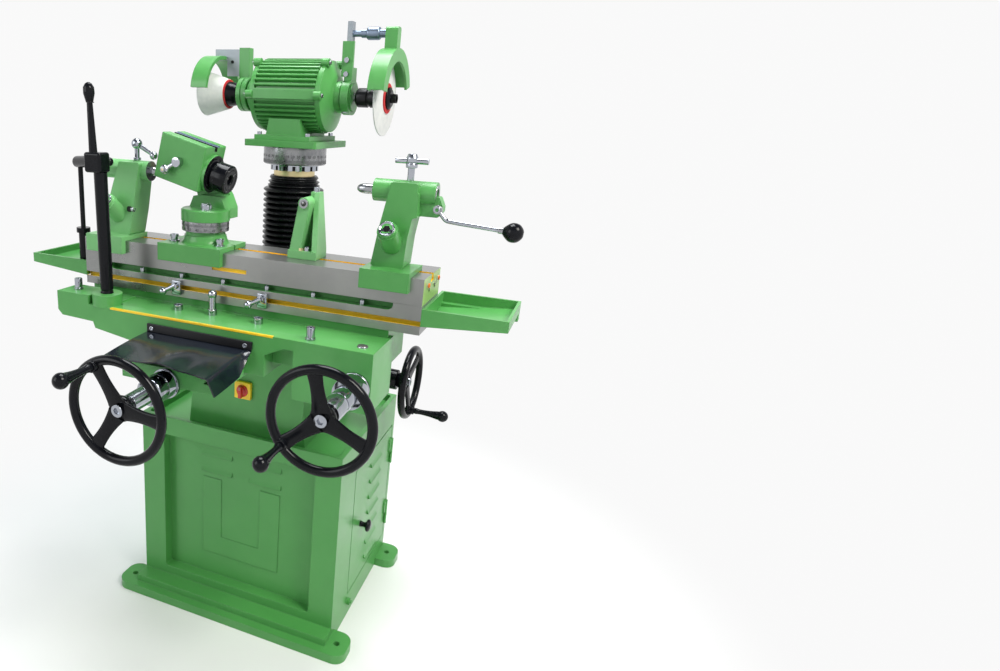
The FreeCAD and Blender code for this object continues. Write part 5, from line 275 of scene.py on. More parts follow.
def flowing(points: Array | Profile, steps: int = 6) -> Array:
    """Smooth curve through points, by the Catmull-Rom cubic between each pair."""
    p = np.asarray(points, float)
    q = np.concatenate((2 * p[:1] - p[1:2], p, 2 * p[-1:] - p[-2:-1]))
    a, b, c, d = q[:-3], q[1:-2], q[2:-1], q[3:]
    t = np.linspace(0.0, 1.0, steps, endpoint=False)[None, :, None]
    curve = 0.5 * (2 * b[:, None] + (c - a)[:, None] * t + (2 * a - 5 * b + 4 * c - d)[:, None] * t ** 2
                   + (3 * b - a - 3 * c + d)[:, None] * t ** 3)
    return np.concatenate((curve.reshape(-1, p.shape[1]), p[-1:]))


def rounded_block(low: Sequence[float], high: Sequence[float], radius: float, steps: int = 3) -> Shell:
    """Block with rounded edges and corners.

    Points of a cube's six gridded sides are held to an inner block, smaller by the radius, and then
    moved out by the radius along the way from the inner block to the cube's point.
    """
    half, middle = np.subtract(high, low) / 2, np.add(high, low) / 2
    r = min(radius, half.min() * 0.98)
    inner = half - r
    bow = np.sin(np.linspace(0.0, math.pi / 2, steps + 1)[1:])
    lines = [np.concatenate((-(k + r * bow[::-1]), (-k, k), k + r * bow)) for k in inner]
    sides = []
    for axis in (X, Y, Z):
        u, v = (axis + 1) % 3, (axis + 2) % 3
        gu, gv = np.meshgrid(lines[u], lines[v], indexing="ij")
        for sign in (-1.0, 1.0):
            p = np.empty(gu.shape + (3,))
            p[..., u], p[..., v], p[..., axis] = gu, gv, sign * half[axis]
            held = np.clip(p, -inner, inner)
            out = p - held
            p = held + r * out / np.maximum(np.linalg.norm(out, axis=-1, keepdims=True), TINY)
            p = p[::-1] if sign < 0 else p
            sides.append(shell_of(p.reshape(-1, 3) + middle, grid_faces(*gu.shape, False, False)))
    return welded(united(sides), 0.001)


def welded(shell: Shell, size: float) -> Shell:
    """The same surface with points closer than a size made one, and faces without area left out."""
    keys = np.round(shell.points / size).astype(np.int64)
    _, first, which = np.unique(keys, axis=0, return_index=True, return_inverse=True)
    faces = [face.tolist() for face in which.ravel()[shell.quads]]
    corners = [list(dict.fromkeys(face)) for face in faces]
    quads = np.array([face for face in corners if len(face) == 4], int).reshape(-1, 4)
    folded = np.array([face for face in corners if len(face) == 3], int).reshape(-1, 3)
    triangles = which.ravel()[shell.triangles]
    whole = [len(set(face)) == 3 for face in triangles.tolist()]
    return Shell(shell.points[first], quads, np.concatenate((triangles[whole], folded)))


def tube(path: Array, radius: float, sides: int, up: Vec) -> Shell:
    """Round bar along a path.

    Point (i, j) = path_i + r (cos t_j * u_i + sin t_j * v_i), with u_i = up x tangent and
    v_i = tangent x u_i.
    """
    tangent = np.gradient(path, axis=0)
    tangent /= np.linalg.norm(tangent, axis=1)[:, None]
    u = np.cross(np.asarray(up), tangent)
    u /= np.linalg.norm(u, axis=1)[:, None]
    v = np.cross(tangent, u)
    c, s = np.cos(circle(sides))[None, :, None], np.sin(circle(sides))[None, :, None]
    return loft(path[:, None] + radius * (c * u[:, None] + s * v[:, None]))


def hexagon(radius: float, turn: Array) -> Array:
    """Distance to a hexagon's side in each direction, for a hexagon with that corner radius."""
    return radius * math.cos(math.pi / 6) / np.cos(np.mod(turn, math.pi / 3) - math.pi / 6)


def socket_screw(radius: float, high: float, ease: float = 0.8, steps: int = 36) -> Shell:
    """Round screw head along local Z with a hexagonal socket in its top.

    The rows go up the outside as circles and down the socket as hexagons,
    r(t) = a / cos(t mod 60 deg - 30 deg).
    """
    levels, outside = eased([(0.0, radius), (high, radius), (high, radius * 0.62)], ease).T
    socket = [hexagon(radius * share, circle(steps)) for share in (0.58, 0.55, 0.55)]
    rows = np.array([np.full(steps, r) for r in outside] + socket)
    return stacked(rows, np.array([*levels, high, high - ease, high * 0.45]))


def hex_nut(radius: float, high: float, ease: float = 0.6, steps: int = 36) -> Shell:
    """Hexagonal head along local Z, its corners trimmed by a cone."""
    side = hexagon(radius, circle(steps))
    rows = np.array([side, side, np.minimum(side, radius * 0.92), np.full(steps, radius * 0.8)])
    return stacked(rows, np.array([0.0, high - 2 * ease, high, high]))


def ball_lever(root: Sequence[float], tip: Sequence[float], heel: float, neck: float, radius: float) -> Shell:
    """Turned lever: a tapered arm from its root that ends in a ball about the tip."""
    long = float(np.linalg.norm(np.subtract(tip, root)))
    turn = np.linspace(math.pi - math.asin(min(0.95, neck / radius)), 0.06, 18)
    outline = np.stack((long + radius * np.cos(turn), radius * np.sin(turn)), axis=1)
    lever = lathe([(0.0, ON_AXIS), (0.0, heel), *outline, (long + radius, ON_AXIS)], 32)
    return lever.seated(aimed_seat(root, tip))


def marks(radius: float, start: float, short: float, tall: float, count: int, every: int,
          width: float) -> Shell:
    """Graduation lines round a cylinder about local Z.

    Line k stands at the angle 360 k / count, and every so many of them is taller. Each is a thin block
    with its corners a little inside and outside the radius.
    """
    turn = np.radians(360.0 * np.arange(count) / count)
    tops = start + np.where(np.arange(count) % every == 0, tall, short)
    half = width / 2 / radius
    corners = [np.stack((r * np.cos(turn + side), r * np.sin(turn + side), level), axis=1)
               for r in (radius - PROUD, radius + PROUD)
               for level in (np.full(count, start), tops)
               for side in (-half, half)]
    sides = np.array(((0, 2, 3, 1), (4, 5, 7, 6), (0, 1, 5, 4), (2, 6, 7, 3), (0, 4, 6, 2), (1, 3, 7, 5)))
    quads = (np.arange(count)[:, None, None] * 8 + sides[None]).reshape(-1, 4)
    return shell_of(np.stack(corners, axis=1).reshape(-1, 3), quads)


def mesh_data(mesh: bpy.types.Mesh) -> tuple[Array, Array]:
    """Points of a mesh, in its own metres, and its triangles."""
    points = np.empty(len(mesh.vertices) * 3)
    mesh.vertices.foreach_get("co", points)
    mesh.calc_loop_triangles()
    faces = np.empty(len(mesh.loop_triangles) * 3, int)
    mesh.loop_triangles.foreach_get("vertices", faces)
    return points.reshape(-1, 3), faces.reshape(-1, 3)


def numerals(numbers: Sequence[int], radius: float, level: float, high: float) -> Shell:
    """Plain numbers wrapped on a cylinder about local Z.

    A glyph's point (x, y) goes to the angle of its number plus x / radius, and to the height level + y.

    Args:
        numbers: the numbers, evenly round the cylinder.
        radius: the cylinder's radius.
        level: height of the figures' feet.
        high: height of the figures.

    Returns:
        The figures' surface.
    """
    shells = []
    for place, number in enumerate(numbers):
        text = bpy.data.curves.new("figure", "FONT")
        text.body, text.size, text.extrude = str(number), high * 1.4 * MM, PROUD * MM
        text.resolution_u, text.align_x = 2, "CENTER"
        holder = bpy.data.objects.new("figure", text)
        bpy.context.scene.collection.objects.link(holder)
        mesh = bpy.data.meshes.new_from_object(holder)
        flat, faces = mesh_data(mesh)
        flat = flat / MM
        bpy.data.objects.remove(holder)
        bpy.data.meshes.remove(mesh)
        turn = FULL_TURN * place / len(numbers) + flat[:, 0] / radius
        r = radius + flat[:, 2]
        points = np.stack((r * np.cos(turn), r * np.sin(turn), level + flat[:, 1]), axis=1)
        shells.append(shell_of(points, triangles=faces))
    return united(shells)


def node_shell(node: str) -> Shell:
    """A welded copy of a CAD node's surface."""
    points, faces = mesh_data(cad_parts[node].data)
    shell = welded(shell_of(points, triangles=faces), 2e-6)
    return replace(shell, points=shell.points / MM)


def slab(middle: Array, thick: float) -> Shell:
    """Closed sheet about a grid of points.

    Both sides stand half the thickness out along the grid's normals, and its rim joins them.
    """
    normal = np.cross(np.gradient(middle, axis=0), np.gradient(middle, axis=1))
    normal /= np.linalg.norm(normal, axis=2, keepdims=True)
    rows, columns, _ = middle.shape
    points = np.concatenate([(middle + side * normal * thick / 2).reshape(-1, 3) for side in (1, -1)])
    faces = grid_faces(rows, columns, False, False)
    count = rows * columns
    index = np.arange(count).reshape(rows, columns)
    rim = np.concatenate((index[0, :-1], index[:-1, -1], index[-1, :0:-1], index[:0:-1, 0]))
    following = np.roll(rim, -1)
    edge = np.stack((rim, rim + count, following + count, following), axis=1)
    return shell_of(points, np.concatenate((faces, faces[:, ::-1] + count, edge)))


# Finishes

class Grain(Enum):
    """Fine structure of a surface."""

    PEEL = "peel"
    GROUND = "ground"
    TURNED = "turned"
    GRIT = "grit"
    CLOTH = "cloth"


@dataclass(frozen=True)
class Finish:
    """One surface finish, in linear colour and metres."""

    name: str
    colour: Colour
    second: Colour
    grain: Grain
    rough: tuple[float, float]
    metal: float = 0.0
    coat: float = 0.0
    patch: float = 9.0
    fine: float = 420.0
    relief: float = 0.00004
    edge: float = 0.0
    gloss: float = 0.5

    def material(self) -> bpy.types.Material:
        """The finish's material, made once."""
        found = bpy.data.materials.get(self.name)
        return found if found else paint_nodes(self)


def linked(tree: bpy.types.NodeTree, kind: str, inputs: dict[str | int, object],
           **settings: object) -> bpy.types.Node:
    """Adds a shader node.

    Args:
        tree: the material's node tree.
        kind: the node's type name, after ShaderNode.
        inputs: socket name or number to a value, or to another node's output socket.
        settings: the node's own properties.

    Returns:
        The node.
    """
    node = tree.nodes.new("ShaderNode" + kind)
    for key, value in settings.items():
        setattr(node, key, value)
    for name, value in inputs.items():
        if isinstance(value, bpy.types.NodeSocket):
            tree.links.new(value, node.inputs[name])
        else:
            node.inputs[name].default_value = value
    return node


def fine_height(tree: bpy.types.NodeTree, finish: Finish,
                place: bpy.types.NodeSocket) -> bpy.types.NodeSocket:
    """Height of the fine structure, about 0 to 1: noise, stretched noise, waves or cells by the grain."""
    if finish.grain is Grain.GRIT:
        return linked(tree, "TexVoronoi", {"Vector": place, "Scale": finish.fine}).outputs["Distance"]
    if finish.grain in (Grain.GROUND, Grain.TURNED):
        stretch = (6.0, finish.fine, finish.fine) if finish.grain is Grain.GROUND else (finish.fine,) * 3
        along = linked(tree, "Mapping", {"Vector": place, "Scale": stretch})
        return linked(tree, "TexNoise", {"Vector": along.outputs[0], "Scale": 1.0, "Detail": 3.0}).outputs[0]
    if finish.grain is Grain.CLOTH:
        wave = linked(tree, "TexWave", {"Vector": place, "Scale": finish.fine, "Distortion": 2.0})
        return wave.outputs["Fac"]
    return linked(tree, "TexNoise", {"Vector": place, "Scale": finish.fine, "Detail": 1.5}).outputs[0]


def paint_nodes(finish: Finish) -> bpy.types.Material:
    """Builds a finish's material.

    Colour = colour mixed with the second one by a broad noise; roughness = its low value + (high - low) times
    the same noise; relief = the fine height, and edges rounded in the shading where asked.
    """
    material = bpy.data.materials.new(finish.name)
    material.use_nodes = True
    material.diffuse_color = (*finish.colour, 1.0)
    tree = material.node_tree
    tree.nodes.clear()
    place = linked(tree, "TexCoord", {}).outputs["Object"]
    broad = linked(tree, "TexNoise",
                   {"Vector": place, "Scale": finish.patch, "Detail": 5.0, "Roughness": 0.6})
    spread = linked(tree, "MapRange", {"Value": broad.outputs[0], "From Min": 0.34, "From Max": 0.66})
    mix = linked(tree, "Mix", {"Factor": spread.outputs[0]}, data_type="RGBA")
    mix.inputs[6].default_value = (*finish.colour, 1.0)
    mix.inputs[7].default_value = (*finish.second, 1.0)
    low, high = finish.rough
    rough = linked(tree, "MapRange", {"Value": spread.outputs[0], "To Min": low, "To Max": high})
    fine = fine_height(tree, finish, place)
    bump = linked(tree, "Bump", {"Height": fine, "Strength": 1.0, "Distance": finish.relief})
    if finish.edge > 0.0:
        edge = linked(tree, "Bevel", {"Radius": finish.edge}, samples=4)
        tree.links.new(edge.outputs[0], bump.inputs["Normal"])
    shader = linked(tree, "BsdfPrincipled", {
        "Base Color": mix.outputs[2], "Roughness": rough.outputs[0], "Metallic": finish.metal,
        "Specular IOR Level": finish.gloss, "Coat Weight": finish.coat, "Coat Roughness": 0.12,
        "Normal": bump.outputs[0]})
    linked(tree, "OutputMaterial", {0: shader.outputs[0]})
    return material


GREEN = Finish("green cast paint", (0.074, 0.315, 0.072), (0.092, 0.345, 0.088), Grain.PEEL, (0.30, 0.44),
               coat=0.22, relief=0.00005, edge=0.0022, gloss=0.4)
GREEN_SHEET = Finish("green sheet paint", (0.070, 0.300, 0.068), (0.084, 0.325, 0.080), Grain.PEEL,
                     (0.28, 0.40), coat=0.2, patch=4.0, relief=0.00002, edge=0.0035, gloss=0.4)
# Painted light: the machine's green paint drawn lighter, standing in for the lamps' light on faces that catch
# it.
GREEN_WITH_PAINTED_LIGHT = Finish("green paint with painted light", (0.165, 0.465, 0.165), (0.195, 0.500, 0.190), Grain.PEEL,
                    (0.30, 0.42), coat=0.2, edge=0.0022, gloss=0.4)
# Painted light: the end's green paint drawn lighter and yellower, as the warm light from the right shows it.
END_PAINT_WITH_WARM_PAINTED_LIGHT = Finish("end paint with painted warm light", (0.34, 0.50, 0.17), (0.38, 0.54, 0.20), Grain.PEEL, (0.34, 0.46),
                   coat=0.15, edge=0.0012, gloss=0.4)
GUARD_GREY = Finish("light grey steel", (0.26, 0.29, 0.33), (0.32, 0.35, 0.38), Grain.GROUND, (0.36, 0.48),
                    metal=0.35, edge=0.0008)
BLUE_STEEL = Finish("blue grey steel", (0.16, 0.21, 0.29), (0.22, 0.27, 0.35), Grain.TURNED, (0.25, 0.38),
                    metal=0.8, edge=0.0006)
GROUND_STEEL = Finish("ground iron", (0.27, 0.275, 0.27), (0.34, 0.34, 0.33), Grain.GROUND, (0.24, 0.38),
                      metal=0.85, patch=5.0, relief=0.000004, edge=0.0008)
DARK_STEEL = Finish("dark steel", (0.08, 0.08, 0.085), (0.13, 0.13, 0.13), Grain.TURNED, (0.30, 0.45),
                    metal=0.9, edge=0.0006)
CHROME = Finish("bright chrome", (0.36, 0.385, 0.43), (0.46, 0.48, 0.52), Grain.TURNED, (0.06, 0.14),
                metal=1.0, relief=0.000006, edge=0.0004)
STEEL = Finish("turned steel", (0.30, 0.31, 0.33), (0.39, 0.40, 0.41), Grain.TURNED, (0.16, 0.28),
               metal=1.0, relief=0.00001, edge=0.0005)
DIAL_STEEL = Finish("dull dial steel", (0.20, 0.205, 0.215), (0.34, 0.34, 0.35), Grain.TURNED, (0.18, 0.34),
                    metal=0.95, patch=34.0, relief=0.00001, edge=0.0006)
BRASS = Finish("brass", (0.46, 0.30, 0.10), (0.58, 0.39, 0.15), Grain.TURNED, (0.10, 0.20),
               metal=1.0, edge=0.0005)
BLACK_GLOSS = Finish("black enamel", (0.0030, 0.0034, 0.0050), (0.0060, 0.0066, 0.0090), Grain.PEEL,
                     (0.12, 0.22), coat=0.04, relief=0.00002, edge=0.001, gloss=0.16)
BLACK_OXIDE = Finish("black oxide", (0.008, 0.008, 0.010), (0.016, 0.016, 0.018), Grain.TURNED, (0.26, 0.40),
                     metal=0.3, edge=0.0006, gloss=0.35)
RUBBER = Finish("black rubber", (0.004, 0.0044, 0.0055), (0.008, 0.0085, 0.0100), Grain.PEEL, (0.18, 0.32),
                coat=0.04, fine=900.0, relief=0.00003, gloss=0.2)
SHEET_RUBBER = Finish("rubber sheet", (0.0050, 0.0070, 0.0120), (0.010, 0.014, 0.022), Grain.CLOTH,
                      (0.14, 0.24), coat=0.25, fine=260.0, relief=0.00001)
ABRASIVE = Finish("white abrasive", (0.66, 0.67, 0.67), (0.74, 0.74, 0.73), Grain.GRIT, (0.82, 0.92),
                  patch=60.0, fine=1500.0, relief=0.0002)
BLOTTER = Finish("red card washer", (0.50, 0.022, 0.026), (0.60, 0.032, 0.034), Grain.CLOTH, (0.70, 0.85),
                 patch=80.0, fine=900.0)
RED = Finish("red plastic", (0.56, 0.014, 0.010), (0.64, 0.022, 0.014), Grain.PEEL, (0.22, 0.30), coat=0.4)
ORANGE = Finish("orange screw paint", (0.80, 0.16, 0.015), (0.86, 0.20, 0.02), Grain.PEEL, (0.35, 0.45))
YELLOW = Finish("yellow paint", (0.95, 0.60, 0.010), (0.98, 0.65, 0.020), Grain.PEEL, (0.30, 0.42), coat=0.15)
# Painted shade: near black put in a slot where there is only shade.
SLOT_PAINTED_SHADE = Finish("painted slot shade", (0.006, 0.010, 0.006), (0.012, 0.018, 0.011), Grain.PEEL, (0.6, 0.8))
INK = Finish("black ink", (0.008, 0.008, 0.009), (0.016, 0.016, 0.017), Grain.PEEL, (0.5, 0.6),
             relief=0.00001, gloss=0.3)
PALE_FLOOR = Finish("pale floor", (0.86, 0.86, 0.86), (0.88, 0.88, 0.88), Grain.PEEL, (0.6, 0.7),
                    patch=1.5, gloss=0.1)


# Pieces

Part = tuple[Shell, Finish]


def on(seat: Seat, *parts: Part) -> list[Part]:
    """Surfaces with their finishes, carried to a seat."""
    return [(shell.seated(seat), finish) for shell, finish in parts]


def box(node: str) -> tuple[Array, Array]:
    """Low and high corner of a CAD node, in millimetres."""
    low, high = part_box(node)
    return np.array(low) / MM, np.array(high) / MM


def end_seat(node: str, looking: Callable[[float, float, float], Seat], axis: int,
             at_high: bool) -> tuple[Seat, float]:
    """Seat in the middle of one end of a CAD node's box.

    Args:
        node: the CAD node.
        looking: makes the seat, such as right_seat.
        axis: the axis that the seat looks along.
        at_high: the end with the higher value on that axis.

    Returns:
        The seat and the box's length along the axis.
    """
    low, high = box(node)
    spot = (low + high) / 2
    spot[axis] = high[axis] if at_high else low[axis]
    return looking(*spot), high[axis] - low[axis]


def outward(shell: Shell) -> Shell:
    """The surface with its faces turned outward: a closed shell's signed volume is then above zero."""
    p, q, t = shell.points, shell.quads, shell.triangles
    halves = np.concatenate((t, q[:, [0, 1, 2]], q[:, [0, 2, 3]])).astype(int)
    p = p - p.mean(axis=0)
    volume = np.einsum("ij,ij->", p[halves[:, 0]], np.cross(p[halves[:, 1]], p[halves[:, 2]]))
    return shell if volume >= 0 else Shell(shell.points, q[:, ::-1], t[:, ::-1])


def meshed(name: str, parts: Sequence[Part], angle: float, finishes: Sequence[Finish] = (),
           zones: Array | None = None) -> bpy.types.Object:
    """Makes one object from surfaces with their finishes.

    Args:
        name: the piece's name.
        parts: surfaces and their finishes.
        angle: edges sharper than this stay sharp, in degrees.
        finishes: finishes that come first in the object's list.
        zones: place in that list of each triangle of the first surface.

    Returns:
        The object, at the origin.
    """
    order = list(dict.fromkeys([*finishes, *(finish for _, finish in parts)]))
    shells = [outward(shell) for shell, _ in parts]
    places = [order.index(finish) for _, finish in parts]
    quads = [np.full(len(shell.quads), place) for shell, place in zip(shells, places)]
    triangles = [np.full(len(shell.triangles), place) for shell, place in zip(shells, places)]
    if zones is not None:
        triangles[0] = np.array([order.index(finish) for finish in finishes])[zones]
    whole = united(shells)
    mesh = bpy.data.meshes.new(name)
    mesh.from_pydata((whole.points * MM).tolist(), [], whole.quads.tolist() + whole.triangles.tolist())
    for finish in order:
        mesh.materials.append(finish.material())
    mesh.polygons.foreach_set("material_index", np.concatenate(quads + triangles).astype(np.int32))
    mesh.shade_smooth()
    mesh.set_sharp_from_angle(angle=math.radians(angle))
    mesh.update()
    piece = bpy.data.objects.new(name.replace(" ", "_") + "_skin", mesh)
    bpy.context.scene.collection.objects.link(piece)
    log.info("%s: %d faces", name, len(mesh.polygons))
    return piece


def placed(name: str, body: str, parts: Sequence[Part], stands_for: Sequence[str],
           angle: float = 32.0) -> bpy.types.Object:
    """Makes one piece of the machine from surfaces with their finishes.

    Args:
        name: the piece's name.
        body: the CAD body that it rides on, or nothing for a piece left unattached.
        parts: surfaces and their finishes.
        stands_for: CAD nodes that the piece replaces.
        angle: edges sharper than this stay sharp, in degrees.

    Returns:
        The object, at the origin.
    """
    piece = meshed(name, parts, angle)
    if body:
        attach(piece, body)
    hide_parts(*stands_for)
    return piece


def dressed(node: str, body: str, finish: Finish = GREEN,
            zones: Sequence[tuple[Zone, Finish]] = (), extra: Sequence[Part] = (),
            angle: float = 28.0) -> bpy.types.Object:
    """A casting or plate made from a welded copy of its CAD node, with its finishes by zone.

    Args:
        node: the CAD node that is copied and replaced.
        body: the CAD body that it rides on.
        finish: the finish outside the zones.
        zones: tests on face centres and normals, each with the finish inside it; a later one wins.
        extra: further surfaces that belong to the same piece.
        angle: edges sharper than this stay sharp, in degrees.

    Returns:
        The object, at the origin.
    """
    shell = node_shell(node)
    corners = shell.points[shell.triangles]
    centres = corners.mean(axis=1)
    normals = np.cross(corners[:, 1] - corners[:, 0], corners[:, 2] - corners[:, 0])
    normals /= np.maximum(np.linalg.norm(normals, axis=1, keepdims=True), TINY)
    index = np.zeros(len(centres), int)
    for place, (zone, _) in enumerate(zones):
        index[zone(centres, normals)] = place + 1
    finishes = [finish] + [zone_finish for _, zone_finish in zones]
    piece = meshed(node, [(shell, finish), *extra], angle, finishes, index)
    weights = piece.modifiers.new("even shading", "WEIGHTED_NORMAL")
    weights.keep_sharp = True
    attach(piece, body)
    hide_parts(node)
    return piece


def between(axis: int, low: float, high: float) -> Zone:
    """Zone of the faces whose centres lie between two values on one axis."""
    return lambda centres, normals: (centres[:, axis] > low) & (centres[:, axis] < high)


def both(*zones: Zone) -> Zone:
    """Zone of the faces that lie in every one of several zones."""
    return lambda centres, normals: np.logical_and.reduce([zone(centres, normals) for zone in zones])


def facing(axis: int, sign: float, least: float = 0.9) -> Zone:
    """Zone of the faces that look along an axis."""
    return lambda centres, normals: normals[:, axis] * sign > least


def off_axis(x: float, y: float) -> Callable[[Array], Array]:
    """Distance of face centres from an upright axis."""
    return lambda centres: np.hypot(centres[:, X] - x, centres[:, Y] - y)


# Handwheels

@dataclass
class Handwheel:
    """Dished wheel with three waisted spokes, a rounded rim and a turning grip."""

    name: str
    radius: float
    seat: Seat
    grip_angle: float
    rim: float = 9.5
    outset: float = 9.0
    hub: float = 26.0
    bore: float = 10.0
    spoke_thick: float = 9.0
    spokes: int = 3
    boss_rise: float = 5.0
    grip_long: float = 92.0
    grip_ball: float = 15.0
    grip_inset: float = 15.0
    grip_neck: Profile = ((0.0, 7.4), (6.0, 8.2), (12.0, 7.4), (20.0, 7.0), (36.0, 7.8), (50.0, 9.2),
                          (62.0, 11.2))

    def spoke(self, angle: float) -> Shell:
        """One spoke, waisted and climbing to the rim.

        The section at the share s of its length is a superellipse |u|^2.6 + |v|^2.6 = 1, as wide as
        40 - 46 s + 40 s^2 mm.
        """
        power, corners = 2.6, 28
        share = np.linspace(0.0, 1.0, 15)
        start, end = self.hub * 0.5, self.radius - self.rim
        along = start + (end - start) * share
        width = 40.0 - 46.0 * share + 40.0 * share ** 2
        rise = self.outset * np.clip((along - self.hub * 0.7) / (end - self.hub * 0.7), 0.0, 1.0)
        c, s = np.cos(circle(corners)), np.sin(circle(corners))
        reach = (np.abs(c) ** power + np.abs(s) ** power) ** (-1.0 / power) / 2
        sections = np.empty((len(share), corners, 3))
        sections[:, :, 0] = along[:, None]
        sections[:, :, 1] = width[:, None] * (c * reach)[None]
        sections[:, :, 2] = rise[:, None] + self.spoke_thick * (s * reach)[None]
        return loft(sections).turned(angle)

    def grip_spot(self) -> tuple[float, float]:
        """Where the grip stands on the wheel's face."""
        angle = math.radians(self.grip_angle)
        reach = self.radius - self.grip_inset
        return reach * math.cos(angle), reach * math.sin(angle)

    def wheel(self) -> list[Part]:
        """Rim, hub, grip boss, pin and spokes."""
        turn = circle(24)
        middle = self.radius - self.rim
        rim = np.stack((self.outset + self.rim * np.sin(turn), middle + self.rim * np.cos(turn)), axis=1)
        hub = [(-self.hub, self.bore), (-self.hub, self.hub * 0.7), (-9.0, self.hub), (-3.0, self.hub),
               (0.0, self.hub * 0.9), (0.0, self.bore)]
        x, y = self.grip_spot()
        boss = bar(self.rim + self.spoke_thick + self.boss_rise, 11.0, 1.6)
        boss = boss.moved(x, y, self.outset - self.spoke_thick)
        shells = [lathe(rim, 96, ring=True), sleeve(hub, 3.0), boss, bar(60.0, 4.0).moved(x, y, self.outset)]
        shells += [self.spoke(self.grip_angle + 360.0 / self.spokes * k) for k in range(self.spokes)]
        return on(self.seat, *((shell, BLACK_GLOSS) for shell in shells))

    def grip(self) -> Shell:
        """The turning grip: slender root with a bead, swelling to a ball."""
        x, y = self.grip_spot()
        turn = np.radians(np.linspace(128.0, 4.0, 12))
        end = self.grip_long - self.grip_ball
        knob = np.stack((end + self.grip_ball * np.cos(turn), self.grip_ball * np.sin(turn)), axis=1)
        outline = [(0.0, 4.5), *flowing(self.grip_neck, 4), *knob, (self.grip_long, ON_AXIS)]
        start = self.outset + self.rim + self.boss_rise + CLEARANCE
        return lathe(outline, 40).moved(x, y, start).seated(self.seat)

    def build(self, wheel_nodes: Sequence[str], more: Sequence[Part]) -> None:
        """Makes the wheel with what turns with it and its centre nut, and its grip.

        Args:
            wheel_nodes: CAD nodes that the wheel's piece replaces.
            more: further surfaces of the wheel's piece, already in place.
        """
        log.info("handwheel %s", self.name)
        nut = on(self.seat, (socket_screw(12.5, 9.0), CHROME))
        placed(f"{self.name} handwheel", f"{self.name}_wheel",
               self.wheel() + list(more) + nut, wheel_nodes)
        placed(f"{self.name} grip", f"{self.name}_handle", [(self.grip(), BLACK_GLOSS)],
               [f"{self.name}_grip"])


# Stand

@dataclass
class Stand:
    """Cabinet with its door, neck, switch and lift bearing."""

    knob: Profile = ((0.0, 8.5), (4.0, 7.5), (12.0, 6.8), (17.0, 10.0), (19.0, 15.5), (22.5, 17.0),
                     (26.5, 15.0), (29.5, 8.5))
    knob_long: float = 30.0
    tube: float = 27.0
    collar: float = 40.0
    shaft_hole: float = 10.2

    def door_knob(self) -> None:
        """Mushroom knob of the door."""
        seat, _ = end_seat("door_knob", right_seat, X, False)
        outline = [(0.0, ON_AXIS), *flowing(self.knob, 4), (self.knob_long, ON_AXIS)]
        parts = on(seat, (lathe(outline, 48), BLACK_GLOSS))
        placed("door knob", "door", parts, ["door_knob"])

    def switch(self) -> None:
        """Yellow switch plate with its red rotary knob."""
        plate = rounded_block(*box("switch_plate"), 2.5)
        placed("switch plate", "base", [(plate, YELLOW)], ["switch_plate"])
        seat, long = end_seat("switch_knob", front_seat, Y, True)
        low, high = box("switch_knob")
        r = (high[Z] - low[Z]) / 2
        skirt = solid([(0.0, r), (long * 0.35, r * 0.94), (long * 0.45, r * 0.70),
                       (long * 0.62, r * 0.66)], 1.2, 48)
        blade = rounded_block((-r * 0.26, -r * 0.93, long * 0.3), (r * 0.26, r * 0.93, long), 1.8)
        mark = rounded_block((-0.8, r * 0.35, long - 0.1), (0.8, r * 0.85, long + 0.3), 0.1)
        parts = on(seat, (skirt, RED), (blade, RED), (mark, GUARD_GREY))
        placed("switch knob", "switch_dial", parts, ["switch_knob"])

    def lift_bearing(self) -> None:
        """Black tube with its collar that carries the lift's shaft."""
        seat, long = end_seat("lift_bearing", right_seat, X, False)
        outline = [(0.0, self.shaft_hole), (0.0, self.tube), (12.0, self.tube), (12.0, self.collar),
                   (24.0, self.collar), (24.0, self.tube), (long, self.tube), (long, self.shaft_hole)]
        parts = on(seat, (sleeve(outline, 1.2), BLACK_GLOSS))
        placed("lift bearing", "base", parts, ["lift_bearing"])

    def build(self) -> None:
        """Makes the stand."""
        log.info("stand")
        dressed("base_cabinet", "base", finish=GREEN_SHEET)
        dressed("door", "door", finish=GREEN_SHEET)
        self.door_knob()
        dressed("neck_column", "base")
        self.switch()
        self.lift_bearing()


# Bellows

@dataclass
class Bellows:
    """Ribbed rubber sleeve between the bed and the index collar."""

    ribs: int = 18
    outer: float = 80.0
    root: float = 66.0
    neck: float = 60.0
    neck_long: float = 30.0
    bore: float = 57.0
    folds: Profile = ((5.0, 9.0), (9.0, 3.5), (14.0, 8.0), (19.0, 1.0), (24.0, 4.5), (30.0, 1.0))
    tie_rise: float = 12.0
    tie_half: float = 3.0

    def outline(self, low: float, high: float) -> Array:
        """Closed outline of the wall.

        Along the ribs the radius is root + (outer - root) |sin|^0.6, and above them it follows the two
        soft folds of the upper neck.
        """
        start, end = low + self.neck_long, high - self.neck_long
        turn = np.linspace(0.0, self.ribs * math.pi, self.ribs * 14 + 1)
        ribs = np.stack((start + (end - start) * turn / turn[-1],
                         self.root + (self.outer - self.root) * np.abs(np.sin(turn)) ** 0.6), axis=1)
        neck_low = eased([(low, self.bore), (low, self.neck), (start, self.neck)], 3.0)
        folds = [(end + rise, self.neck + out) for rise, out in self.folds]
        neck_high = flowing([(end, self.root)] + folds, 6)
        inner = np.linspace(high, low, 40)
        inside = np.stack((inner, np.full(len(inner), self.bore)), axis=1)[:-1]
        return np.concatenate((neck_low, ribs, neck_high, inside))

    def build(self) -> bpy.types.Object:
        """Makes the sleeve, still fixed to nothing; its placement is baked into its mesh last."""
        log.info("bellows")
        low, high = box("bellows")
        seat = Seat((*((low + high) / 2)[:2], 0.0))
        foot, top = (low[Z] + self.tie_rise + side * self.tie_half for side in (-1, 1))
        inner, outer = self.neck - 1.0, self.neck + 1.8
        tie = [(foot, inner), (foot, outer), (top, outer), (top, inner)]
        wall = lathe(self.outline(low[Z], high[Z]), 96, ring=True)
        parts = on(seat, (wall, RUBBER), (sleeve(tie, 0.8, 72), BLACK_OXIDE))
        return placed("bellows sleeve", "", parts, ["bellows"], angle=50.0)


# Cross feed

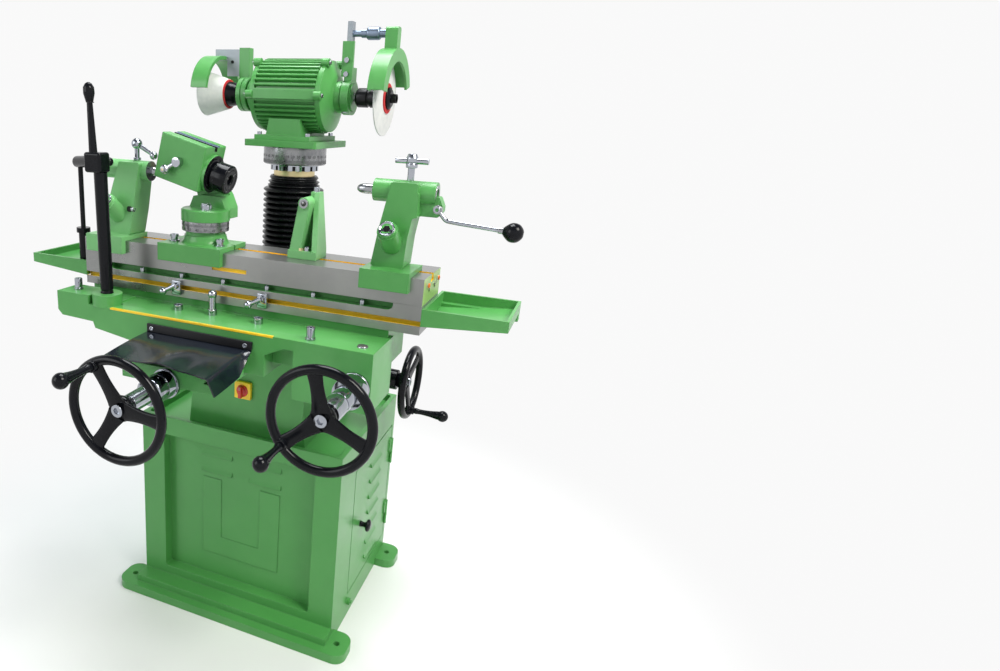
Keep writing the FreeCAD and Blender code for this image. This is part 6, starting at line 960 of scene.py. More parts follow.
@dataclass
class CrossFeed:
    """Bed with the cross feed's bearing, dial and handwheel."""

    axis_z: float = 781.0
    wheel_y: float = -664.0
    hub_long: float = 26.0
    bearing_y: float = -507.0
    bearing_long: float = 33.0
    shaft_hole: float = 10.2
    dial: float = 29.0
    collar: float = 32.0
    neck: float = 19.0
    screw_long: float = 337.0

    def build(self) -> None:
        """Makes the bed and the cross feed."""
        log.info("cross feed")
        dressed("cross_bed", "base")
        long, r = self.bearing_long, self.dial
        seat = front_seat(0.0, self.bearing_y, self.axis_z)
        body = sleeve([(0.0, self.shaft_hole), (0.0, self.collar), (8.0, self.collar), (8.0, r), (long, r),
                       (long, self.shaft_hole)], 0.8, 64)
        zero = rounded_block((-0.4, r - 0.2, 24.0), (0.4, r + 0.2, 32.0), 0.1)
        placed("cross bearing", "base", on(seat, (body, CHROME), (zero, INK)), ["cross_bearing"])
        start = self.bearing_y - long - CLEARANCE
        reach = start - self.wheel_y - self.hub_long
        dial = solid([(0.0, r), (30.0, r), (33.0, r - 3.0), (33.0, self.neck), (reach, self.neck)], 0.8, 72)
        more = on(front_seat(0.0, start, self.axis_z), (dial, CHROME),
                  (marks(r, 0.4, 4.0, 7.0, 100, 10, 0.4), INK), (numerals(range(10), r, 8.5, 4.2), INK),
                  (marks(r, 20.0, 9.0, 9.0, 72, 1, 0.9), CHROME))
        rear = Seat((0.0, self.bearing_y, self.axis_z), (1.0, 0.0, 0.0), (0.0, 0.0, -1.0), (0.0, 1.0, 0.0))
        more += on(rear, (bar(self.screw_long, 8.0), STEEL))
        wheel = Handwheel("cross", 109.0, front_seat(0.0, self.wheel_y, self.axis_z), 118.0)
        wheel.build(["cross_handwheel", "cross_shaft"], more)


# Lift

@dataclass
class Lift:
    """Handwheel of the wheelhead's lift on the right side of the neck."""

    wheel_x: float = 354.0
    axis_y: float = 100.0
    axis_z: float = 645.0
    bevel_long: float = 16.0

    def build(self) -> None:
        """Makes the lift wheel with its shaft and bevel disc."""
        log.info("lift")
        seat = right_seat(self.wheel_x, self.axis_y, self.axis_z)
        inner = box("lift_handwheel")[0][X] - self.wheel_x
        bevel = solid([(inner, 18.0), (inner + self.bevel_long, 24.0)], 0.8, 48)
        more = on(seat, (bar(-inner, 10.0, start=inner), STEEL), (bevel, STEEL))
        Handwheel("lift", 99.0, seat, 277.0).build(["lift_handwheel"], more)


# Saddle

@dataclass
class Saddle:
    """Saddle casting with its bolts, chute sheet and traverse handwheel."""

    front: float = -382.0
    shelf: float = 875.0
    low_bolts: tuple[Vec, ...] = ((-104.0, -302.0, 872.0), (104.0, -302.0, 872.0))
    tall_bolts: tuple[Vec, ...] = ((252.0, -357.0, 875.0), (-358.0, -345.0, 896.0))
    plug: Vec = (362.0, -347.0, 875.0)
    stop: Vec = (-16.0, -296.0, 872.0)
    # Span of the painted reflection of the table's yellow slot along the shelf.
    strip_x: tuple[float, float] = (-238.0, 178.0)
    sheet_half: float = 132.0
    sheet_thick: float = 2.9
    sheet_front: float = -542.0
    sheet_foot: float = 835.0
    sink: float = 11.0
    arch_high: float = 8.0
    arch_wide: float = 46.0
    sag: float = 2.0
    beside_drop: float = 5.0
    tail_drop: float = 34.0
    ripple: float = 0.6
    bed_near: float = 67.2
    bed_edge: float = 115.0
    bend: float = 6.0
    axis_x: float = 362.0
    axis_z: float = 799.0
    wheel_y: float = -557.0
    hub_long: float = 26.0

    def bolts(self) -> None:
        """Socket screws, plug and centre stop on the shelf."""
        parts = [(socket_screw(10.5, 13.5, 1.4).moved(*spot), CHROME) for spot in self.low_bolts]
        for x, y, z in self.tall_bolts:
            parts.append((socket_screw(9.2, 27.0, 1.4).moved(x, y, z), CHROME))
            parts.append((bar(5.0, 11.0, 1.2).moved(x, y, z - 0.6), CHROME))
        parts.append((solid([(0.0, 12.0), (3.0, 10.5)], 0.8).moved(*self.plug), STEEL))
        r, head = 10.5, 48.0
        shank = eased([(0.0, r), (13.0, r), (13.2, 8.5), (38.0, 8.5)], 0.6)
        knob = [(head - r * math.cos(t), r * math.sin(t)) for t in np.linspace(0.9, 3.1, 12)]
        pin = lathe([(0.0, ON_AXIS), *shank, *knob, (head + r, ON_AXIS)], 40)
        parts.append((pin.moved(*self.stop), CHROME))
        placed("shelf bolts", "saddle", parts, ["shelf_bolts"])

    def chute(self) -> None:
        """Rubber sheet that bends forward from its strip, over the feed screw, and hangs at its right corner.

        The height at (x, s) is the strip's foot sinking to the front, plus an arch of a bell curve about
        x = 0 and less a tail beyond the bed's right edge, as the sheet's solid has it.
        """
        half, bend, root = self.sheet_half, self.bend, self.front - 1.5
        edge, near = self.bed_edge, self.bed_near
        x = np.linspace(-half, half, 81)[None, :]
        reach = np.linspace(0.0, 1.0, 41)[:, None]
        level = self.sheet_foot - self.sink * reach
        arch = self.arch_high * reach * np.exp(-(x / self.arch_wide) ** 2)
        sag = self.sag * np.sin(math.pi * reach) * (x / half)
        beside = np.minimum(np.clip(x - near, 0.0, None), edge - near) / (half - near)
        tail = self.tail_drop * np.minimum(1.0, 3 * reach) * np.clip(x - edge, 0.0, None) / (half - edge)
        ripple = self.ripple * reach * np.sin(x * 0.09 + 0.6)
        z = level + arch - sag - self.beside_drop * reach * beside - tail + ripple + 1.5
        y = root - bend + (self.sheet_front - root + bend) * reach + 0 * x
        rows = [(root, np.full(x.shape[1], high)) for high in np.linspace(856.5, 842.5, 5)]
        rows += [(root - bend * (1 - math.cos(t)), z[0] + bend * (1 - math.sin(t)))
                 for t in np.linspace(0.0, math.pi / 2, 9)[:-1]]
        upper = np.array([np.stack((x[0], np.full(x.shape[1], deep), high), axis=1) for deep, high in rows])
        middle = np.concatenate((upper, np.stack((np.broadcast_to(x, z.shape), y, z), axis=2)))
        parts = [(slab(middle, self.sheet_thick), SHEET_RUBBER)]
        piece = placed("chute sheet", "saddle", parts, ["chute_sheet"], angle=60.0)

    def strip(self) -> None:
        """Strip that holds the sheet, with its two screws."""
        low, high = box("chute_clamp")
        face = high[Y] - 4.0
        parts = [(rounded_block((low[X], face, low[Z]), high, 1.2), BLACK_OXIDE)]
        for side in (-1, 1):
            seat = front_seat(side * 118.0, face, (low[Z] + high[Z]) / 2)
            parts += on(seat, (socket_screw(5.0, 3.0, 0.5), CHROME))
        placed("chute strip", "saddle", parts, ["chute_clamp"])

    def traverse(self) -> None:
        """Bearing, dial and handwheel of the table traverse."""
        low, high = box("traverse_bearing")
        long, r, hole = high[Y] - low[Y], 33.0, 10.2
        cover = sleeve([(0.0, hole), (0.0, r), (6.0, r), (6.5, r - 1.5), (10.0, r - 1.5), (10.5, r),
                        (long, r), (long, hole)], 1.2, 64)
        parts = on(front_seat(self.axis_x, high[Y], self.axis_z), (cover, CHROME),
                   (marks(r, long - 10.0, 4.0, 7.0, 60, 5, 0.4), INK))
        placed("traverse bearing", "saddle", parts, ["traverse_bearing"])
        start = low[Y] - CLEARANCE
        reach, r, waist = start - self.wheel_y - self.hub_long, 23.0, 20.0
        middle = reach / 2
        dial = solid([(0.0, r), (middle, r), (middle + 0.3, waist), (middle + 2.7, waist),
                      (middle + 3.0, r), (reach, r)], 0.6)
        ribs = reach - middle - 14.0
        more = on(front_seat(self.axis_x, start, self.axis_z), (dial, CHROME),
                  (marks(r, middle + 10.0, ribs, ribs, 56, 1, 0.9), CHROME))
        wheel = Handwheel("traverse", 107.0, front_seat(self.axis_x, self.wheel_y, self.axis_z), 220.0)
        wheel.build(["traverse_handwheel", "traverse_shaft"], more)

    def build(self) -> None:
        """Makes the saddle with a yellow strip along its shelf's edge and top, a painted reflection of the
        table's yellow slot.
        """
        log.info("saddle")
        left, right = self.strip_x
        front, shelf, top = self.front, self.shelf, self.shelf + 0.4
        # Painted reflection: two yellow blocks on the shelf's front edge and top stand in for the table's
        # yellow slot mirrored there.
        edge = rounded_block((left, front - 0.4, shelf - 3.5), (right, front + 3.0, top), 0.3)
        flat = rounded_block((left, front + 0.5, shelf - 1.0), (right, front + 7.0, top), 0.3)
        dressed("saddle", "saddle", extra=[(edge, YELLOW), (flat, YELLOW)])
        self.bolts()
        self.strip()
        self.chute()
        self.traverse()


# Traverse lever

@dataclass
class TraverseLever:
    """Upright lever with its offset handle, and the link from the table."""

    foot: Vec = (-268.0, -352.0, 901.0)
    lean: float = 1.0
    handle: tuple[float, float] = (-17.0, 319.0)

    def build(self) -> None:
        """Makes the lever and the link."""
        log.info("traverse lever")
        c, s = math.cos(math.radians(self.lean)), math.sin(math.radians(self.lean))
        post = Seat(self.foot, (c, 0.0, s), (0.0, 1.0, 0.0), (-s, 0.0, c))
        ring = sleeve([(103.5, 6.0), (103.5, 8.2), (105.5, 8.2), (105.5, 6.0)], 0.4, 36)
        aside, up = self.handle
        extra = on(post.at(aside, 0.0, up), (ring, BLACK_OXIDE))
        dressed("quick_lever", "lever", BLACK_GLOSS, extra=extra, angle=35.0)
        dressed("table_link", "table", BLACK_GLOSS, angle=35.0)


# Table

@dataclass
class Dog:
    """Trip dog with its ball lever."""

    side: str
    x: float
    face: float = -270.2
    thick: float = 10.0
    half: float = 12.0
    boss_z: float = 922.5

    def build(self) -> None:
        """Makes the dog."""
        front = self.face - self.thick
        plate = rounded_block((self.x - self.half, front, 900.0), (self.x + self.half, self.face, 934.0), 2.2)
        inner = self.half - 0.2
        tongue = rounded_block((self.x - inner, self.face - 1.0, 912.2),
                               (self.x + inner, self.face + 5.0, 922.8), 0.6)
        boss = bar(9.0, 8.2, 1.6).seated(front_seat(self.x, front, self.boss_z))
        root = np.array((self.x, front - 4.5, self.boss_z))
        arm = ball_lever(root, root + (-26.0, -10.0, -14.0), 6.2, 5.0, 9.2)
        parts = [(plate, CHROME), (tongue, STEEL), (boss, CHROME), (arm, CHROME)]
        placed(f"{self.side} dog", f"{self.side}_stop_dog", parts, [f"{self.side}_dog"])


@dataclass
class Table:
    """Lower table with recess and trip slot, swivelling table with its T-slot, and the trays."""

    front: float = -270.0
    slot_y: float = -198.0
    slot_half: float = 13.0
    slot_z: tuple[float, float] = (980.0, 1009.8)
    bolt_first: float = -234.0
    bolt_pitch: float = 112.0
    bolt_z: float = 938.0
    bolts: int = 6
    end_screw_z: float = 993.0
    end_screw_inset: float = 28.0

    def lower(self) -> None:
        """Lower table: ground bands, green recess with its bolts, yellow trip slot."""
        skin = self.front + 0.6
        recess = both(between(Z, 937.5, 953.7), between(Y, skin, -240.0), between(X, -319.5, 396.5))
        slot = both(between(Z, 911.9, 923.1), between(Y, skin, -255.0))
        under = both(facing(Z, -1.0), between(Z, 0.0, 905.0))
        dressed("lower_table", "table", GROUND_STEEL,
                [(recess, GREEN), (slot, YELLOW), (under, GREEN)])
        low, high = box("recess_bolts")
        y = (low[Y] + high[Y]) / 2
        places = [self.bolt_first + self.bolt_pitch * k for k in range(self.bolts)]
        bolts = [(socket_screw(6.0, 10.0).moved(x, y, self.bolt_z), CHROME) for x in places]
        placed("recess bolts", "table", bolts, ["recess_bolts"])

    def upper(self) -> None:
        """Swivelling table: ground top and sides, yellow in the T-slot and in the small front window."""
        sides = between(Y, self.slot_y - self.slot_half, self.slot_y + self.slot_half)
        trough = both(sides, between(Z, *self.slot_z))
        window = both(between(X, -33.2, 55.2), between(Y, self.front + 0.2, -262.0), between(Z, 969.8, 979.2))
        dressed("upper_table", "swivel_table", GROUND_STEEL,
                [(trough, YELLOW), (window, YELLOW)])
        walls = both(trough, lambda centres, normals: np.abs(normals[:, X]) < 0.5)
        low, high = box("end_plate")
        screws = []
        for y in (low[Y] + self.end_screw_inset, high[Y] - self.end_screw_inset):
            seat = right_seat(high[X] - 0.2, y, self.end_screw_z)
            screws += on(seat, (socket_screw(5.0, 3.0, 0.5), ORANGE))
        # The end's green is drawn lighter and yellower as painted light from the right.
        dressed("end_plate", "swivel_table", finish=END_PAINT_WITH_WARM_PAINTED_LIGHT, extra=screws,
                zones=[(facing(Z, 1.0, 0.7), GROUND_STEEL), (facing(Y, -1.0, 0.7), GROUND_STEEL),
                       (walls, YELLOW)])

    def build(self) -> None:
        """Makes both tables, the trays and the dogs."""
        log.info("table")
        self.lower()
        self.upper()
        dressed("left_tray", "table")
        dressed("right_tray", "table")
        Dog("left", -125.0).build()
        Dog("right", 100.0).build()


# Attachments on the table

@dataclass
class Tailstocks:
    """Left and right centres' holders with their clamps."""

    centre_y: float = -215.0
    centre_z: float = 1174.0
    cap_y: float = -284.0
    cap_z: float = 1102.0
    cap_lean: float = 38.0
    cap_thick: float = 7.8
    cap_x: tuple[float, float] = (-312.0, 375.0)
    barrel_end: float = 452.0
    side_screw: Vec = (-274.5, -244.0, 1084.0)
    left_clamp_x: float = -272.0
    tee_x: float = 395.0
    tee_z: float = 1235.0
    tee_foot: float = 1221.0
    tee_half: float = 34.0
    tee_hub: Profile = ((0.0, 8.4), (1.0, 11.8), (8.0, 11.8), (9.0, 10.0), (11.0, 10.0), (12.0, 12.0),
                        (20.0, 12.0), (28.0, 8.4))
    lever_y: float = -233.2
    pivot: tuple[float, float] = (460.0, 1146.0)
    knee: tuple[float, float] = (478.0, 1125.0)
    tip: tuple[float, float] = (608.0, 1115.0)
    bulb: float = 19.0
    bulb_shape: Profile = ((-1.0, 0.36), (-0.8, 0.58), (-0.4, 0.90), (0.0, 1.0), (0.5, 0.90),
                           (0.85, 0.58), (1.0, 0.3))

    def cap(self, x: float) -> tuple[Zone, list[Part]]:
        """The bright cap's zone on its holder, and the ring and socket on its face.

        The cap leans up from the front.
        """
        turn = math.radians(self.cap_lean)
        c, s = math.cos(turn), math.sin(turn)
        seat = Seat((x, self.cap_y, self.cap_z), (1.0, 0.0, 0.0), (0.0, s, c), (0.0, -c, s))

        def zone(centres: Array, normals: Array) -> Array:
            """Faces just beyond the cap's face and within its radius of the boss's axis."""
            p = seat.own(centres - np.array(seat.origin))
            return (p[:, Z] > self.cap_thick + 0.2) & (np.hypot(p[:, X], p[:, Y]) < 18.5)

        dish = sleeve([(-0.4, 12.0), (-0.4, 16.6), (2.2, 16.0), (2.2, 14.6), (0.2, 11.8)], 0.4)
        return zone, on(seat.at(z=self.cap_thick), (dish, CHROME), (hex_nut(7.8, 0.7, 0.1), BLACK_OXIDE))

    def left(self) -> None:
        """Left holder with its side screw, fixed centre and ball clamp."""
        cap, face = self.cap(self.cap_x[0])
        bore = both(between(X, -236.0, -230.0), facing(X, 1.0))
        seat = right_seat(*self.side_screw)
        screw = on(seat, (bar(10.0, 7.5, 0.8, 36, start=-6.0), BLACK_OXIDE))
        screw += on(seat.at(z=3.8), (socket_screw(6.2, 7.0, 1.0, 24), CHROME))
        # The holder's green is drawn lighter as painted light.
        dressed("left_tailstock", "left_stock", finish=GREEN_WITH_PAINTED_LIGHT, zones=[(cap, CHROME), (bore, STEEL)],
                extra=face + screw)
        seat, long = end_seat("left_centre", right_seat, X, False)
        low, high = box("left_centre")
        r = (high[Y] - low[Y]) / 2
        outline = [(0.0, ON_AXIS), (0.0, r), (long - 18.0, r), (long - 0.5, 1.8), (long, ON_AXIS)]
        parts = on(seat, (lathe(eased(outline, 0.8), 48), STEEL))
        placed("left centre", "left_stock", parts, ["left_centre"])
        x, y, z = self.left_clamp_x, self.centre_y, self.centre_z
        top = (x, y, z + 61.0)
        parts = [(ball_lever((x, y, z + 11.0), top, 6.0, 6.0, 13.0), CHROME),
                 (bar(6.0, 9.0, 1.2, 40).moved(x, y, z + 23.5), CHROME),
                 (ball_lever(top, (x + 38.0, y + 13.0, z + 35.0), 6.0, 4.2, 9.75), CHROME)]
        placed("left clamp", "left_stock_clamp", parts, ["left_clamp"])

    def quill(self) -> None:
        """Sprung quill with its rounded nose, radius r cos(t)^0.8 at the distance 20 sin(t) along it."""
        low, high = box("right_quill")
        seat, long = left_seat(high[X], self.centre_y, self.centre_z), high[X] - low[X]
        r, nose_long = 10.5, 20.0
        turn = np.linspace(0.0, 1.45, 9)
        body = eased([(0.0, 0.0), (0.0, r), (long - nose_long, r)], 0.8)[1:]
        nose = np.stack((long - nose_long + nose_long * np.sin(turn), r * np.cos(turn) ** 0.8), axis=1)
        outline = [(0.0, ON_AXIS), *body, *nose, (long, ON_AXIS)]
        placed("right quill", "quill", on(seat, (lathe(outline, 48), STEEL)), ["right_quill"])

    def right(self) -> None:
        """Right holder, its sprung quill, cranked lever and cross clamp."""
        cap, face = self.cap(self.cap_x[1])
        y, z = self.centre_y, self.centre_z
        ring = sleeve([(-1.0, 10.8), (-1.0, 17.2), (1.2, 17.2), (1.2, 10.8)], 0.5)
        face += on(right_seat(self.barrel_end, y, z), (ring, STEEL))
        dressed("right_tailstock", "right_stock", zones=[(cap, CHROME)], extra=face)
        self.quill()
        self.lever()
        cross = bar(2 * self.tee_half, 6.0, 1.4).seated(right_seat(self.tee_x - self.tee_half, y, self.tee_z))
        parts = [(solid(self.tee_hub, 1.0, 40).moved(self.tee_x, y, self.tee_foot), CHROME), (cross, CHROME),
                 (bar(63.0, 7.0).moved(self.tee_x, y, z + 10.5), CHROME)]
        placed("quill clamp", "quill_screw", parts, ["quill_clamp"])

    def lever(self) -> None:
        """Cranked lever: hub, crank, bent rod and black ball."""
        start, knee, tip = (np.array((x, self.lever_y, z)) for x, z in (self.pivot, self.knee, self.tip))
        down, reach = (knee - start) / np.linalg.norm(knee - start), tip - knee
        run = reach / np.linalg.norm(reach)
        path = flowing([start + down * 7.0, start + down * 16.0, knee + (1.0, 0.0, 1.0), knee + reach * 0.12,
                        knee + reach * 0.5, tip], 8)
        r = self.bulb
        bulb = lathe([(-r, ON_AXIS), *flowing(np.array(self.bulb_shape) * r, 4), (r, ON_AXIS)], 40)
        pivot = front_seat(*start)
        hub = sleeve([(0.0, 4.55), (0.0, 9.0), (10.0, 9.0), (10.0, 4.55)], 0.8, 40)
        parts = on(pivot.at(z=-5.0), (hub, STEEL))
        parts += on(pivot.at(z=4.8), (socket_screw(6.8, 4.0, 1.0, 24), CHROME))
        parts += [(tube(path, 4.5, 20, (0.0, 1.0, 0.0)), CHROME)]
        parts += on(aimed_seat(tip - run * 28.0, tip), (bar(12.0, 6.2, 1.0), STEEL))
        parts += on(aimed_seat(tip, tip + run), (bulb, BLACK_GLOSS))
        placed("quill lever", "quill_handle", parts, ["quill_lever"])

    def build(self) -> None:
        """Makes both holders."""
        log.info("tailstocks")
        self.left()
        self.right()


@dataclass
class Workhead:
    """Workhead: foot, graduated swivel, yoke, tilting head and chuck."""

    pivot: Vec = (-128.0, -209.0, 1203.5)
    tilt: float = 14.2
    spindle_drop: float = 10.0
    swivel: tuple[float, float] = (-83.0, -215.0)
    scale: float = 55.0
    scale_numbers: tuple[int, ...] = (0, 1, 2, 3, 4, 5, 6, 7, 8, 9, 8, 7, 6, 5, 4, 3, 2, 1)
    nut: tuple[float, float] = (-66.0, -240.0)
    bolts: tuple[tuple[float, float], ...] = ((-149.0, -246.0), (-27.0, -246.0))
    foot_z: float = 1021.2
    flange: float = 67.5
    flare: Profile = ((0.0, 60.0), (3.0, 55.5), (9.0, 51.5), (19.0, 49.0))
    chuck_outline: Profile = ((11.5, 10.0), (11.5, 20.0), (68.0, 20.0), (68.0, 36.5), (70.0, 36.5),
                              (72.0, 26.4), (75.0, 26.4), (76.5, 33.0), (110.0, 33.0), (113.0, 29.7),
                              (113.0, 24.0), (112.2, 22.5), (112.2, 13.0), (110.0, 10.0))

    def axes(self) -> Seat:
        """Seat of the tilted head, its local X along the spindle."""
        c, s = math.cos(math.radians(self.tilt)), math.sin(math.radians(self.tilt))
        return Seat(self.pivot, (c, 0.0, -s), (0.0, 1.0, 0.0), (s, 0.0, c))

    def spindle(self) -> Seat:
        """Seat on the work spindle's axis, local Z along it."""
        axes = self.axes()
        return Seat(axes.at(z=-self.spindle_drop).origin, axes.y, axes.z, axes.x)

    def local(self, test: Callable[[Array, Array], Array]) -> Zone:
        """Zone tested in the tilted head's own axes."""
        axes = self.axes()
        return lambda centres, normals: test(axes.own(centres - np.array(axes.origin)), axes.own(normals))

    def head(self) -> None:
        """Tilting head: green box, steel strip with its slot in painted shade, dark flange with its screws.
        """
        strip = self.local(lambda p, n: (np.abs(p[:, Y]) < 16.5) & (p[:, Z] > 47.0) & (n[:, Z] > -0.5))
        # The slot's faces get near black as painted shade.
        slot = self.local(lambda p, n: (np.abs(p[:, Y]) < 6.2) & (p[:, Z] > 39.0) & (p[:, Z] < 49.2))
        drop = self.spindle_drop
        rim = self.local(lambda p, n: (p[:, X] > 67.2) & (np.hypot(p[:, Y], p[:, Z] + drop) < 37.2))
        seats = self.spindle().around(39.8, range(30, 390, 60), self.flange - 0.7)
        screws = [(socket_screw(1.7, 1.0, 0.2, 24).seated(seat), BLACK_OXIDE) for seat in seats]
        dressed("workhead_body", "work_housing", extra=screws,
                zones=[(strip, BLUE_STEEL), (slot, SLOT_PAINTED_SHADE), (rim, BLACK_OXIDE)])

    def chuck(self) -> None:
        """Chuck and its collar, with slots and screws across its face."""
        seat = self.spindle()
        slot = rounded_block((12.0, -2.0, 111.5), (22.2, 2.0, 112.8), 0.3)
        parts = on(seat, (sleeve(self.chuck_outline, 0.8, 72), BLACK_GLOSS),
                   *((slot.turned(angle), DARK_STEEL) for angle in range(40, 400, 120)))
        for spot in seat.around(27.5, range(10, 370, 60), 112.6):
            parts += on(spot, (socket_screw(2.0, 1.0, 0.2, 24), DARK_STEEL))
        parts += on(seat, (marks(33.0, 80.0, 6.0, 6.0, 60, 1, 1.2), BLACK_OXIDE))
        placed("work spindle", "work_chuck", parts, ["work_spindle"])

    def clamp(self) -> None:
        """Clamping screw with its ball-ended bar, and its end behind the cheek."""
        axes, front = self.axes(), -46.5
        side = Seat(axes.at(y=front).origin, axes.x, axes.z, (0.0, -1.0, 0.0))
        pin = Seat(side.origin, axes.x, tuple(-np.array(axes.z)), (0.0, 1.0, 0.0))
        tip = np.array(axes.at(-24.0, -60.0, -24.0).origin)
        end = replace(side, origin=tuple(tip + (0.0, -9.2, 0.0)))
        parts = on(side, (bar(16.0, 11.2, 1.4, 40), CHROME))
        parts += on(pin, (bar(112.0, 8.0), STEEL), (bar(6.0, 11.2, start=109.2), STEEL))
        parts += [(ball_lever(axes.at(y=front - 8.0).origin, tip, 5.5, 5.5, 11.0), CHROME)]
        parts += on(end, (bar(2.8, 6.4, 0.6), STEEL), (bar(3.2, 2.6, 0.4), BRASS))
        placed("workhead clamp", "tilt_clamp", parts, ["workhead_clamp"])

    def round_spot(self, spot: tuple[float, float], radius: float, low: float, high: float) -> Zone:
        """Zone of the faces round an upright axis, between two heights."""
        return both(between(Z, low, high), lambda centres, normals: off_axis(*spot)(centres) < radius)

    def base(self) -> None:
        """Graduated ring, yoke with its nut, and the foot."""
        low, high = box("workhead_scale")
        tall, r = high[Z] - low[Z], self.scale
        ring = sleeve([(0.0, 20.0), (0.0, r), (tall, r), (tall, 20.0)], 0.8, 96)
        figures = numerals([10 * number for number in self.scale_numbers], r, 3.0, 6.0)
        parts = on(Seat((*self.swivel, low[Z])), (ring, DIAL_STEEL),
                   (marks(r, tall - 10.5, 5.5, 9.5, 120, 5, 0.8), INK), (figures, INK))
        placed("workhead scale", "work_head", parts, ["workhead_scale"])
        nut = self.round_spot(self.nut, 13.8, 1099.8, 1112.5)
        dressed("workhead_yoke", "work_yoke", zones=[(nut, CHROME)],
                extra=[(hex_nut(12.2, 4.0).moved(*self.nut, 1110.6), CHROME)])
        foot = self.foot_z
        zones = [(self.round_spot(spot, 8.8, foot, 1040.0), CHROME) for spot in self.bolts]
        heads = [(socket_screw(10.0, 6.0, 1.2).moved(*spot, foot + 10.3), CHROME) for spot in self.bolts]
        heads += [(bar(3.0, 12.0, 1.0).moved(*spot, foot - 0.4), CHROME) for spot in self.bolts]
        heads += [(lathe(flowing(self.flare, 5), 72).moved(*self.swivel, foot - 0.6), GREEN)]
        dressed("workhead_base", "work_head", zones=zones, extra=heads)

    def build(self) -> None:
        """Makes the workhead."""
        log.info("workhead")
        self.base()
        self.head()
        self.chuck()
        self.clamp()


@dataclass
class ToothRest:
    """Ribbed bracket with its sprung plunger."""

    boss: Vec = (168.0, -225.0, 1132.0)
    foot_screw: Vec = (176.0, -213.5, 1027.8)
    foot_nut: Vec = (163.5, -218.5, 1027.8)
    top_screw: Vec = (177.0, -174.0, 1153.8)
    plunger: Profile = ((-10.0, 2.2), (-5.0, 5.0), (63.5, 5.0), (63.5, 8.0), (73.0, 8.0))

    def build(self) -> None:
        """Makes the rest."""
        log.info("tooth rest")
        screws = [(socket_screw(7.0, 9.0, 1.0, 24).moved(*self.foot_screw), CHROME),
                  (hex_nut(5.5, 6.0).moved(*self.foot_nut), BRASS),
                  (socket_screw(6.6, 10.0, 1.0, 24).moved(*self.top_screw), CHROME)]
        face = sleeve([(0.0, 5.3), (0.0, 10.4), (2.5, 10.4), (2.5, 5.3)], 0.6, 48)
        screws += on(front_seat(*self.boss).at(z=-0.4), (face, STEEL))
        # The rest's green is drawn lighter as painted light.
        dressed("tooth_rest", "rest", finish=GREEN_WITH_PAINTED_LIGHT, extra=screws)
        seat = Seat(self.boss, (0.0, 0.0, 1.0), (1.0, 0.0, 0.0), (0.0, 1.0, 0.0))
        parts = on(seat, (solid(self.plunger, 0.8, 32), DARK_STEEL))
        placed("rest plunger", "plunger", parts, ["rest_plunger"])


# Wheelhead

@dataclass
class Column:
    """Lifting column with the index collar round its head."""

    axis_y: float = 100.0
    notch_root: float = 60.5
    brass_z: tuple[float, float] = (1160.5, 1175.2)
    collar_top: float = 1220.0

    def build(self) -> None:
        """Makes the column."""
        log.info("column")
        dressed("lift_column", "column", STEEL)
        edge = both(between(Z, self.brass_z[1], self.collar_top),
                    lambda centres, normals: off_axis(0.0, self.axis_y)(centres) > self.notch_root)
        dressed("index_collar", "column", BLACK_OXIDE,
                [(edge, CHROME), (between(Z, *self.brass_z), BRASS)])


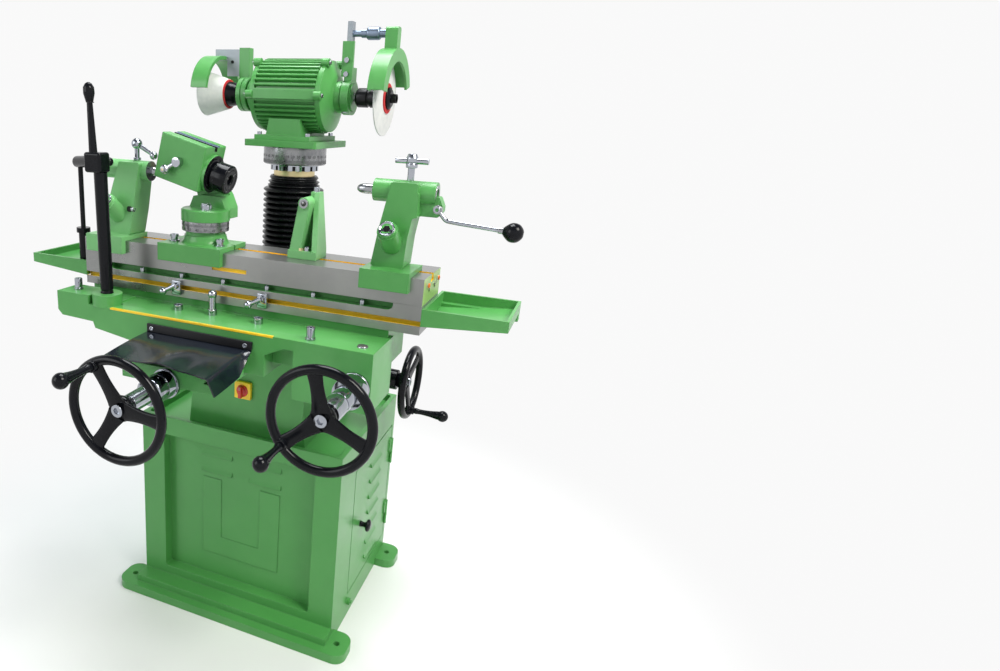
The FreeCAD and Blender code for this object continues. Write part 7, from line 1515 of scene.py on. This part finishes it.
@dataclass
class Wheelhead:
    """Swivelling head: graduated ring, plate, finned motor, wheels and guards."""

    axis_y: float = 100.0
    axis_z: float = 1359.0
    scale: float = 82.0
    foot_z: float = 1262.8
    foot_bolts: tuple[float, float] = (66.0, 79.0)
    tie_circle: float = 89.0
    bell_face: float = 101.5
    rod_z: float = 1505.0
    spindle_end: float = 262.0
    nose: Profile = ((0.0, 16.0), (6.0, 22.8), (30.0, 22.8), (31.0, 19.0), (36.0, 19.0), (37.0, 22.8),
                     (70.0, 22.8))
    flange: Profile = ((0.0, 26.0), (4.0, 26.0), (9.0, 18.0))
    cup_hub: Profile = ((0.0, 32.0), (9.0, 25.0), (18.0, 28.8), (34.5, 32.0))
    cup_nut: Profile = ((0.0, 20.0), (9.0, 20.0), (12.0, 17.0))
    disc: Profile = ((0.0, 10.0), (0.0, 88.0), (3.2, 88.0), (8.0, 38.0), (8.0, 10.0))
    cup: Profile = ((0.0, 10.0), (0.0, 38.0), (67.0, 57.0), (67.0, 49.0), (8.0, 30.0), (8.0, 10.0))
    rod_sleeve: Profile = ((0.0, 13.0), (4.0, 14.8), (29.0, 14.8), (32.0, 13.0))

    def right(self, x: float) -> Seat:
        """Seat on the motor's axis, local Z to the right."""
        return right_seat(x, self.axis_y, self.axis_z)

    def left(self, x: float) -> Seat:
        """Seat on the motor's axis, local Z to the left."""
        return left_seat(x, self.axis_y, self.axis_z)

    def ring(self) -> None:
        """Graduated swivel ring."""
        low, high = box("scale_ring")
        tall, r, hole = high[Z] - low[Z], self.scale, 20.1
        body = sleeve([(0.0, hole), (0.0, r - 3.0), (3.0, r), (tall, r), (tall, hole)], 0.8, 128)
        tens = [abs(k) for k in [*range(0, 100, 10), *range(80, -90, -10)]]
        figures = numerals([tens[k % len(tens)] for k in range(36)], r, 18.5, 6.8)
        parts = on(Seat((0.0, self.axis_y, low[Z])), (body, DIAL_STEEL),
                   (marks(r, 3.5, 9.0, 13.5, 180, 5, 0.9), INK), (figures, INK))
        placed("scale ring", "wheelhead", parts, ["scale_ring"])

    def motor(self) -> None:
        """Motor with chrome bolts at its foot and tie bolts in its bells, on its plate."""
        dressed("motor_plate", "wheelhead")
        x, y = self.foot_bolts
        heads = [(socket_screw(6.2, 7.5).moved(side * x, self.axis_y + end * y, self.foot_z), CHROME)
                 for side in (-1, 1) for end in (-1, 1)]
        for seat in (self.left(-self.bell_face), self.right(self.bell_face)):
            heads += [(socket_screw(5.0, 4.0, 0.6, 24).seated(spot), STEEL)
                      for spot in seat.around(self.tie_circle, (0, 60, 120, 180))]
        dressed("motor_body", "wheelhead", extra=heads)
        bolts = both(between(Y, self.axis_y - 26.0, self.axis_y - 17.2), between(X, 129.0, 143.0))
        dressed("guard_bracket", "wheelhead", zones=[(bolts, CHROME)])

    def spindle(self) -> None:
        """Spindle with both wheels' flanges, red card washers and nuts."""
        inner = box("spindle")[0][X]
        spots = ((self.right(inner), bar(self.spindle_end - inner, 10.0, 1.0), STEEL),
                 (self.right(-60.0), bar(120.0, 52.0, 1.0), STEEL),
                 (self.right(160.0), solid(self.nose, 1.0), BLACK_OXIDE),
                 (self.right(238.0), bar(3.0, 35.0, 0.3, 64), BLOTTER),
                 (self.right(241.0), solid(self.flange, 0.8), BLACK_GLOSS),
                 (self.right(250.0), hex_nut(12.0, 12.0), BLACK_OXIDE),
                 (self.left(-161.0), solid(self.cup_hub, 1.2), BLACK_GLOSS),
                 (self.left(-196.0), bar(3.0, 36.5, 0.3, 64), BLOTTER),
                 (self.left(-207.0), solid(self.cup_nut, 0.8, 48), BLACK_OXIDE))
        parts = [(shell.seated(seat), finish) for seat, shell, finish in spots]
        placed("spindle assembly", "grinding_spindle", parts, ["spindle"])

    def wheels(self) -> None:
        """Flat disc wheel and flaring cup wheel."""
        disc, cup = sleeve(self.disc, 0.6, 128), sleeve(self.cup, 1.2, 112)
        for name, seat, wheel in (("disc", self.right(230.0), disc), ("cup", self.left(-199.0), cup)):
            parts = on(seat, (wheel, ABRASIVE))
            placed(f"{name} wheel", "grinding_spindle", parts, [f"{name}_wheel"])

    def guards(self) -> None:
        """Left guard, slotted bar and right guard."""
        plate = both(between(Y, 111.5, 117.8), between(X, -248.5, -176.5), between(Z, 1400.0, 1470.5))
        screw = on(front_seat(-196.0, 112.0, 1440.0), (socket_screw(4.0, 2.5, 0.4, 24), BLACK_OXIDE))
        dressed("left_guard", "cup_guard", zones=[(plate, GUARD_GREY)], extra=screw)
        rod = both(between(X, 142.3, 242.0), between(Z, self.rod_z - 11.0, self.rod_z + 11.0))
        extra = on(right_seat(177.5, self.axis_y, self.rod_z), (solid(self.rod_sleeve, 1.2, 56), BLUE_STEEL))
        dressed("guard_bar", "guard_slide", GUARD_GREY, [(rod, BLUE_STEEL)], extra)
        dressed("right_guard", "disc_guard")

    def build(self) -> None:
        """Makes the wheelhead."""
        log.info("wheelhead")
        self.ring()
        self.motor()
        self.spindle()
        self.wheels()
        self.guards()


# Studio

@dataclass(frozen=True)
class Lamp:
    """Square area light aimed at a point, in metres and watts."""

    name: str
    where: Vec
    aim: Vec
    size: float
    power: float
    tint: Colour


def posed(name: str, data: bpy.types.ID, axes: Sequence[Sequence[float]], origin: Vec) -> bpy.types.Object:
    """A linked object whose local axes and origin are given in the machine's frame."""
    item = bpy.data.objects.new(name, data)
    columns = np.array([*axes, origin], float).T
    item.matrix_world = Matrix(np.vstack((columns, (0.0, 0.0, 0.0, 1.0))).tolist())
    bpy.context.scene.collection.objects.link(item)
    return item


@dataclass
class Studio:
    """Camera of the photograph, soft lights, a pale floor and a white backdrop."""

    eye: Vec = (0.76032, -1.62954, 1.320)
    right: Vec = (0.90660779, 0.42046106, 0.03570434)
    up: Vec = (-0.15932142, 0.26272312, 0.95162663)
    back: Vec = (0.39074159, -0.86844059, 0.30517528)
    lens: float = 25.149
    shift: float = 0.218
    white: Colour = (0.95, 0.95, 0.95)
    overhead: Colour = (0.16, 0.17, 0.19)
    ambient_tint: Colour = (0.93, 0.97, 1.0)
    ambient: float = 0.28
    floor_half: float = 9.0
    lamps: tuple[Lamp, ...] = (
        Lamp("key", (2.6, -1.0, 3.6), (0.0, 0.0, 0.9), 1.6, 142.0, (1.0, 0.98, 0.92)),
        Lamp("fill", (-2.4, -3.0, 2.4), (0.0, 0.0, 0.8), 2.2, 48.0, (0.95, 0.98, 1.0)),
        Lamp("top", (-0.2, 0.5, 4.0), (0.0, 0.0, 0.9), 1.8, 118.0, (0.96, 0.99, 1.0)))

    def camera(self) -> None:
        """Camera with the photograph's view."""
        data = bpy.data.cameras.new("view")
        data.sensor_width, data.lens, data.shift_x = 36.0, self.lens, self.shift
        data.clip_start, data.clip_end = 0.05, 50.0
        bpy.context.scene.camera = posed("view", data, (self.right, self.up, self.back), self.eye)

    def light(self, lamp: Lamp) -> None:
        """Adds a lamp, whose light leaves along its local -Z."""
        data = bpy.data.lights.new(lamp.name, "AREA")
        data.size, data.energy, data.color = lamp.size, lamp.power, lamp.tint
        seat = aimed_seat(lamp.where, lamp.aim, (0.0, 0.0, 1.0))
        posed(lamp.name, data, (-np.array(seat.x), seat.y, -np.array(seat.z)), lamp.where)

    def seen(self, tree: bpy.types.NodeTree) -> bpy.types.NodeSocket:
        """One for rays that look at the backdrop: camera rays, mirror rays and rays through glass."""
        rays = linked(tree, "LightPath", {}).outputs
        seen = rays["Is Camera Ray"]
        for kind in ("Is Glossy Ray", "Is Transmission Ray"):
            seen = linked(tree, "Math", {0: seen, 1: rays[kind]}, operation="MAXIMUM").outputs[0]
        return seen

    def floor(self) -> None:
        """Pale floor that keeps the machine's shadow and runs into the backdrop's white further out."""
        half = self.floor_half
        mesh = bpy.data.meshes.new("floor")
        corners = [(-half, -half, 0.0), (half, -half, 0.0), (half, half, 0.0), (-half, half, 0.0)]
        mesh.from_pydata(corners, [], [(0, 1, 2, 3)])
        material = PALE_FLOOR.material()
        tree = material.node_tree
        surface, out = (next(node for node in tree.nodes if node.bl_idname == "ShaderNode" + kind)
                        for kind in ("BsdfPrincipled", "OutputMaterial"))
        place = linked(tree, "TexCoord", {}).outputs["Object"]
        away = linked(tree, "VectorMath", {0: place}, operation="LENGTH").outputs["Value"]
        fade = linked(tree, "MapRange", {"Value": away, "From Min": 0.55, "From Max": 1.45},
                      interpolation_type="SMOOTHSTEP")
        share = linked(tree, "Math", {0: fade.outputs[0], 1: self.seen(tree)}, operation="MULTIPLY")
        glow = linked(tree, "Emission", {"Color": (*self.white, 1.0), "Strength": 1.0})
        mix = linked(tree, "MixShader", {0: share.outputs[0], 1: surface.outputs[0], 2: glow.outputs[0]})
        tree.links.new(mix.outputs[0], out.inputs[0])
        mesh.materials.append(material)
        floor = bpy.data.objects.new("floor", mesh)
        bpy.context.scene.collection.objects.link(floor)

    def world(self) -> None:
        """White backdrop, dim high overhead, and a soft grey light for everything that doesn't look at it."""
        world = bpy.data.worlds.new("studio")
        bpy.context.scene.world = world
        world.use_nodes = True
        tree = world.node_tree
        tree.nodes.clear()
        way = linked(tree, "TexCoord", {}).outputs["Generated"]
        height = linked(tree, "SeparateXYZ", {0: way}).outputs["Z"]
        over = linked(tree, "MapRange", {"Value": height, "From Min": 0.34, "From Max": 0.80},
                      interpolation_type="SMOOTHSTEP")
        tone = linked(tree, "Mix", {"Factor": over.outputs[0]}, data_type="RGBA")
        tone.inputs[6].default_value = (*self.white, 1.0)
        tone.inputs[7].default_value = (*self.overhead, 1.0)
        light = linked(tree, "Background", {"Color": (*self.ambient_tint, 1.0), "Strength": self.ambient})
        seen = linked(tree, "Background", {"Color": tone.outputs[2], "Strength": 1.0})
        mix = linked(tree, "MixShader", {0: self.seen(tree), 1: light.outputs[0], 2: seen.outputs[0]})
        linked(tree, "OutputWorld", {0: mix.outputs[0]})

    def build(self) -> None:
        """Makes the studio."""
        self.camera()
        for lamp in self.lamps:
            self.light(lamp)
        self.floor()
        self.world()
        bpy.context.scene.view_settings.view_transform = "Standard"


def main() -> None:
    """Builds the machine and its studio."""
    logging.basicConfig(level=logging.INFO)
    for assembly in (Studio, Stand, CrossFeed, Lift, Saddle, TraverseLever, Table, Tailstocks, Workhead,
                     ToothRest, Column, Wheelhead):
        assembly().build()
    sleeve_piece = Bellows().build()
    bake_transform(sleeve_piece)


if __name__ == "__main__":
    main()
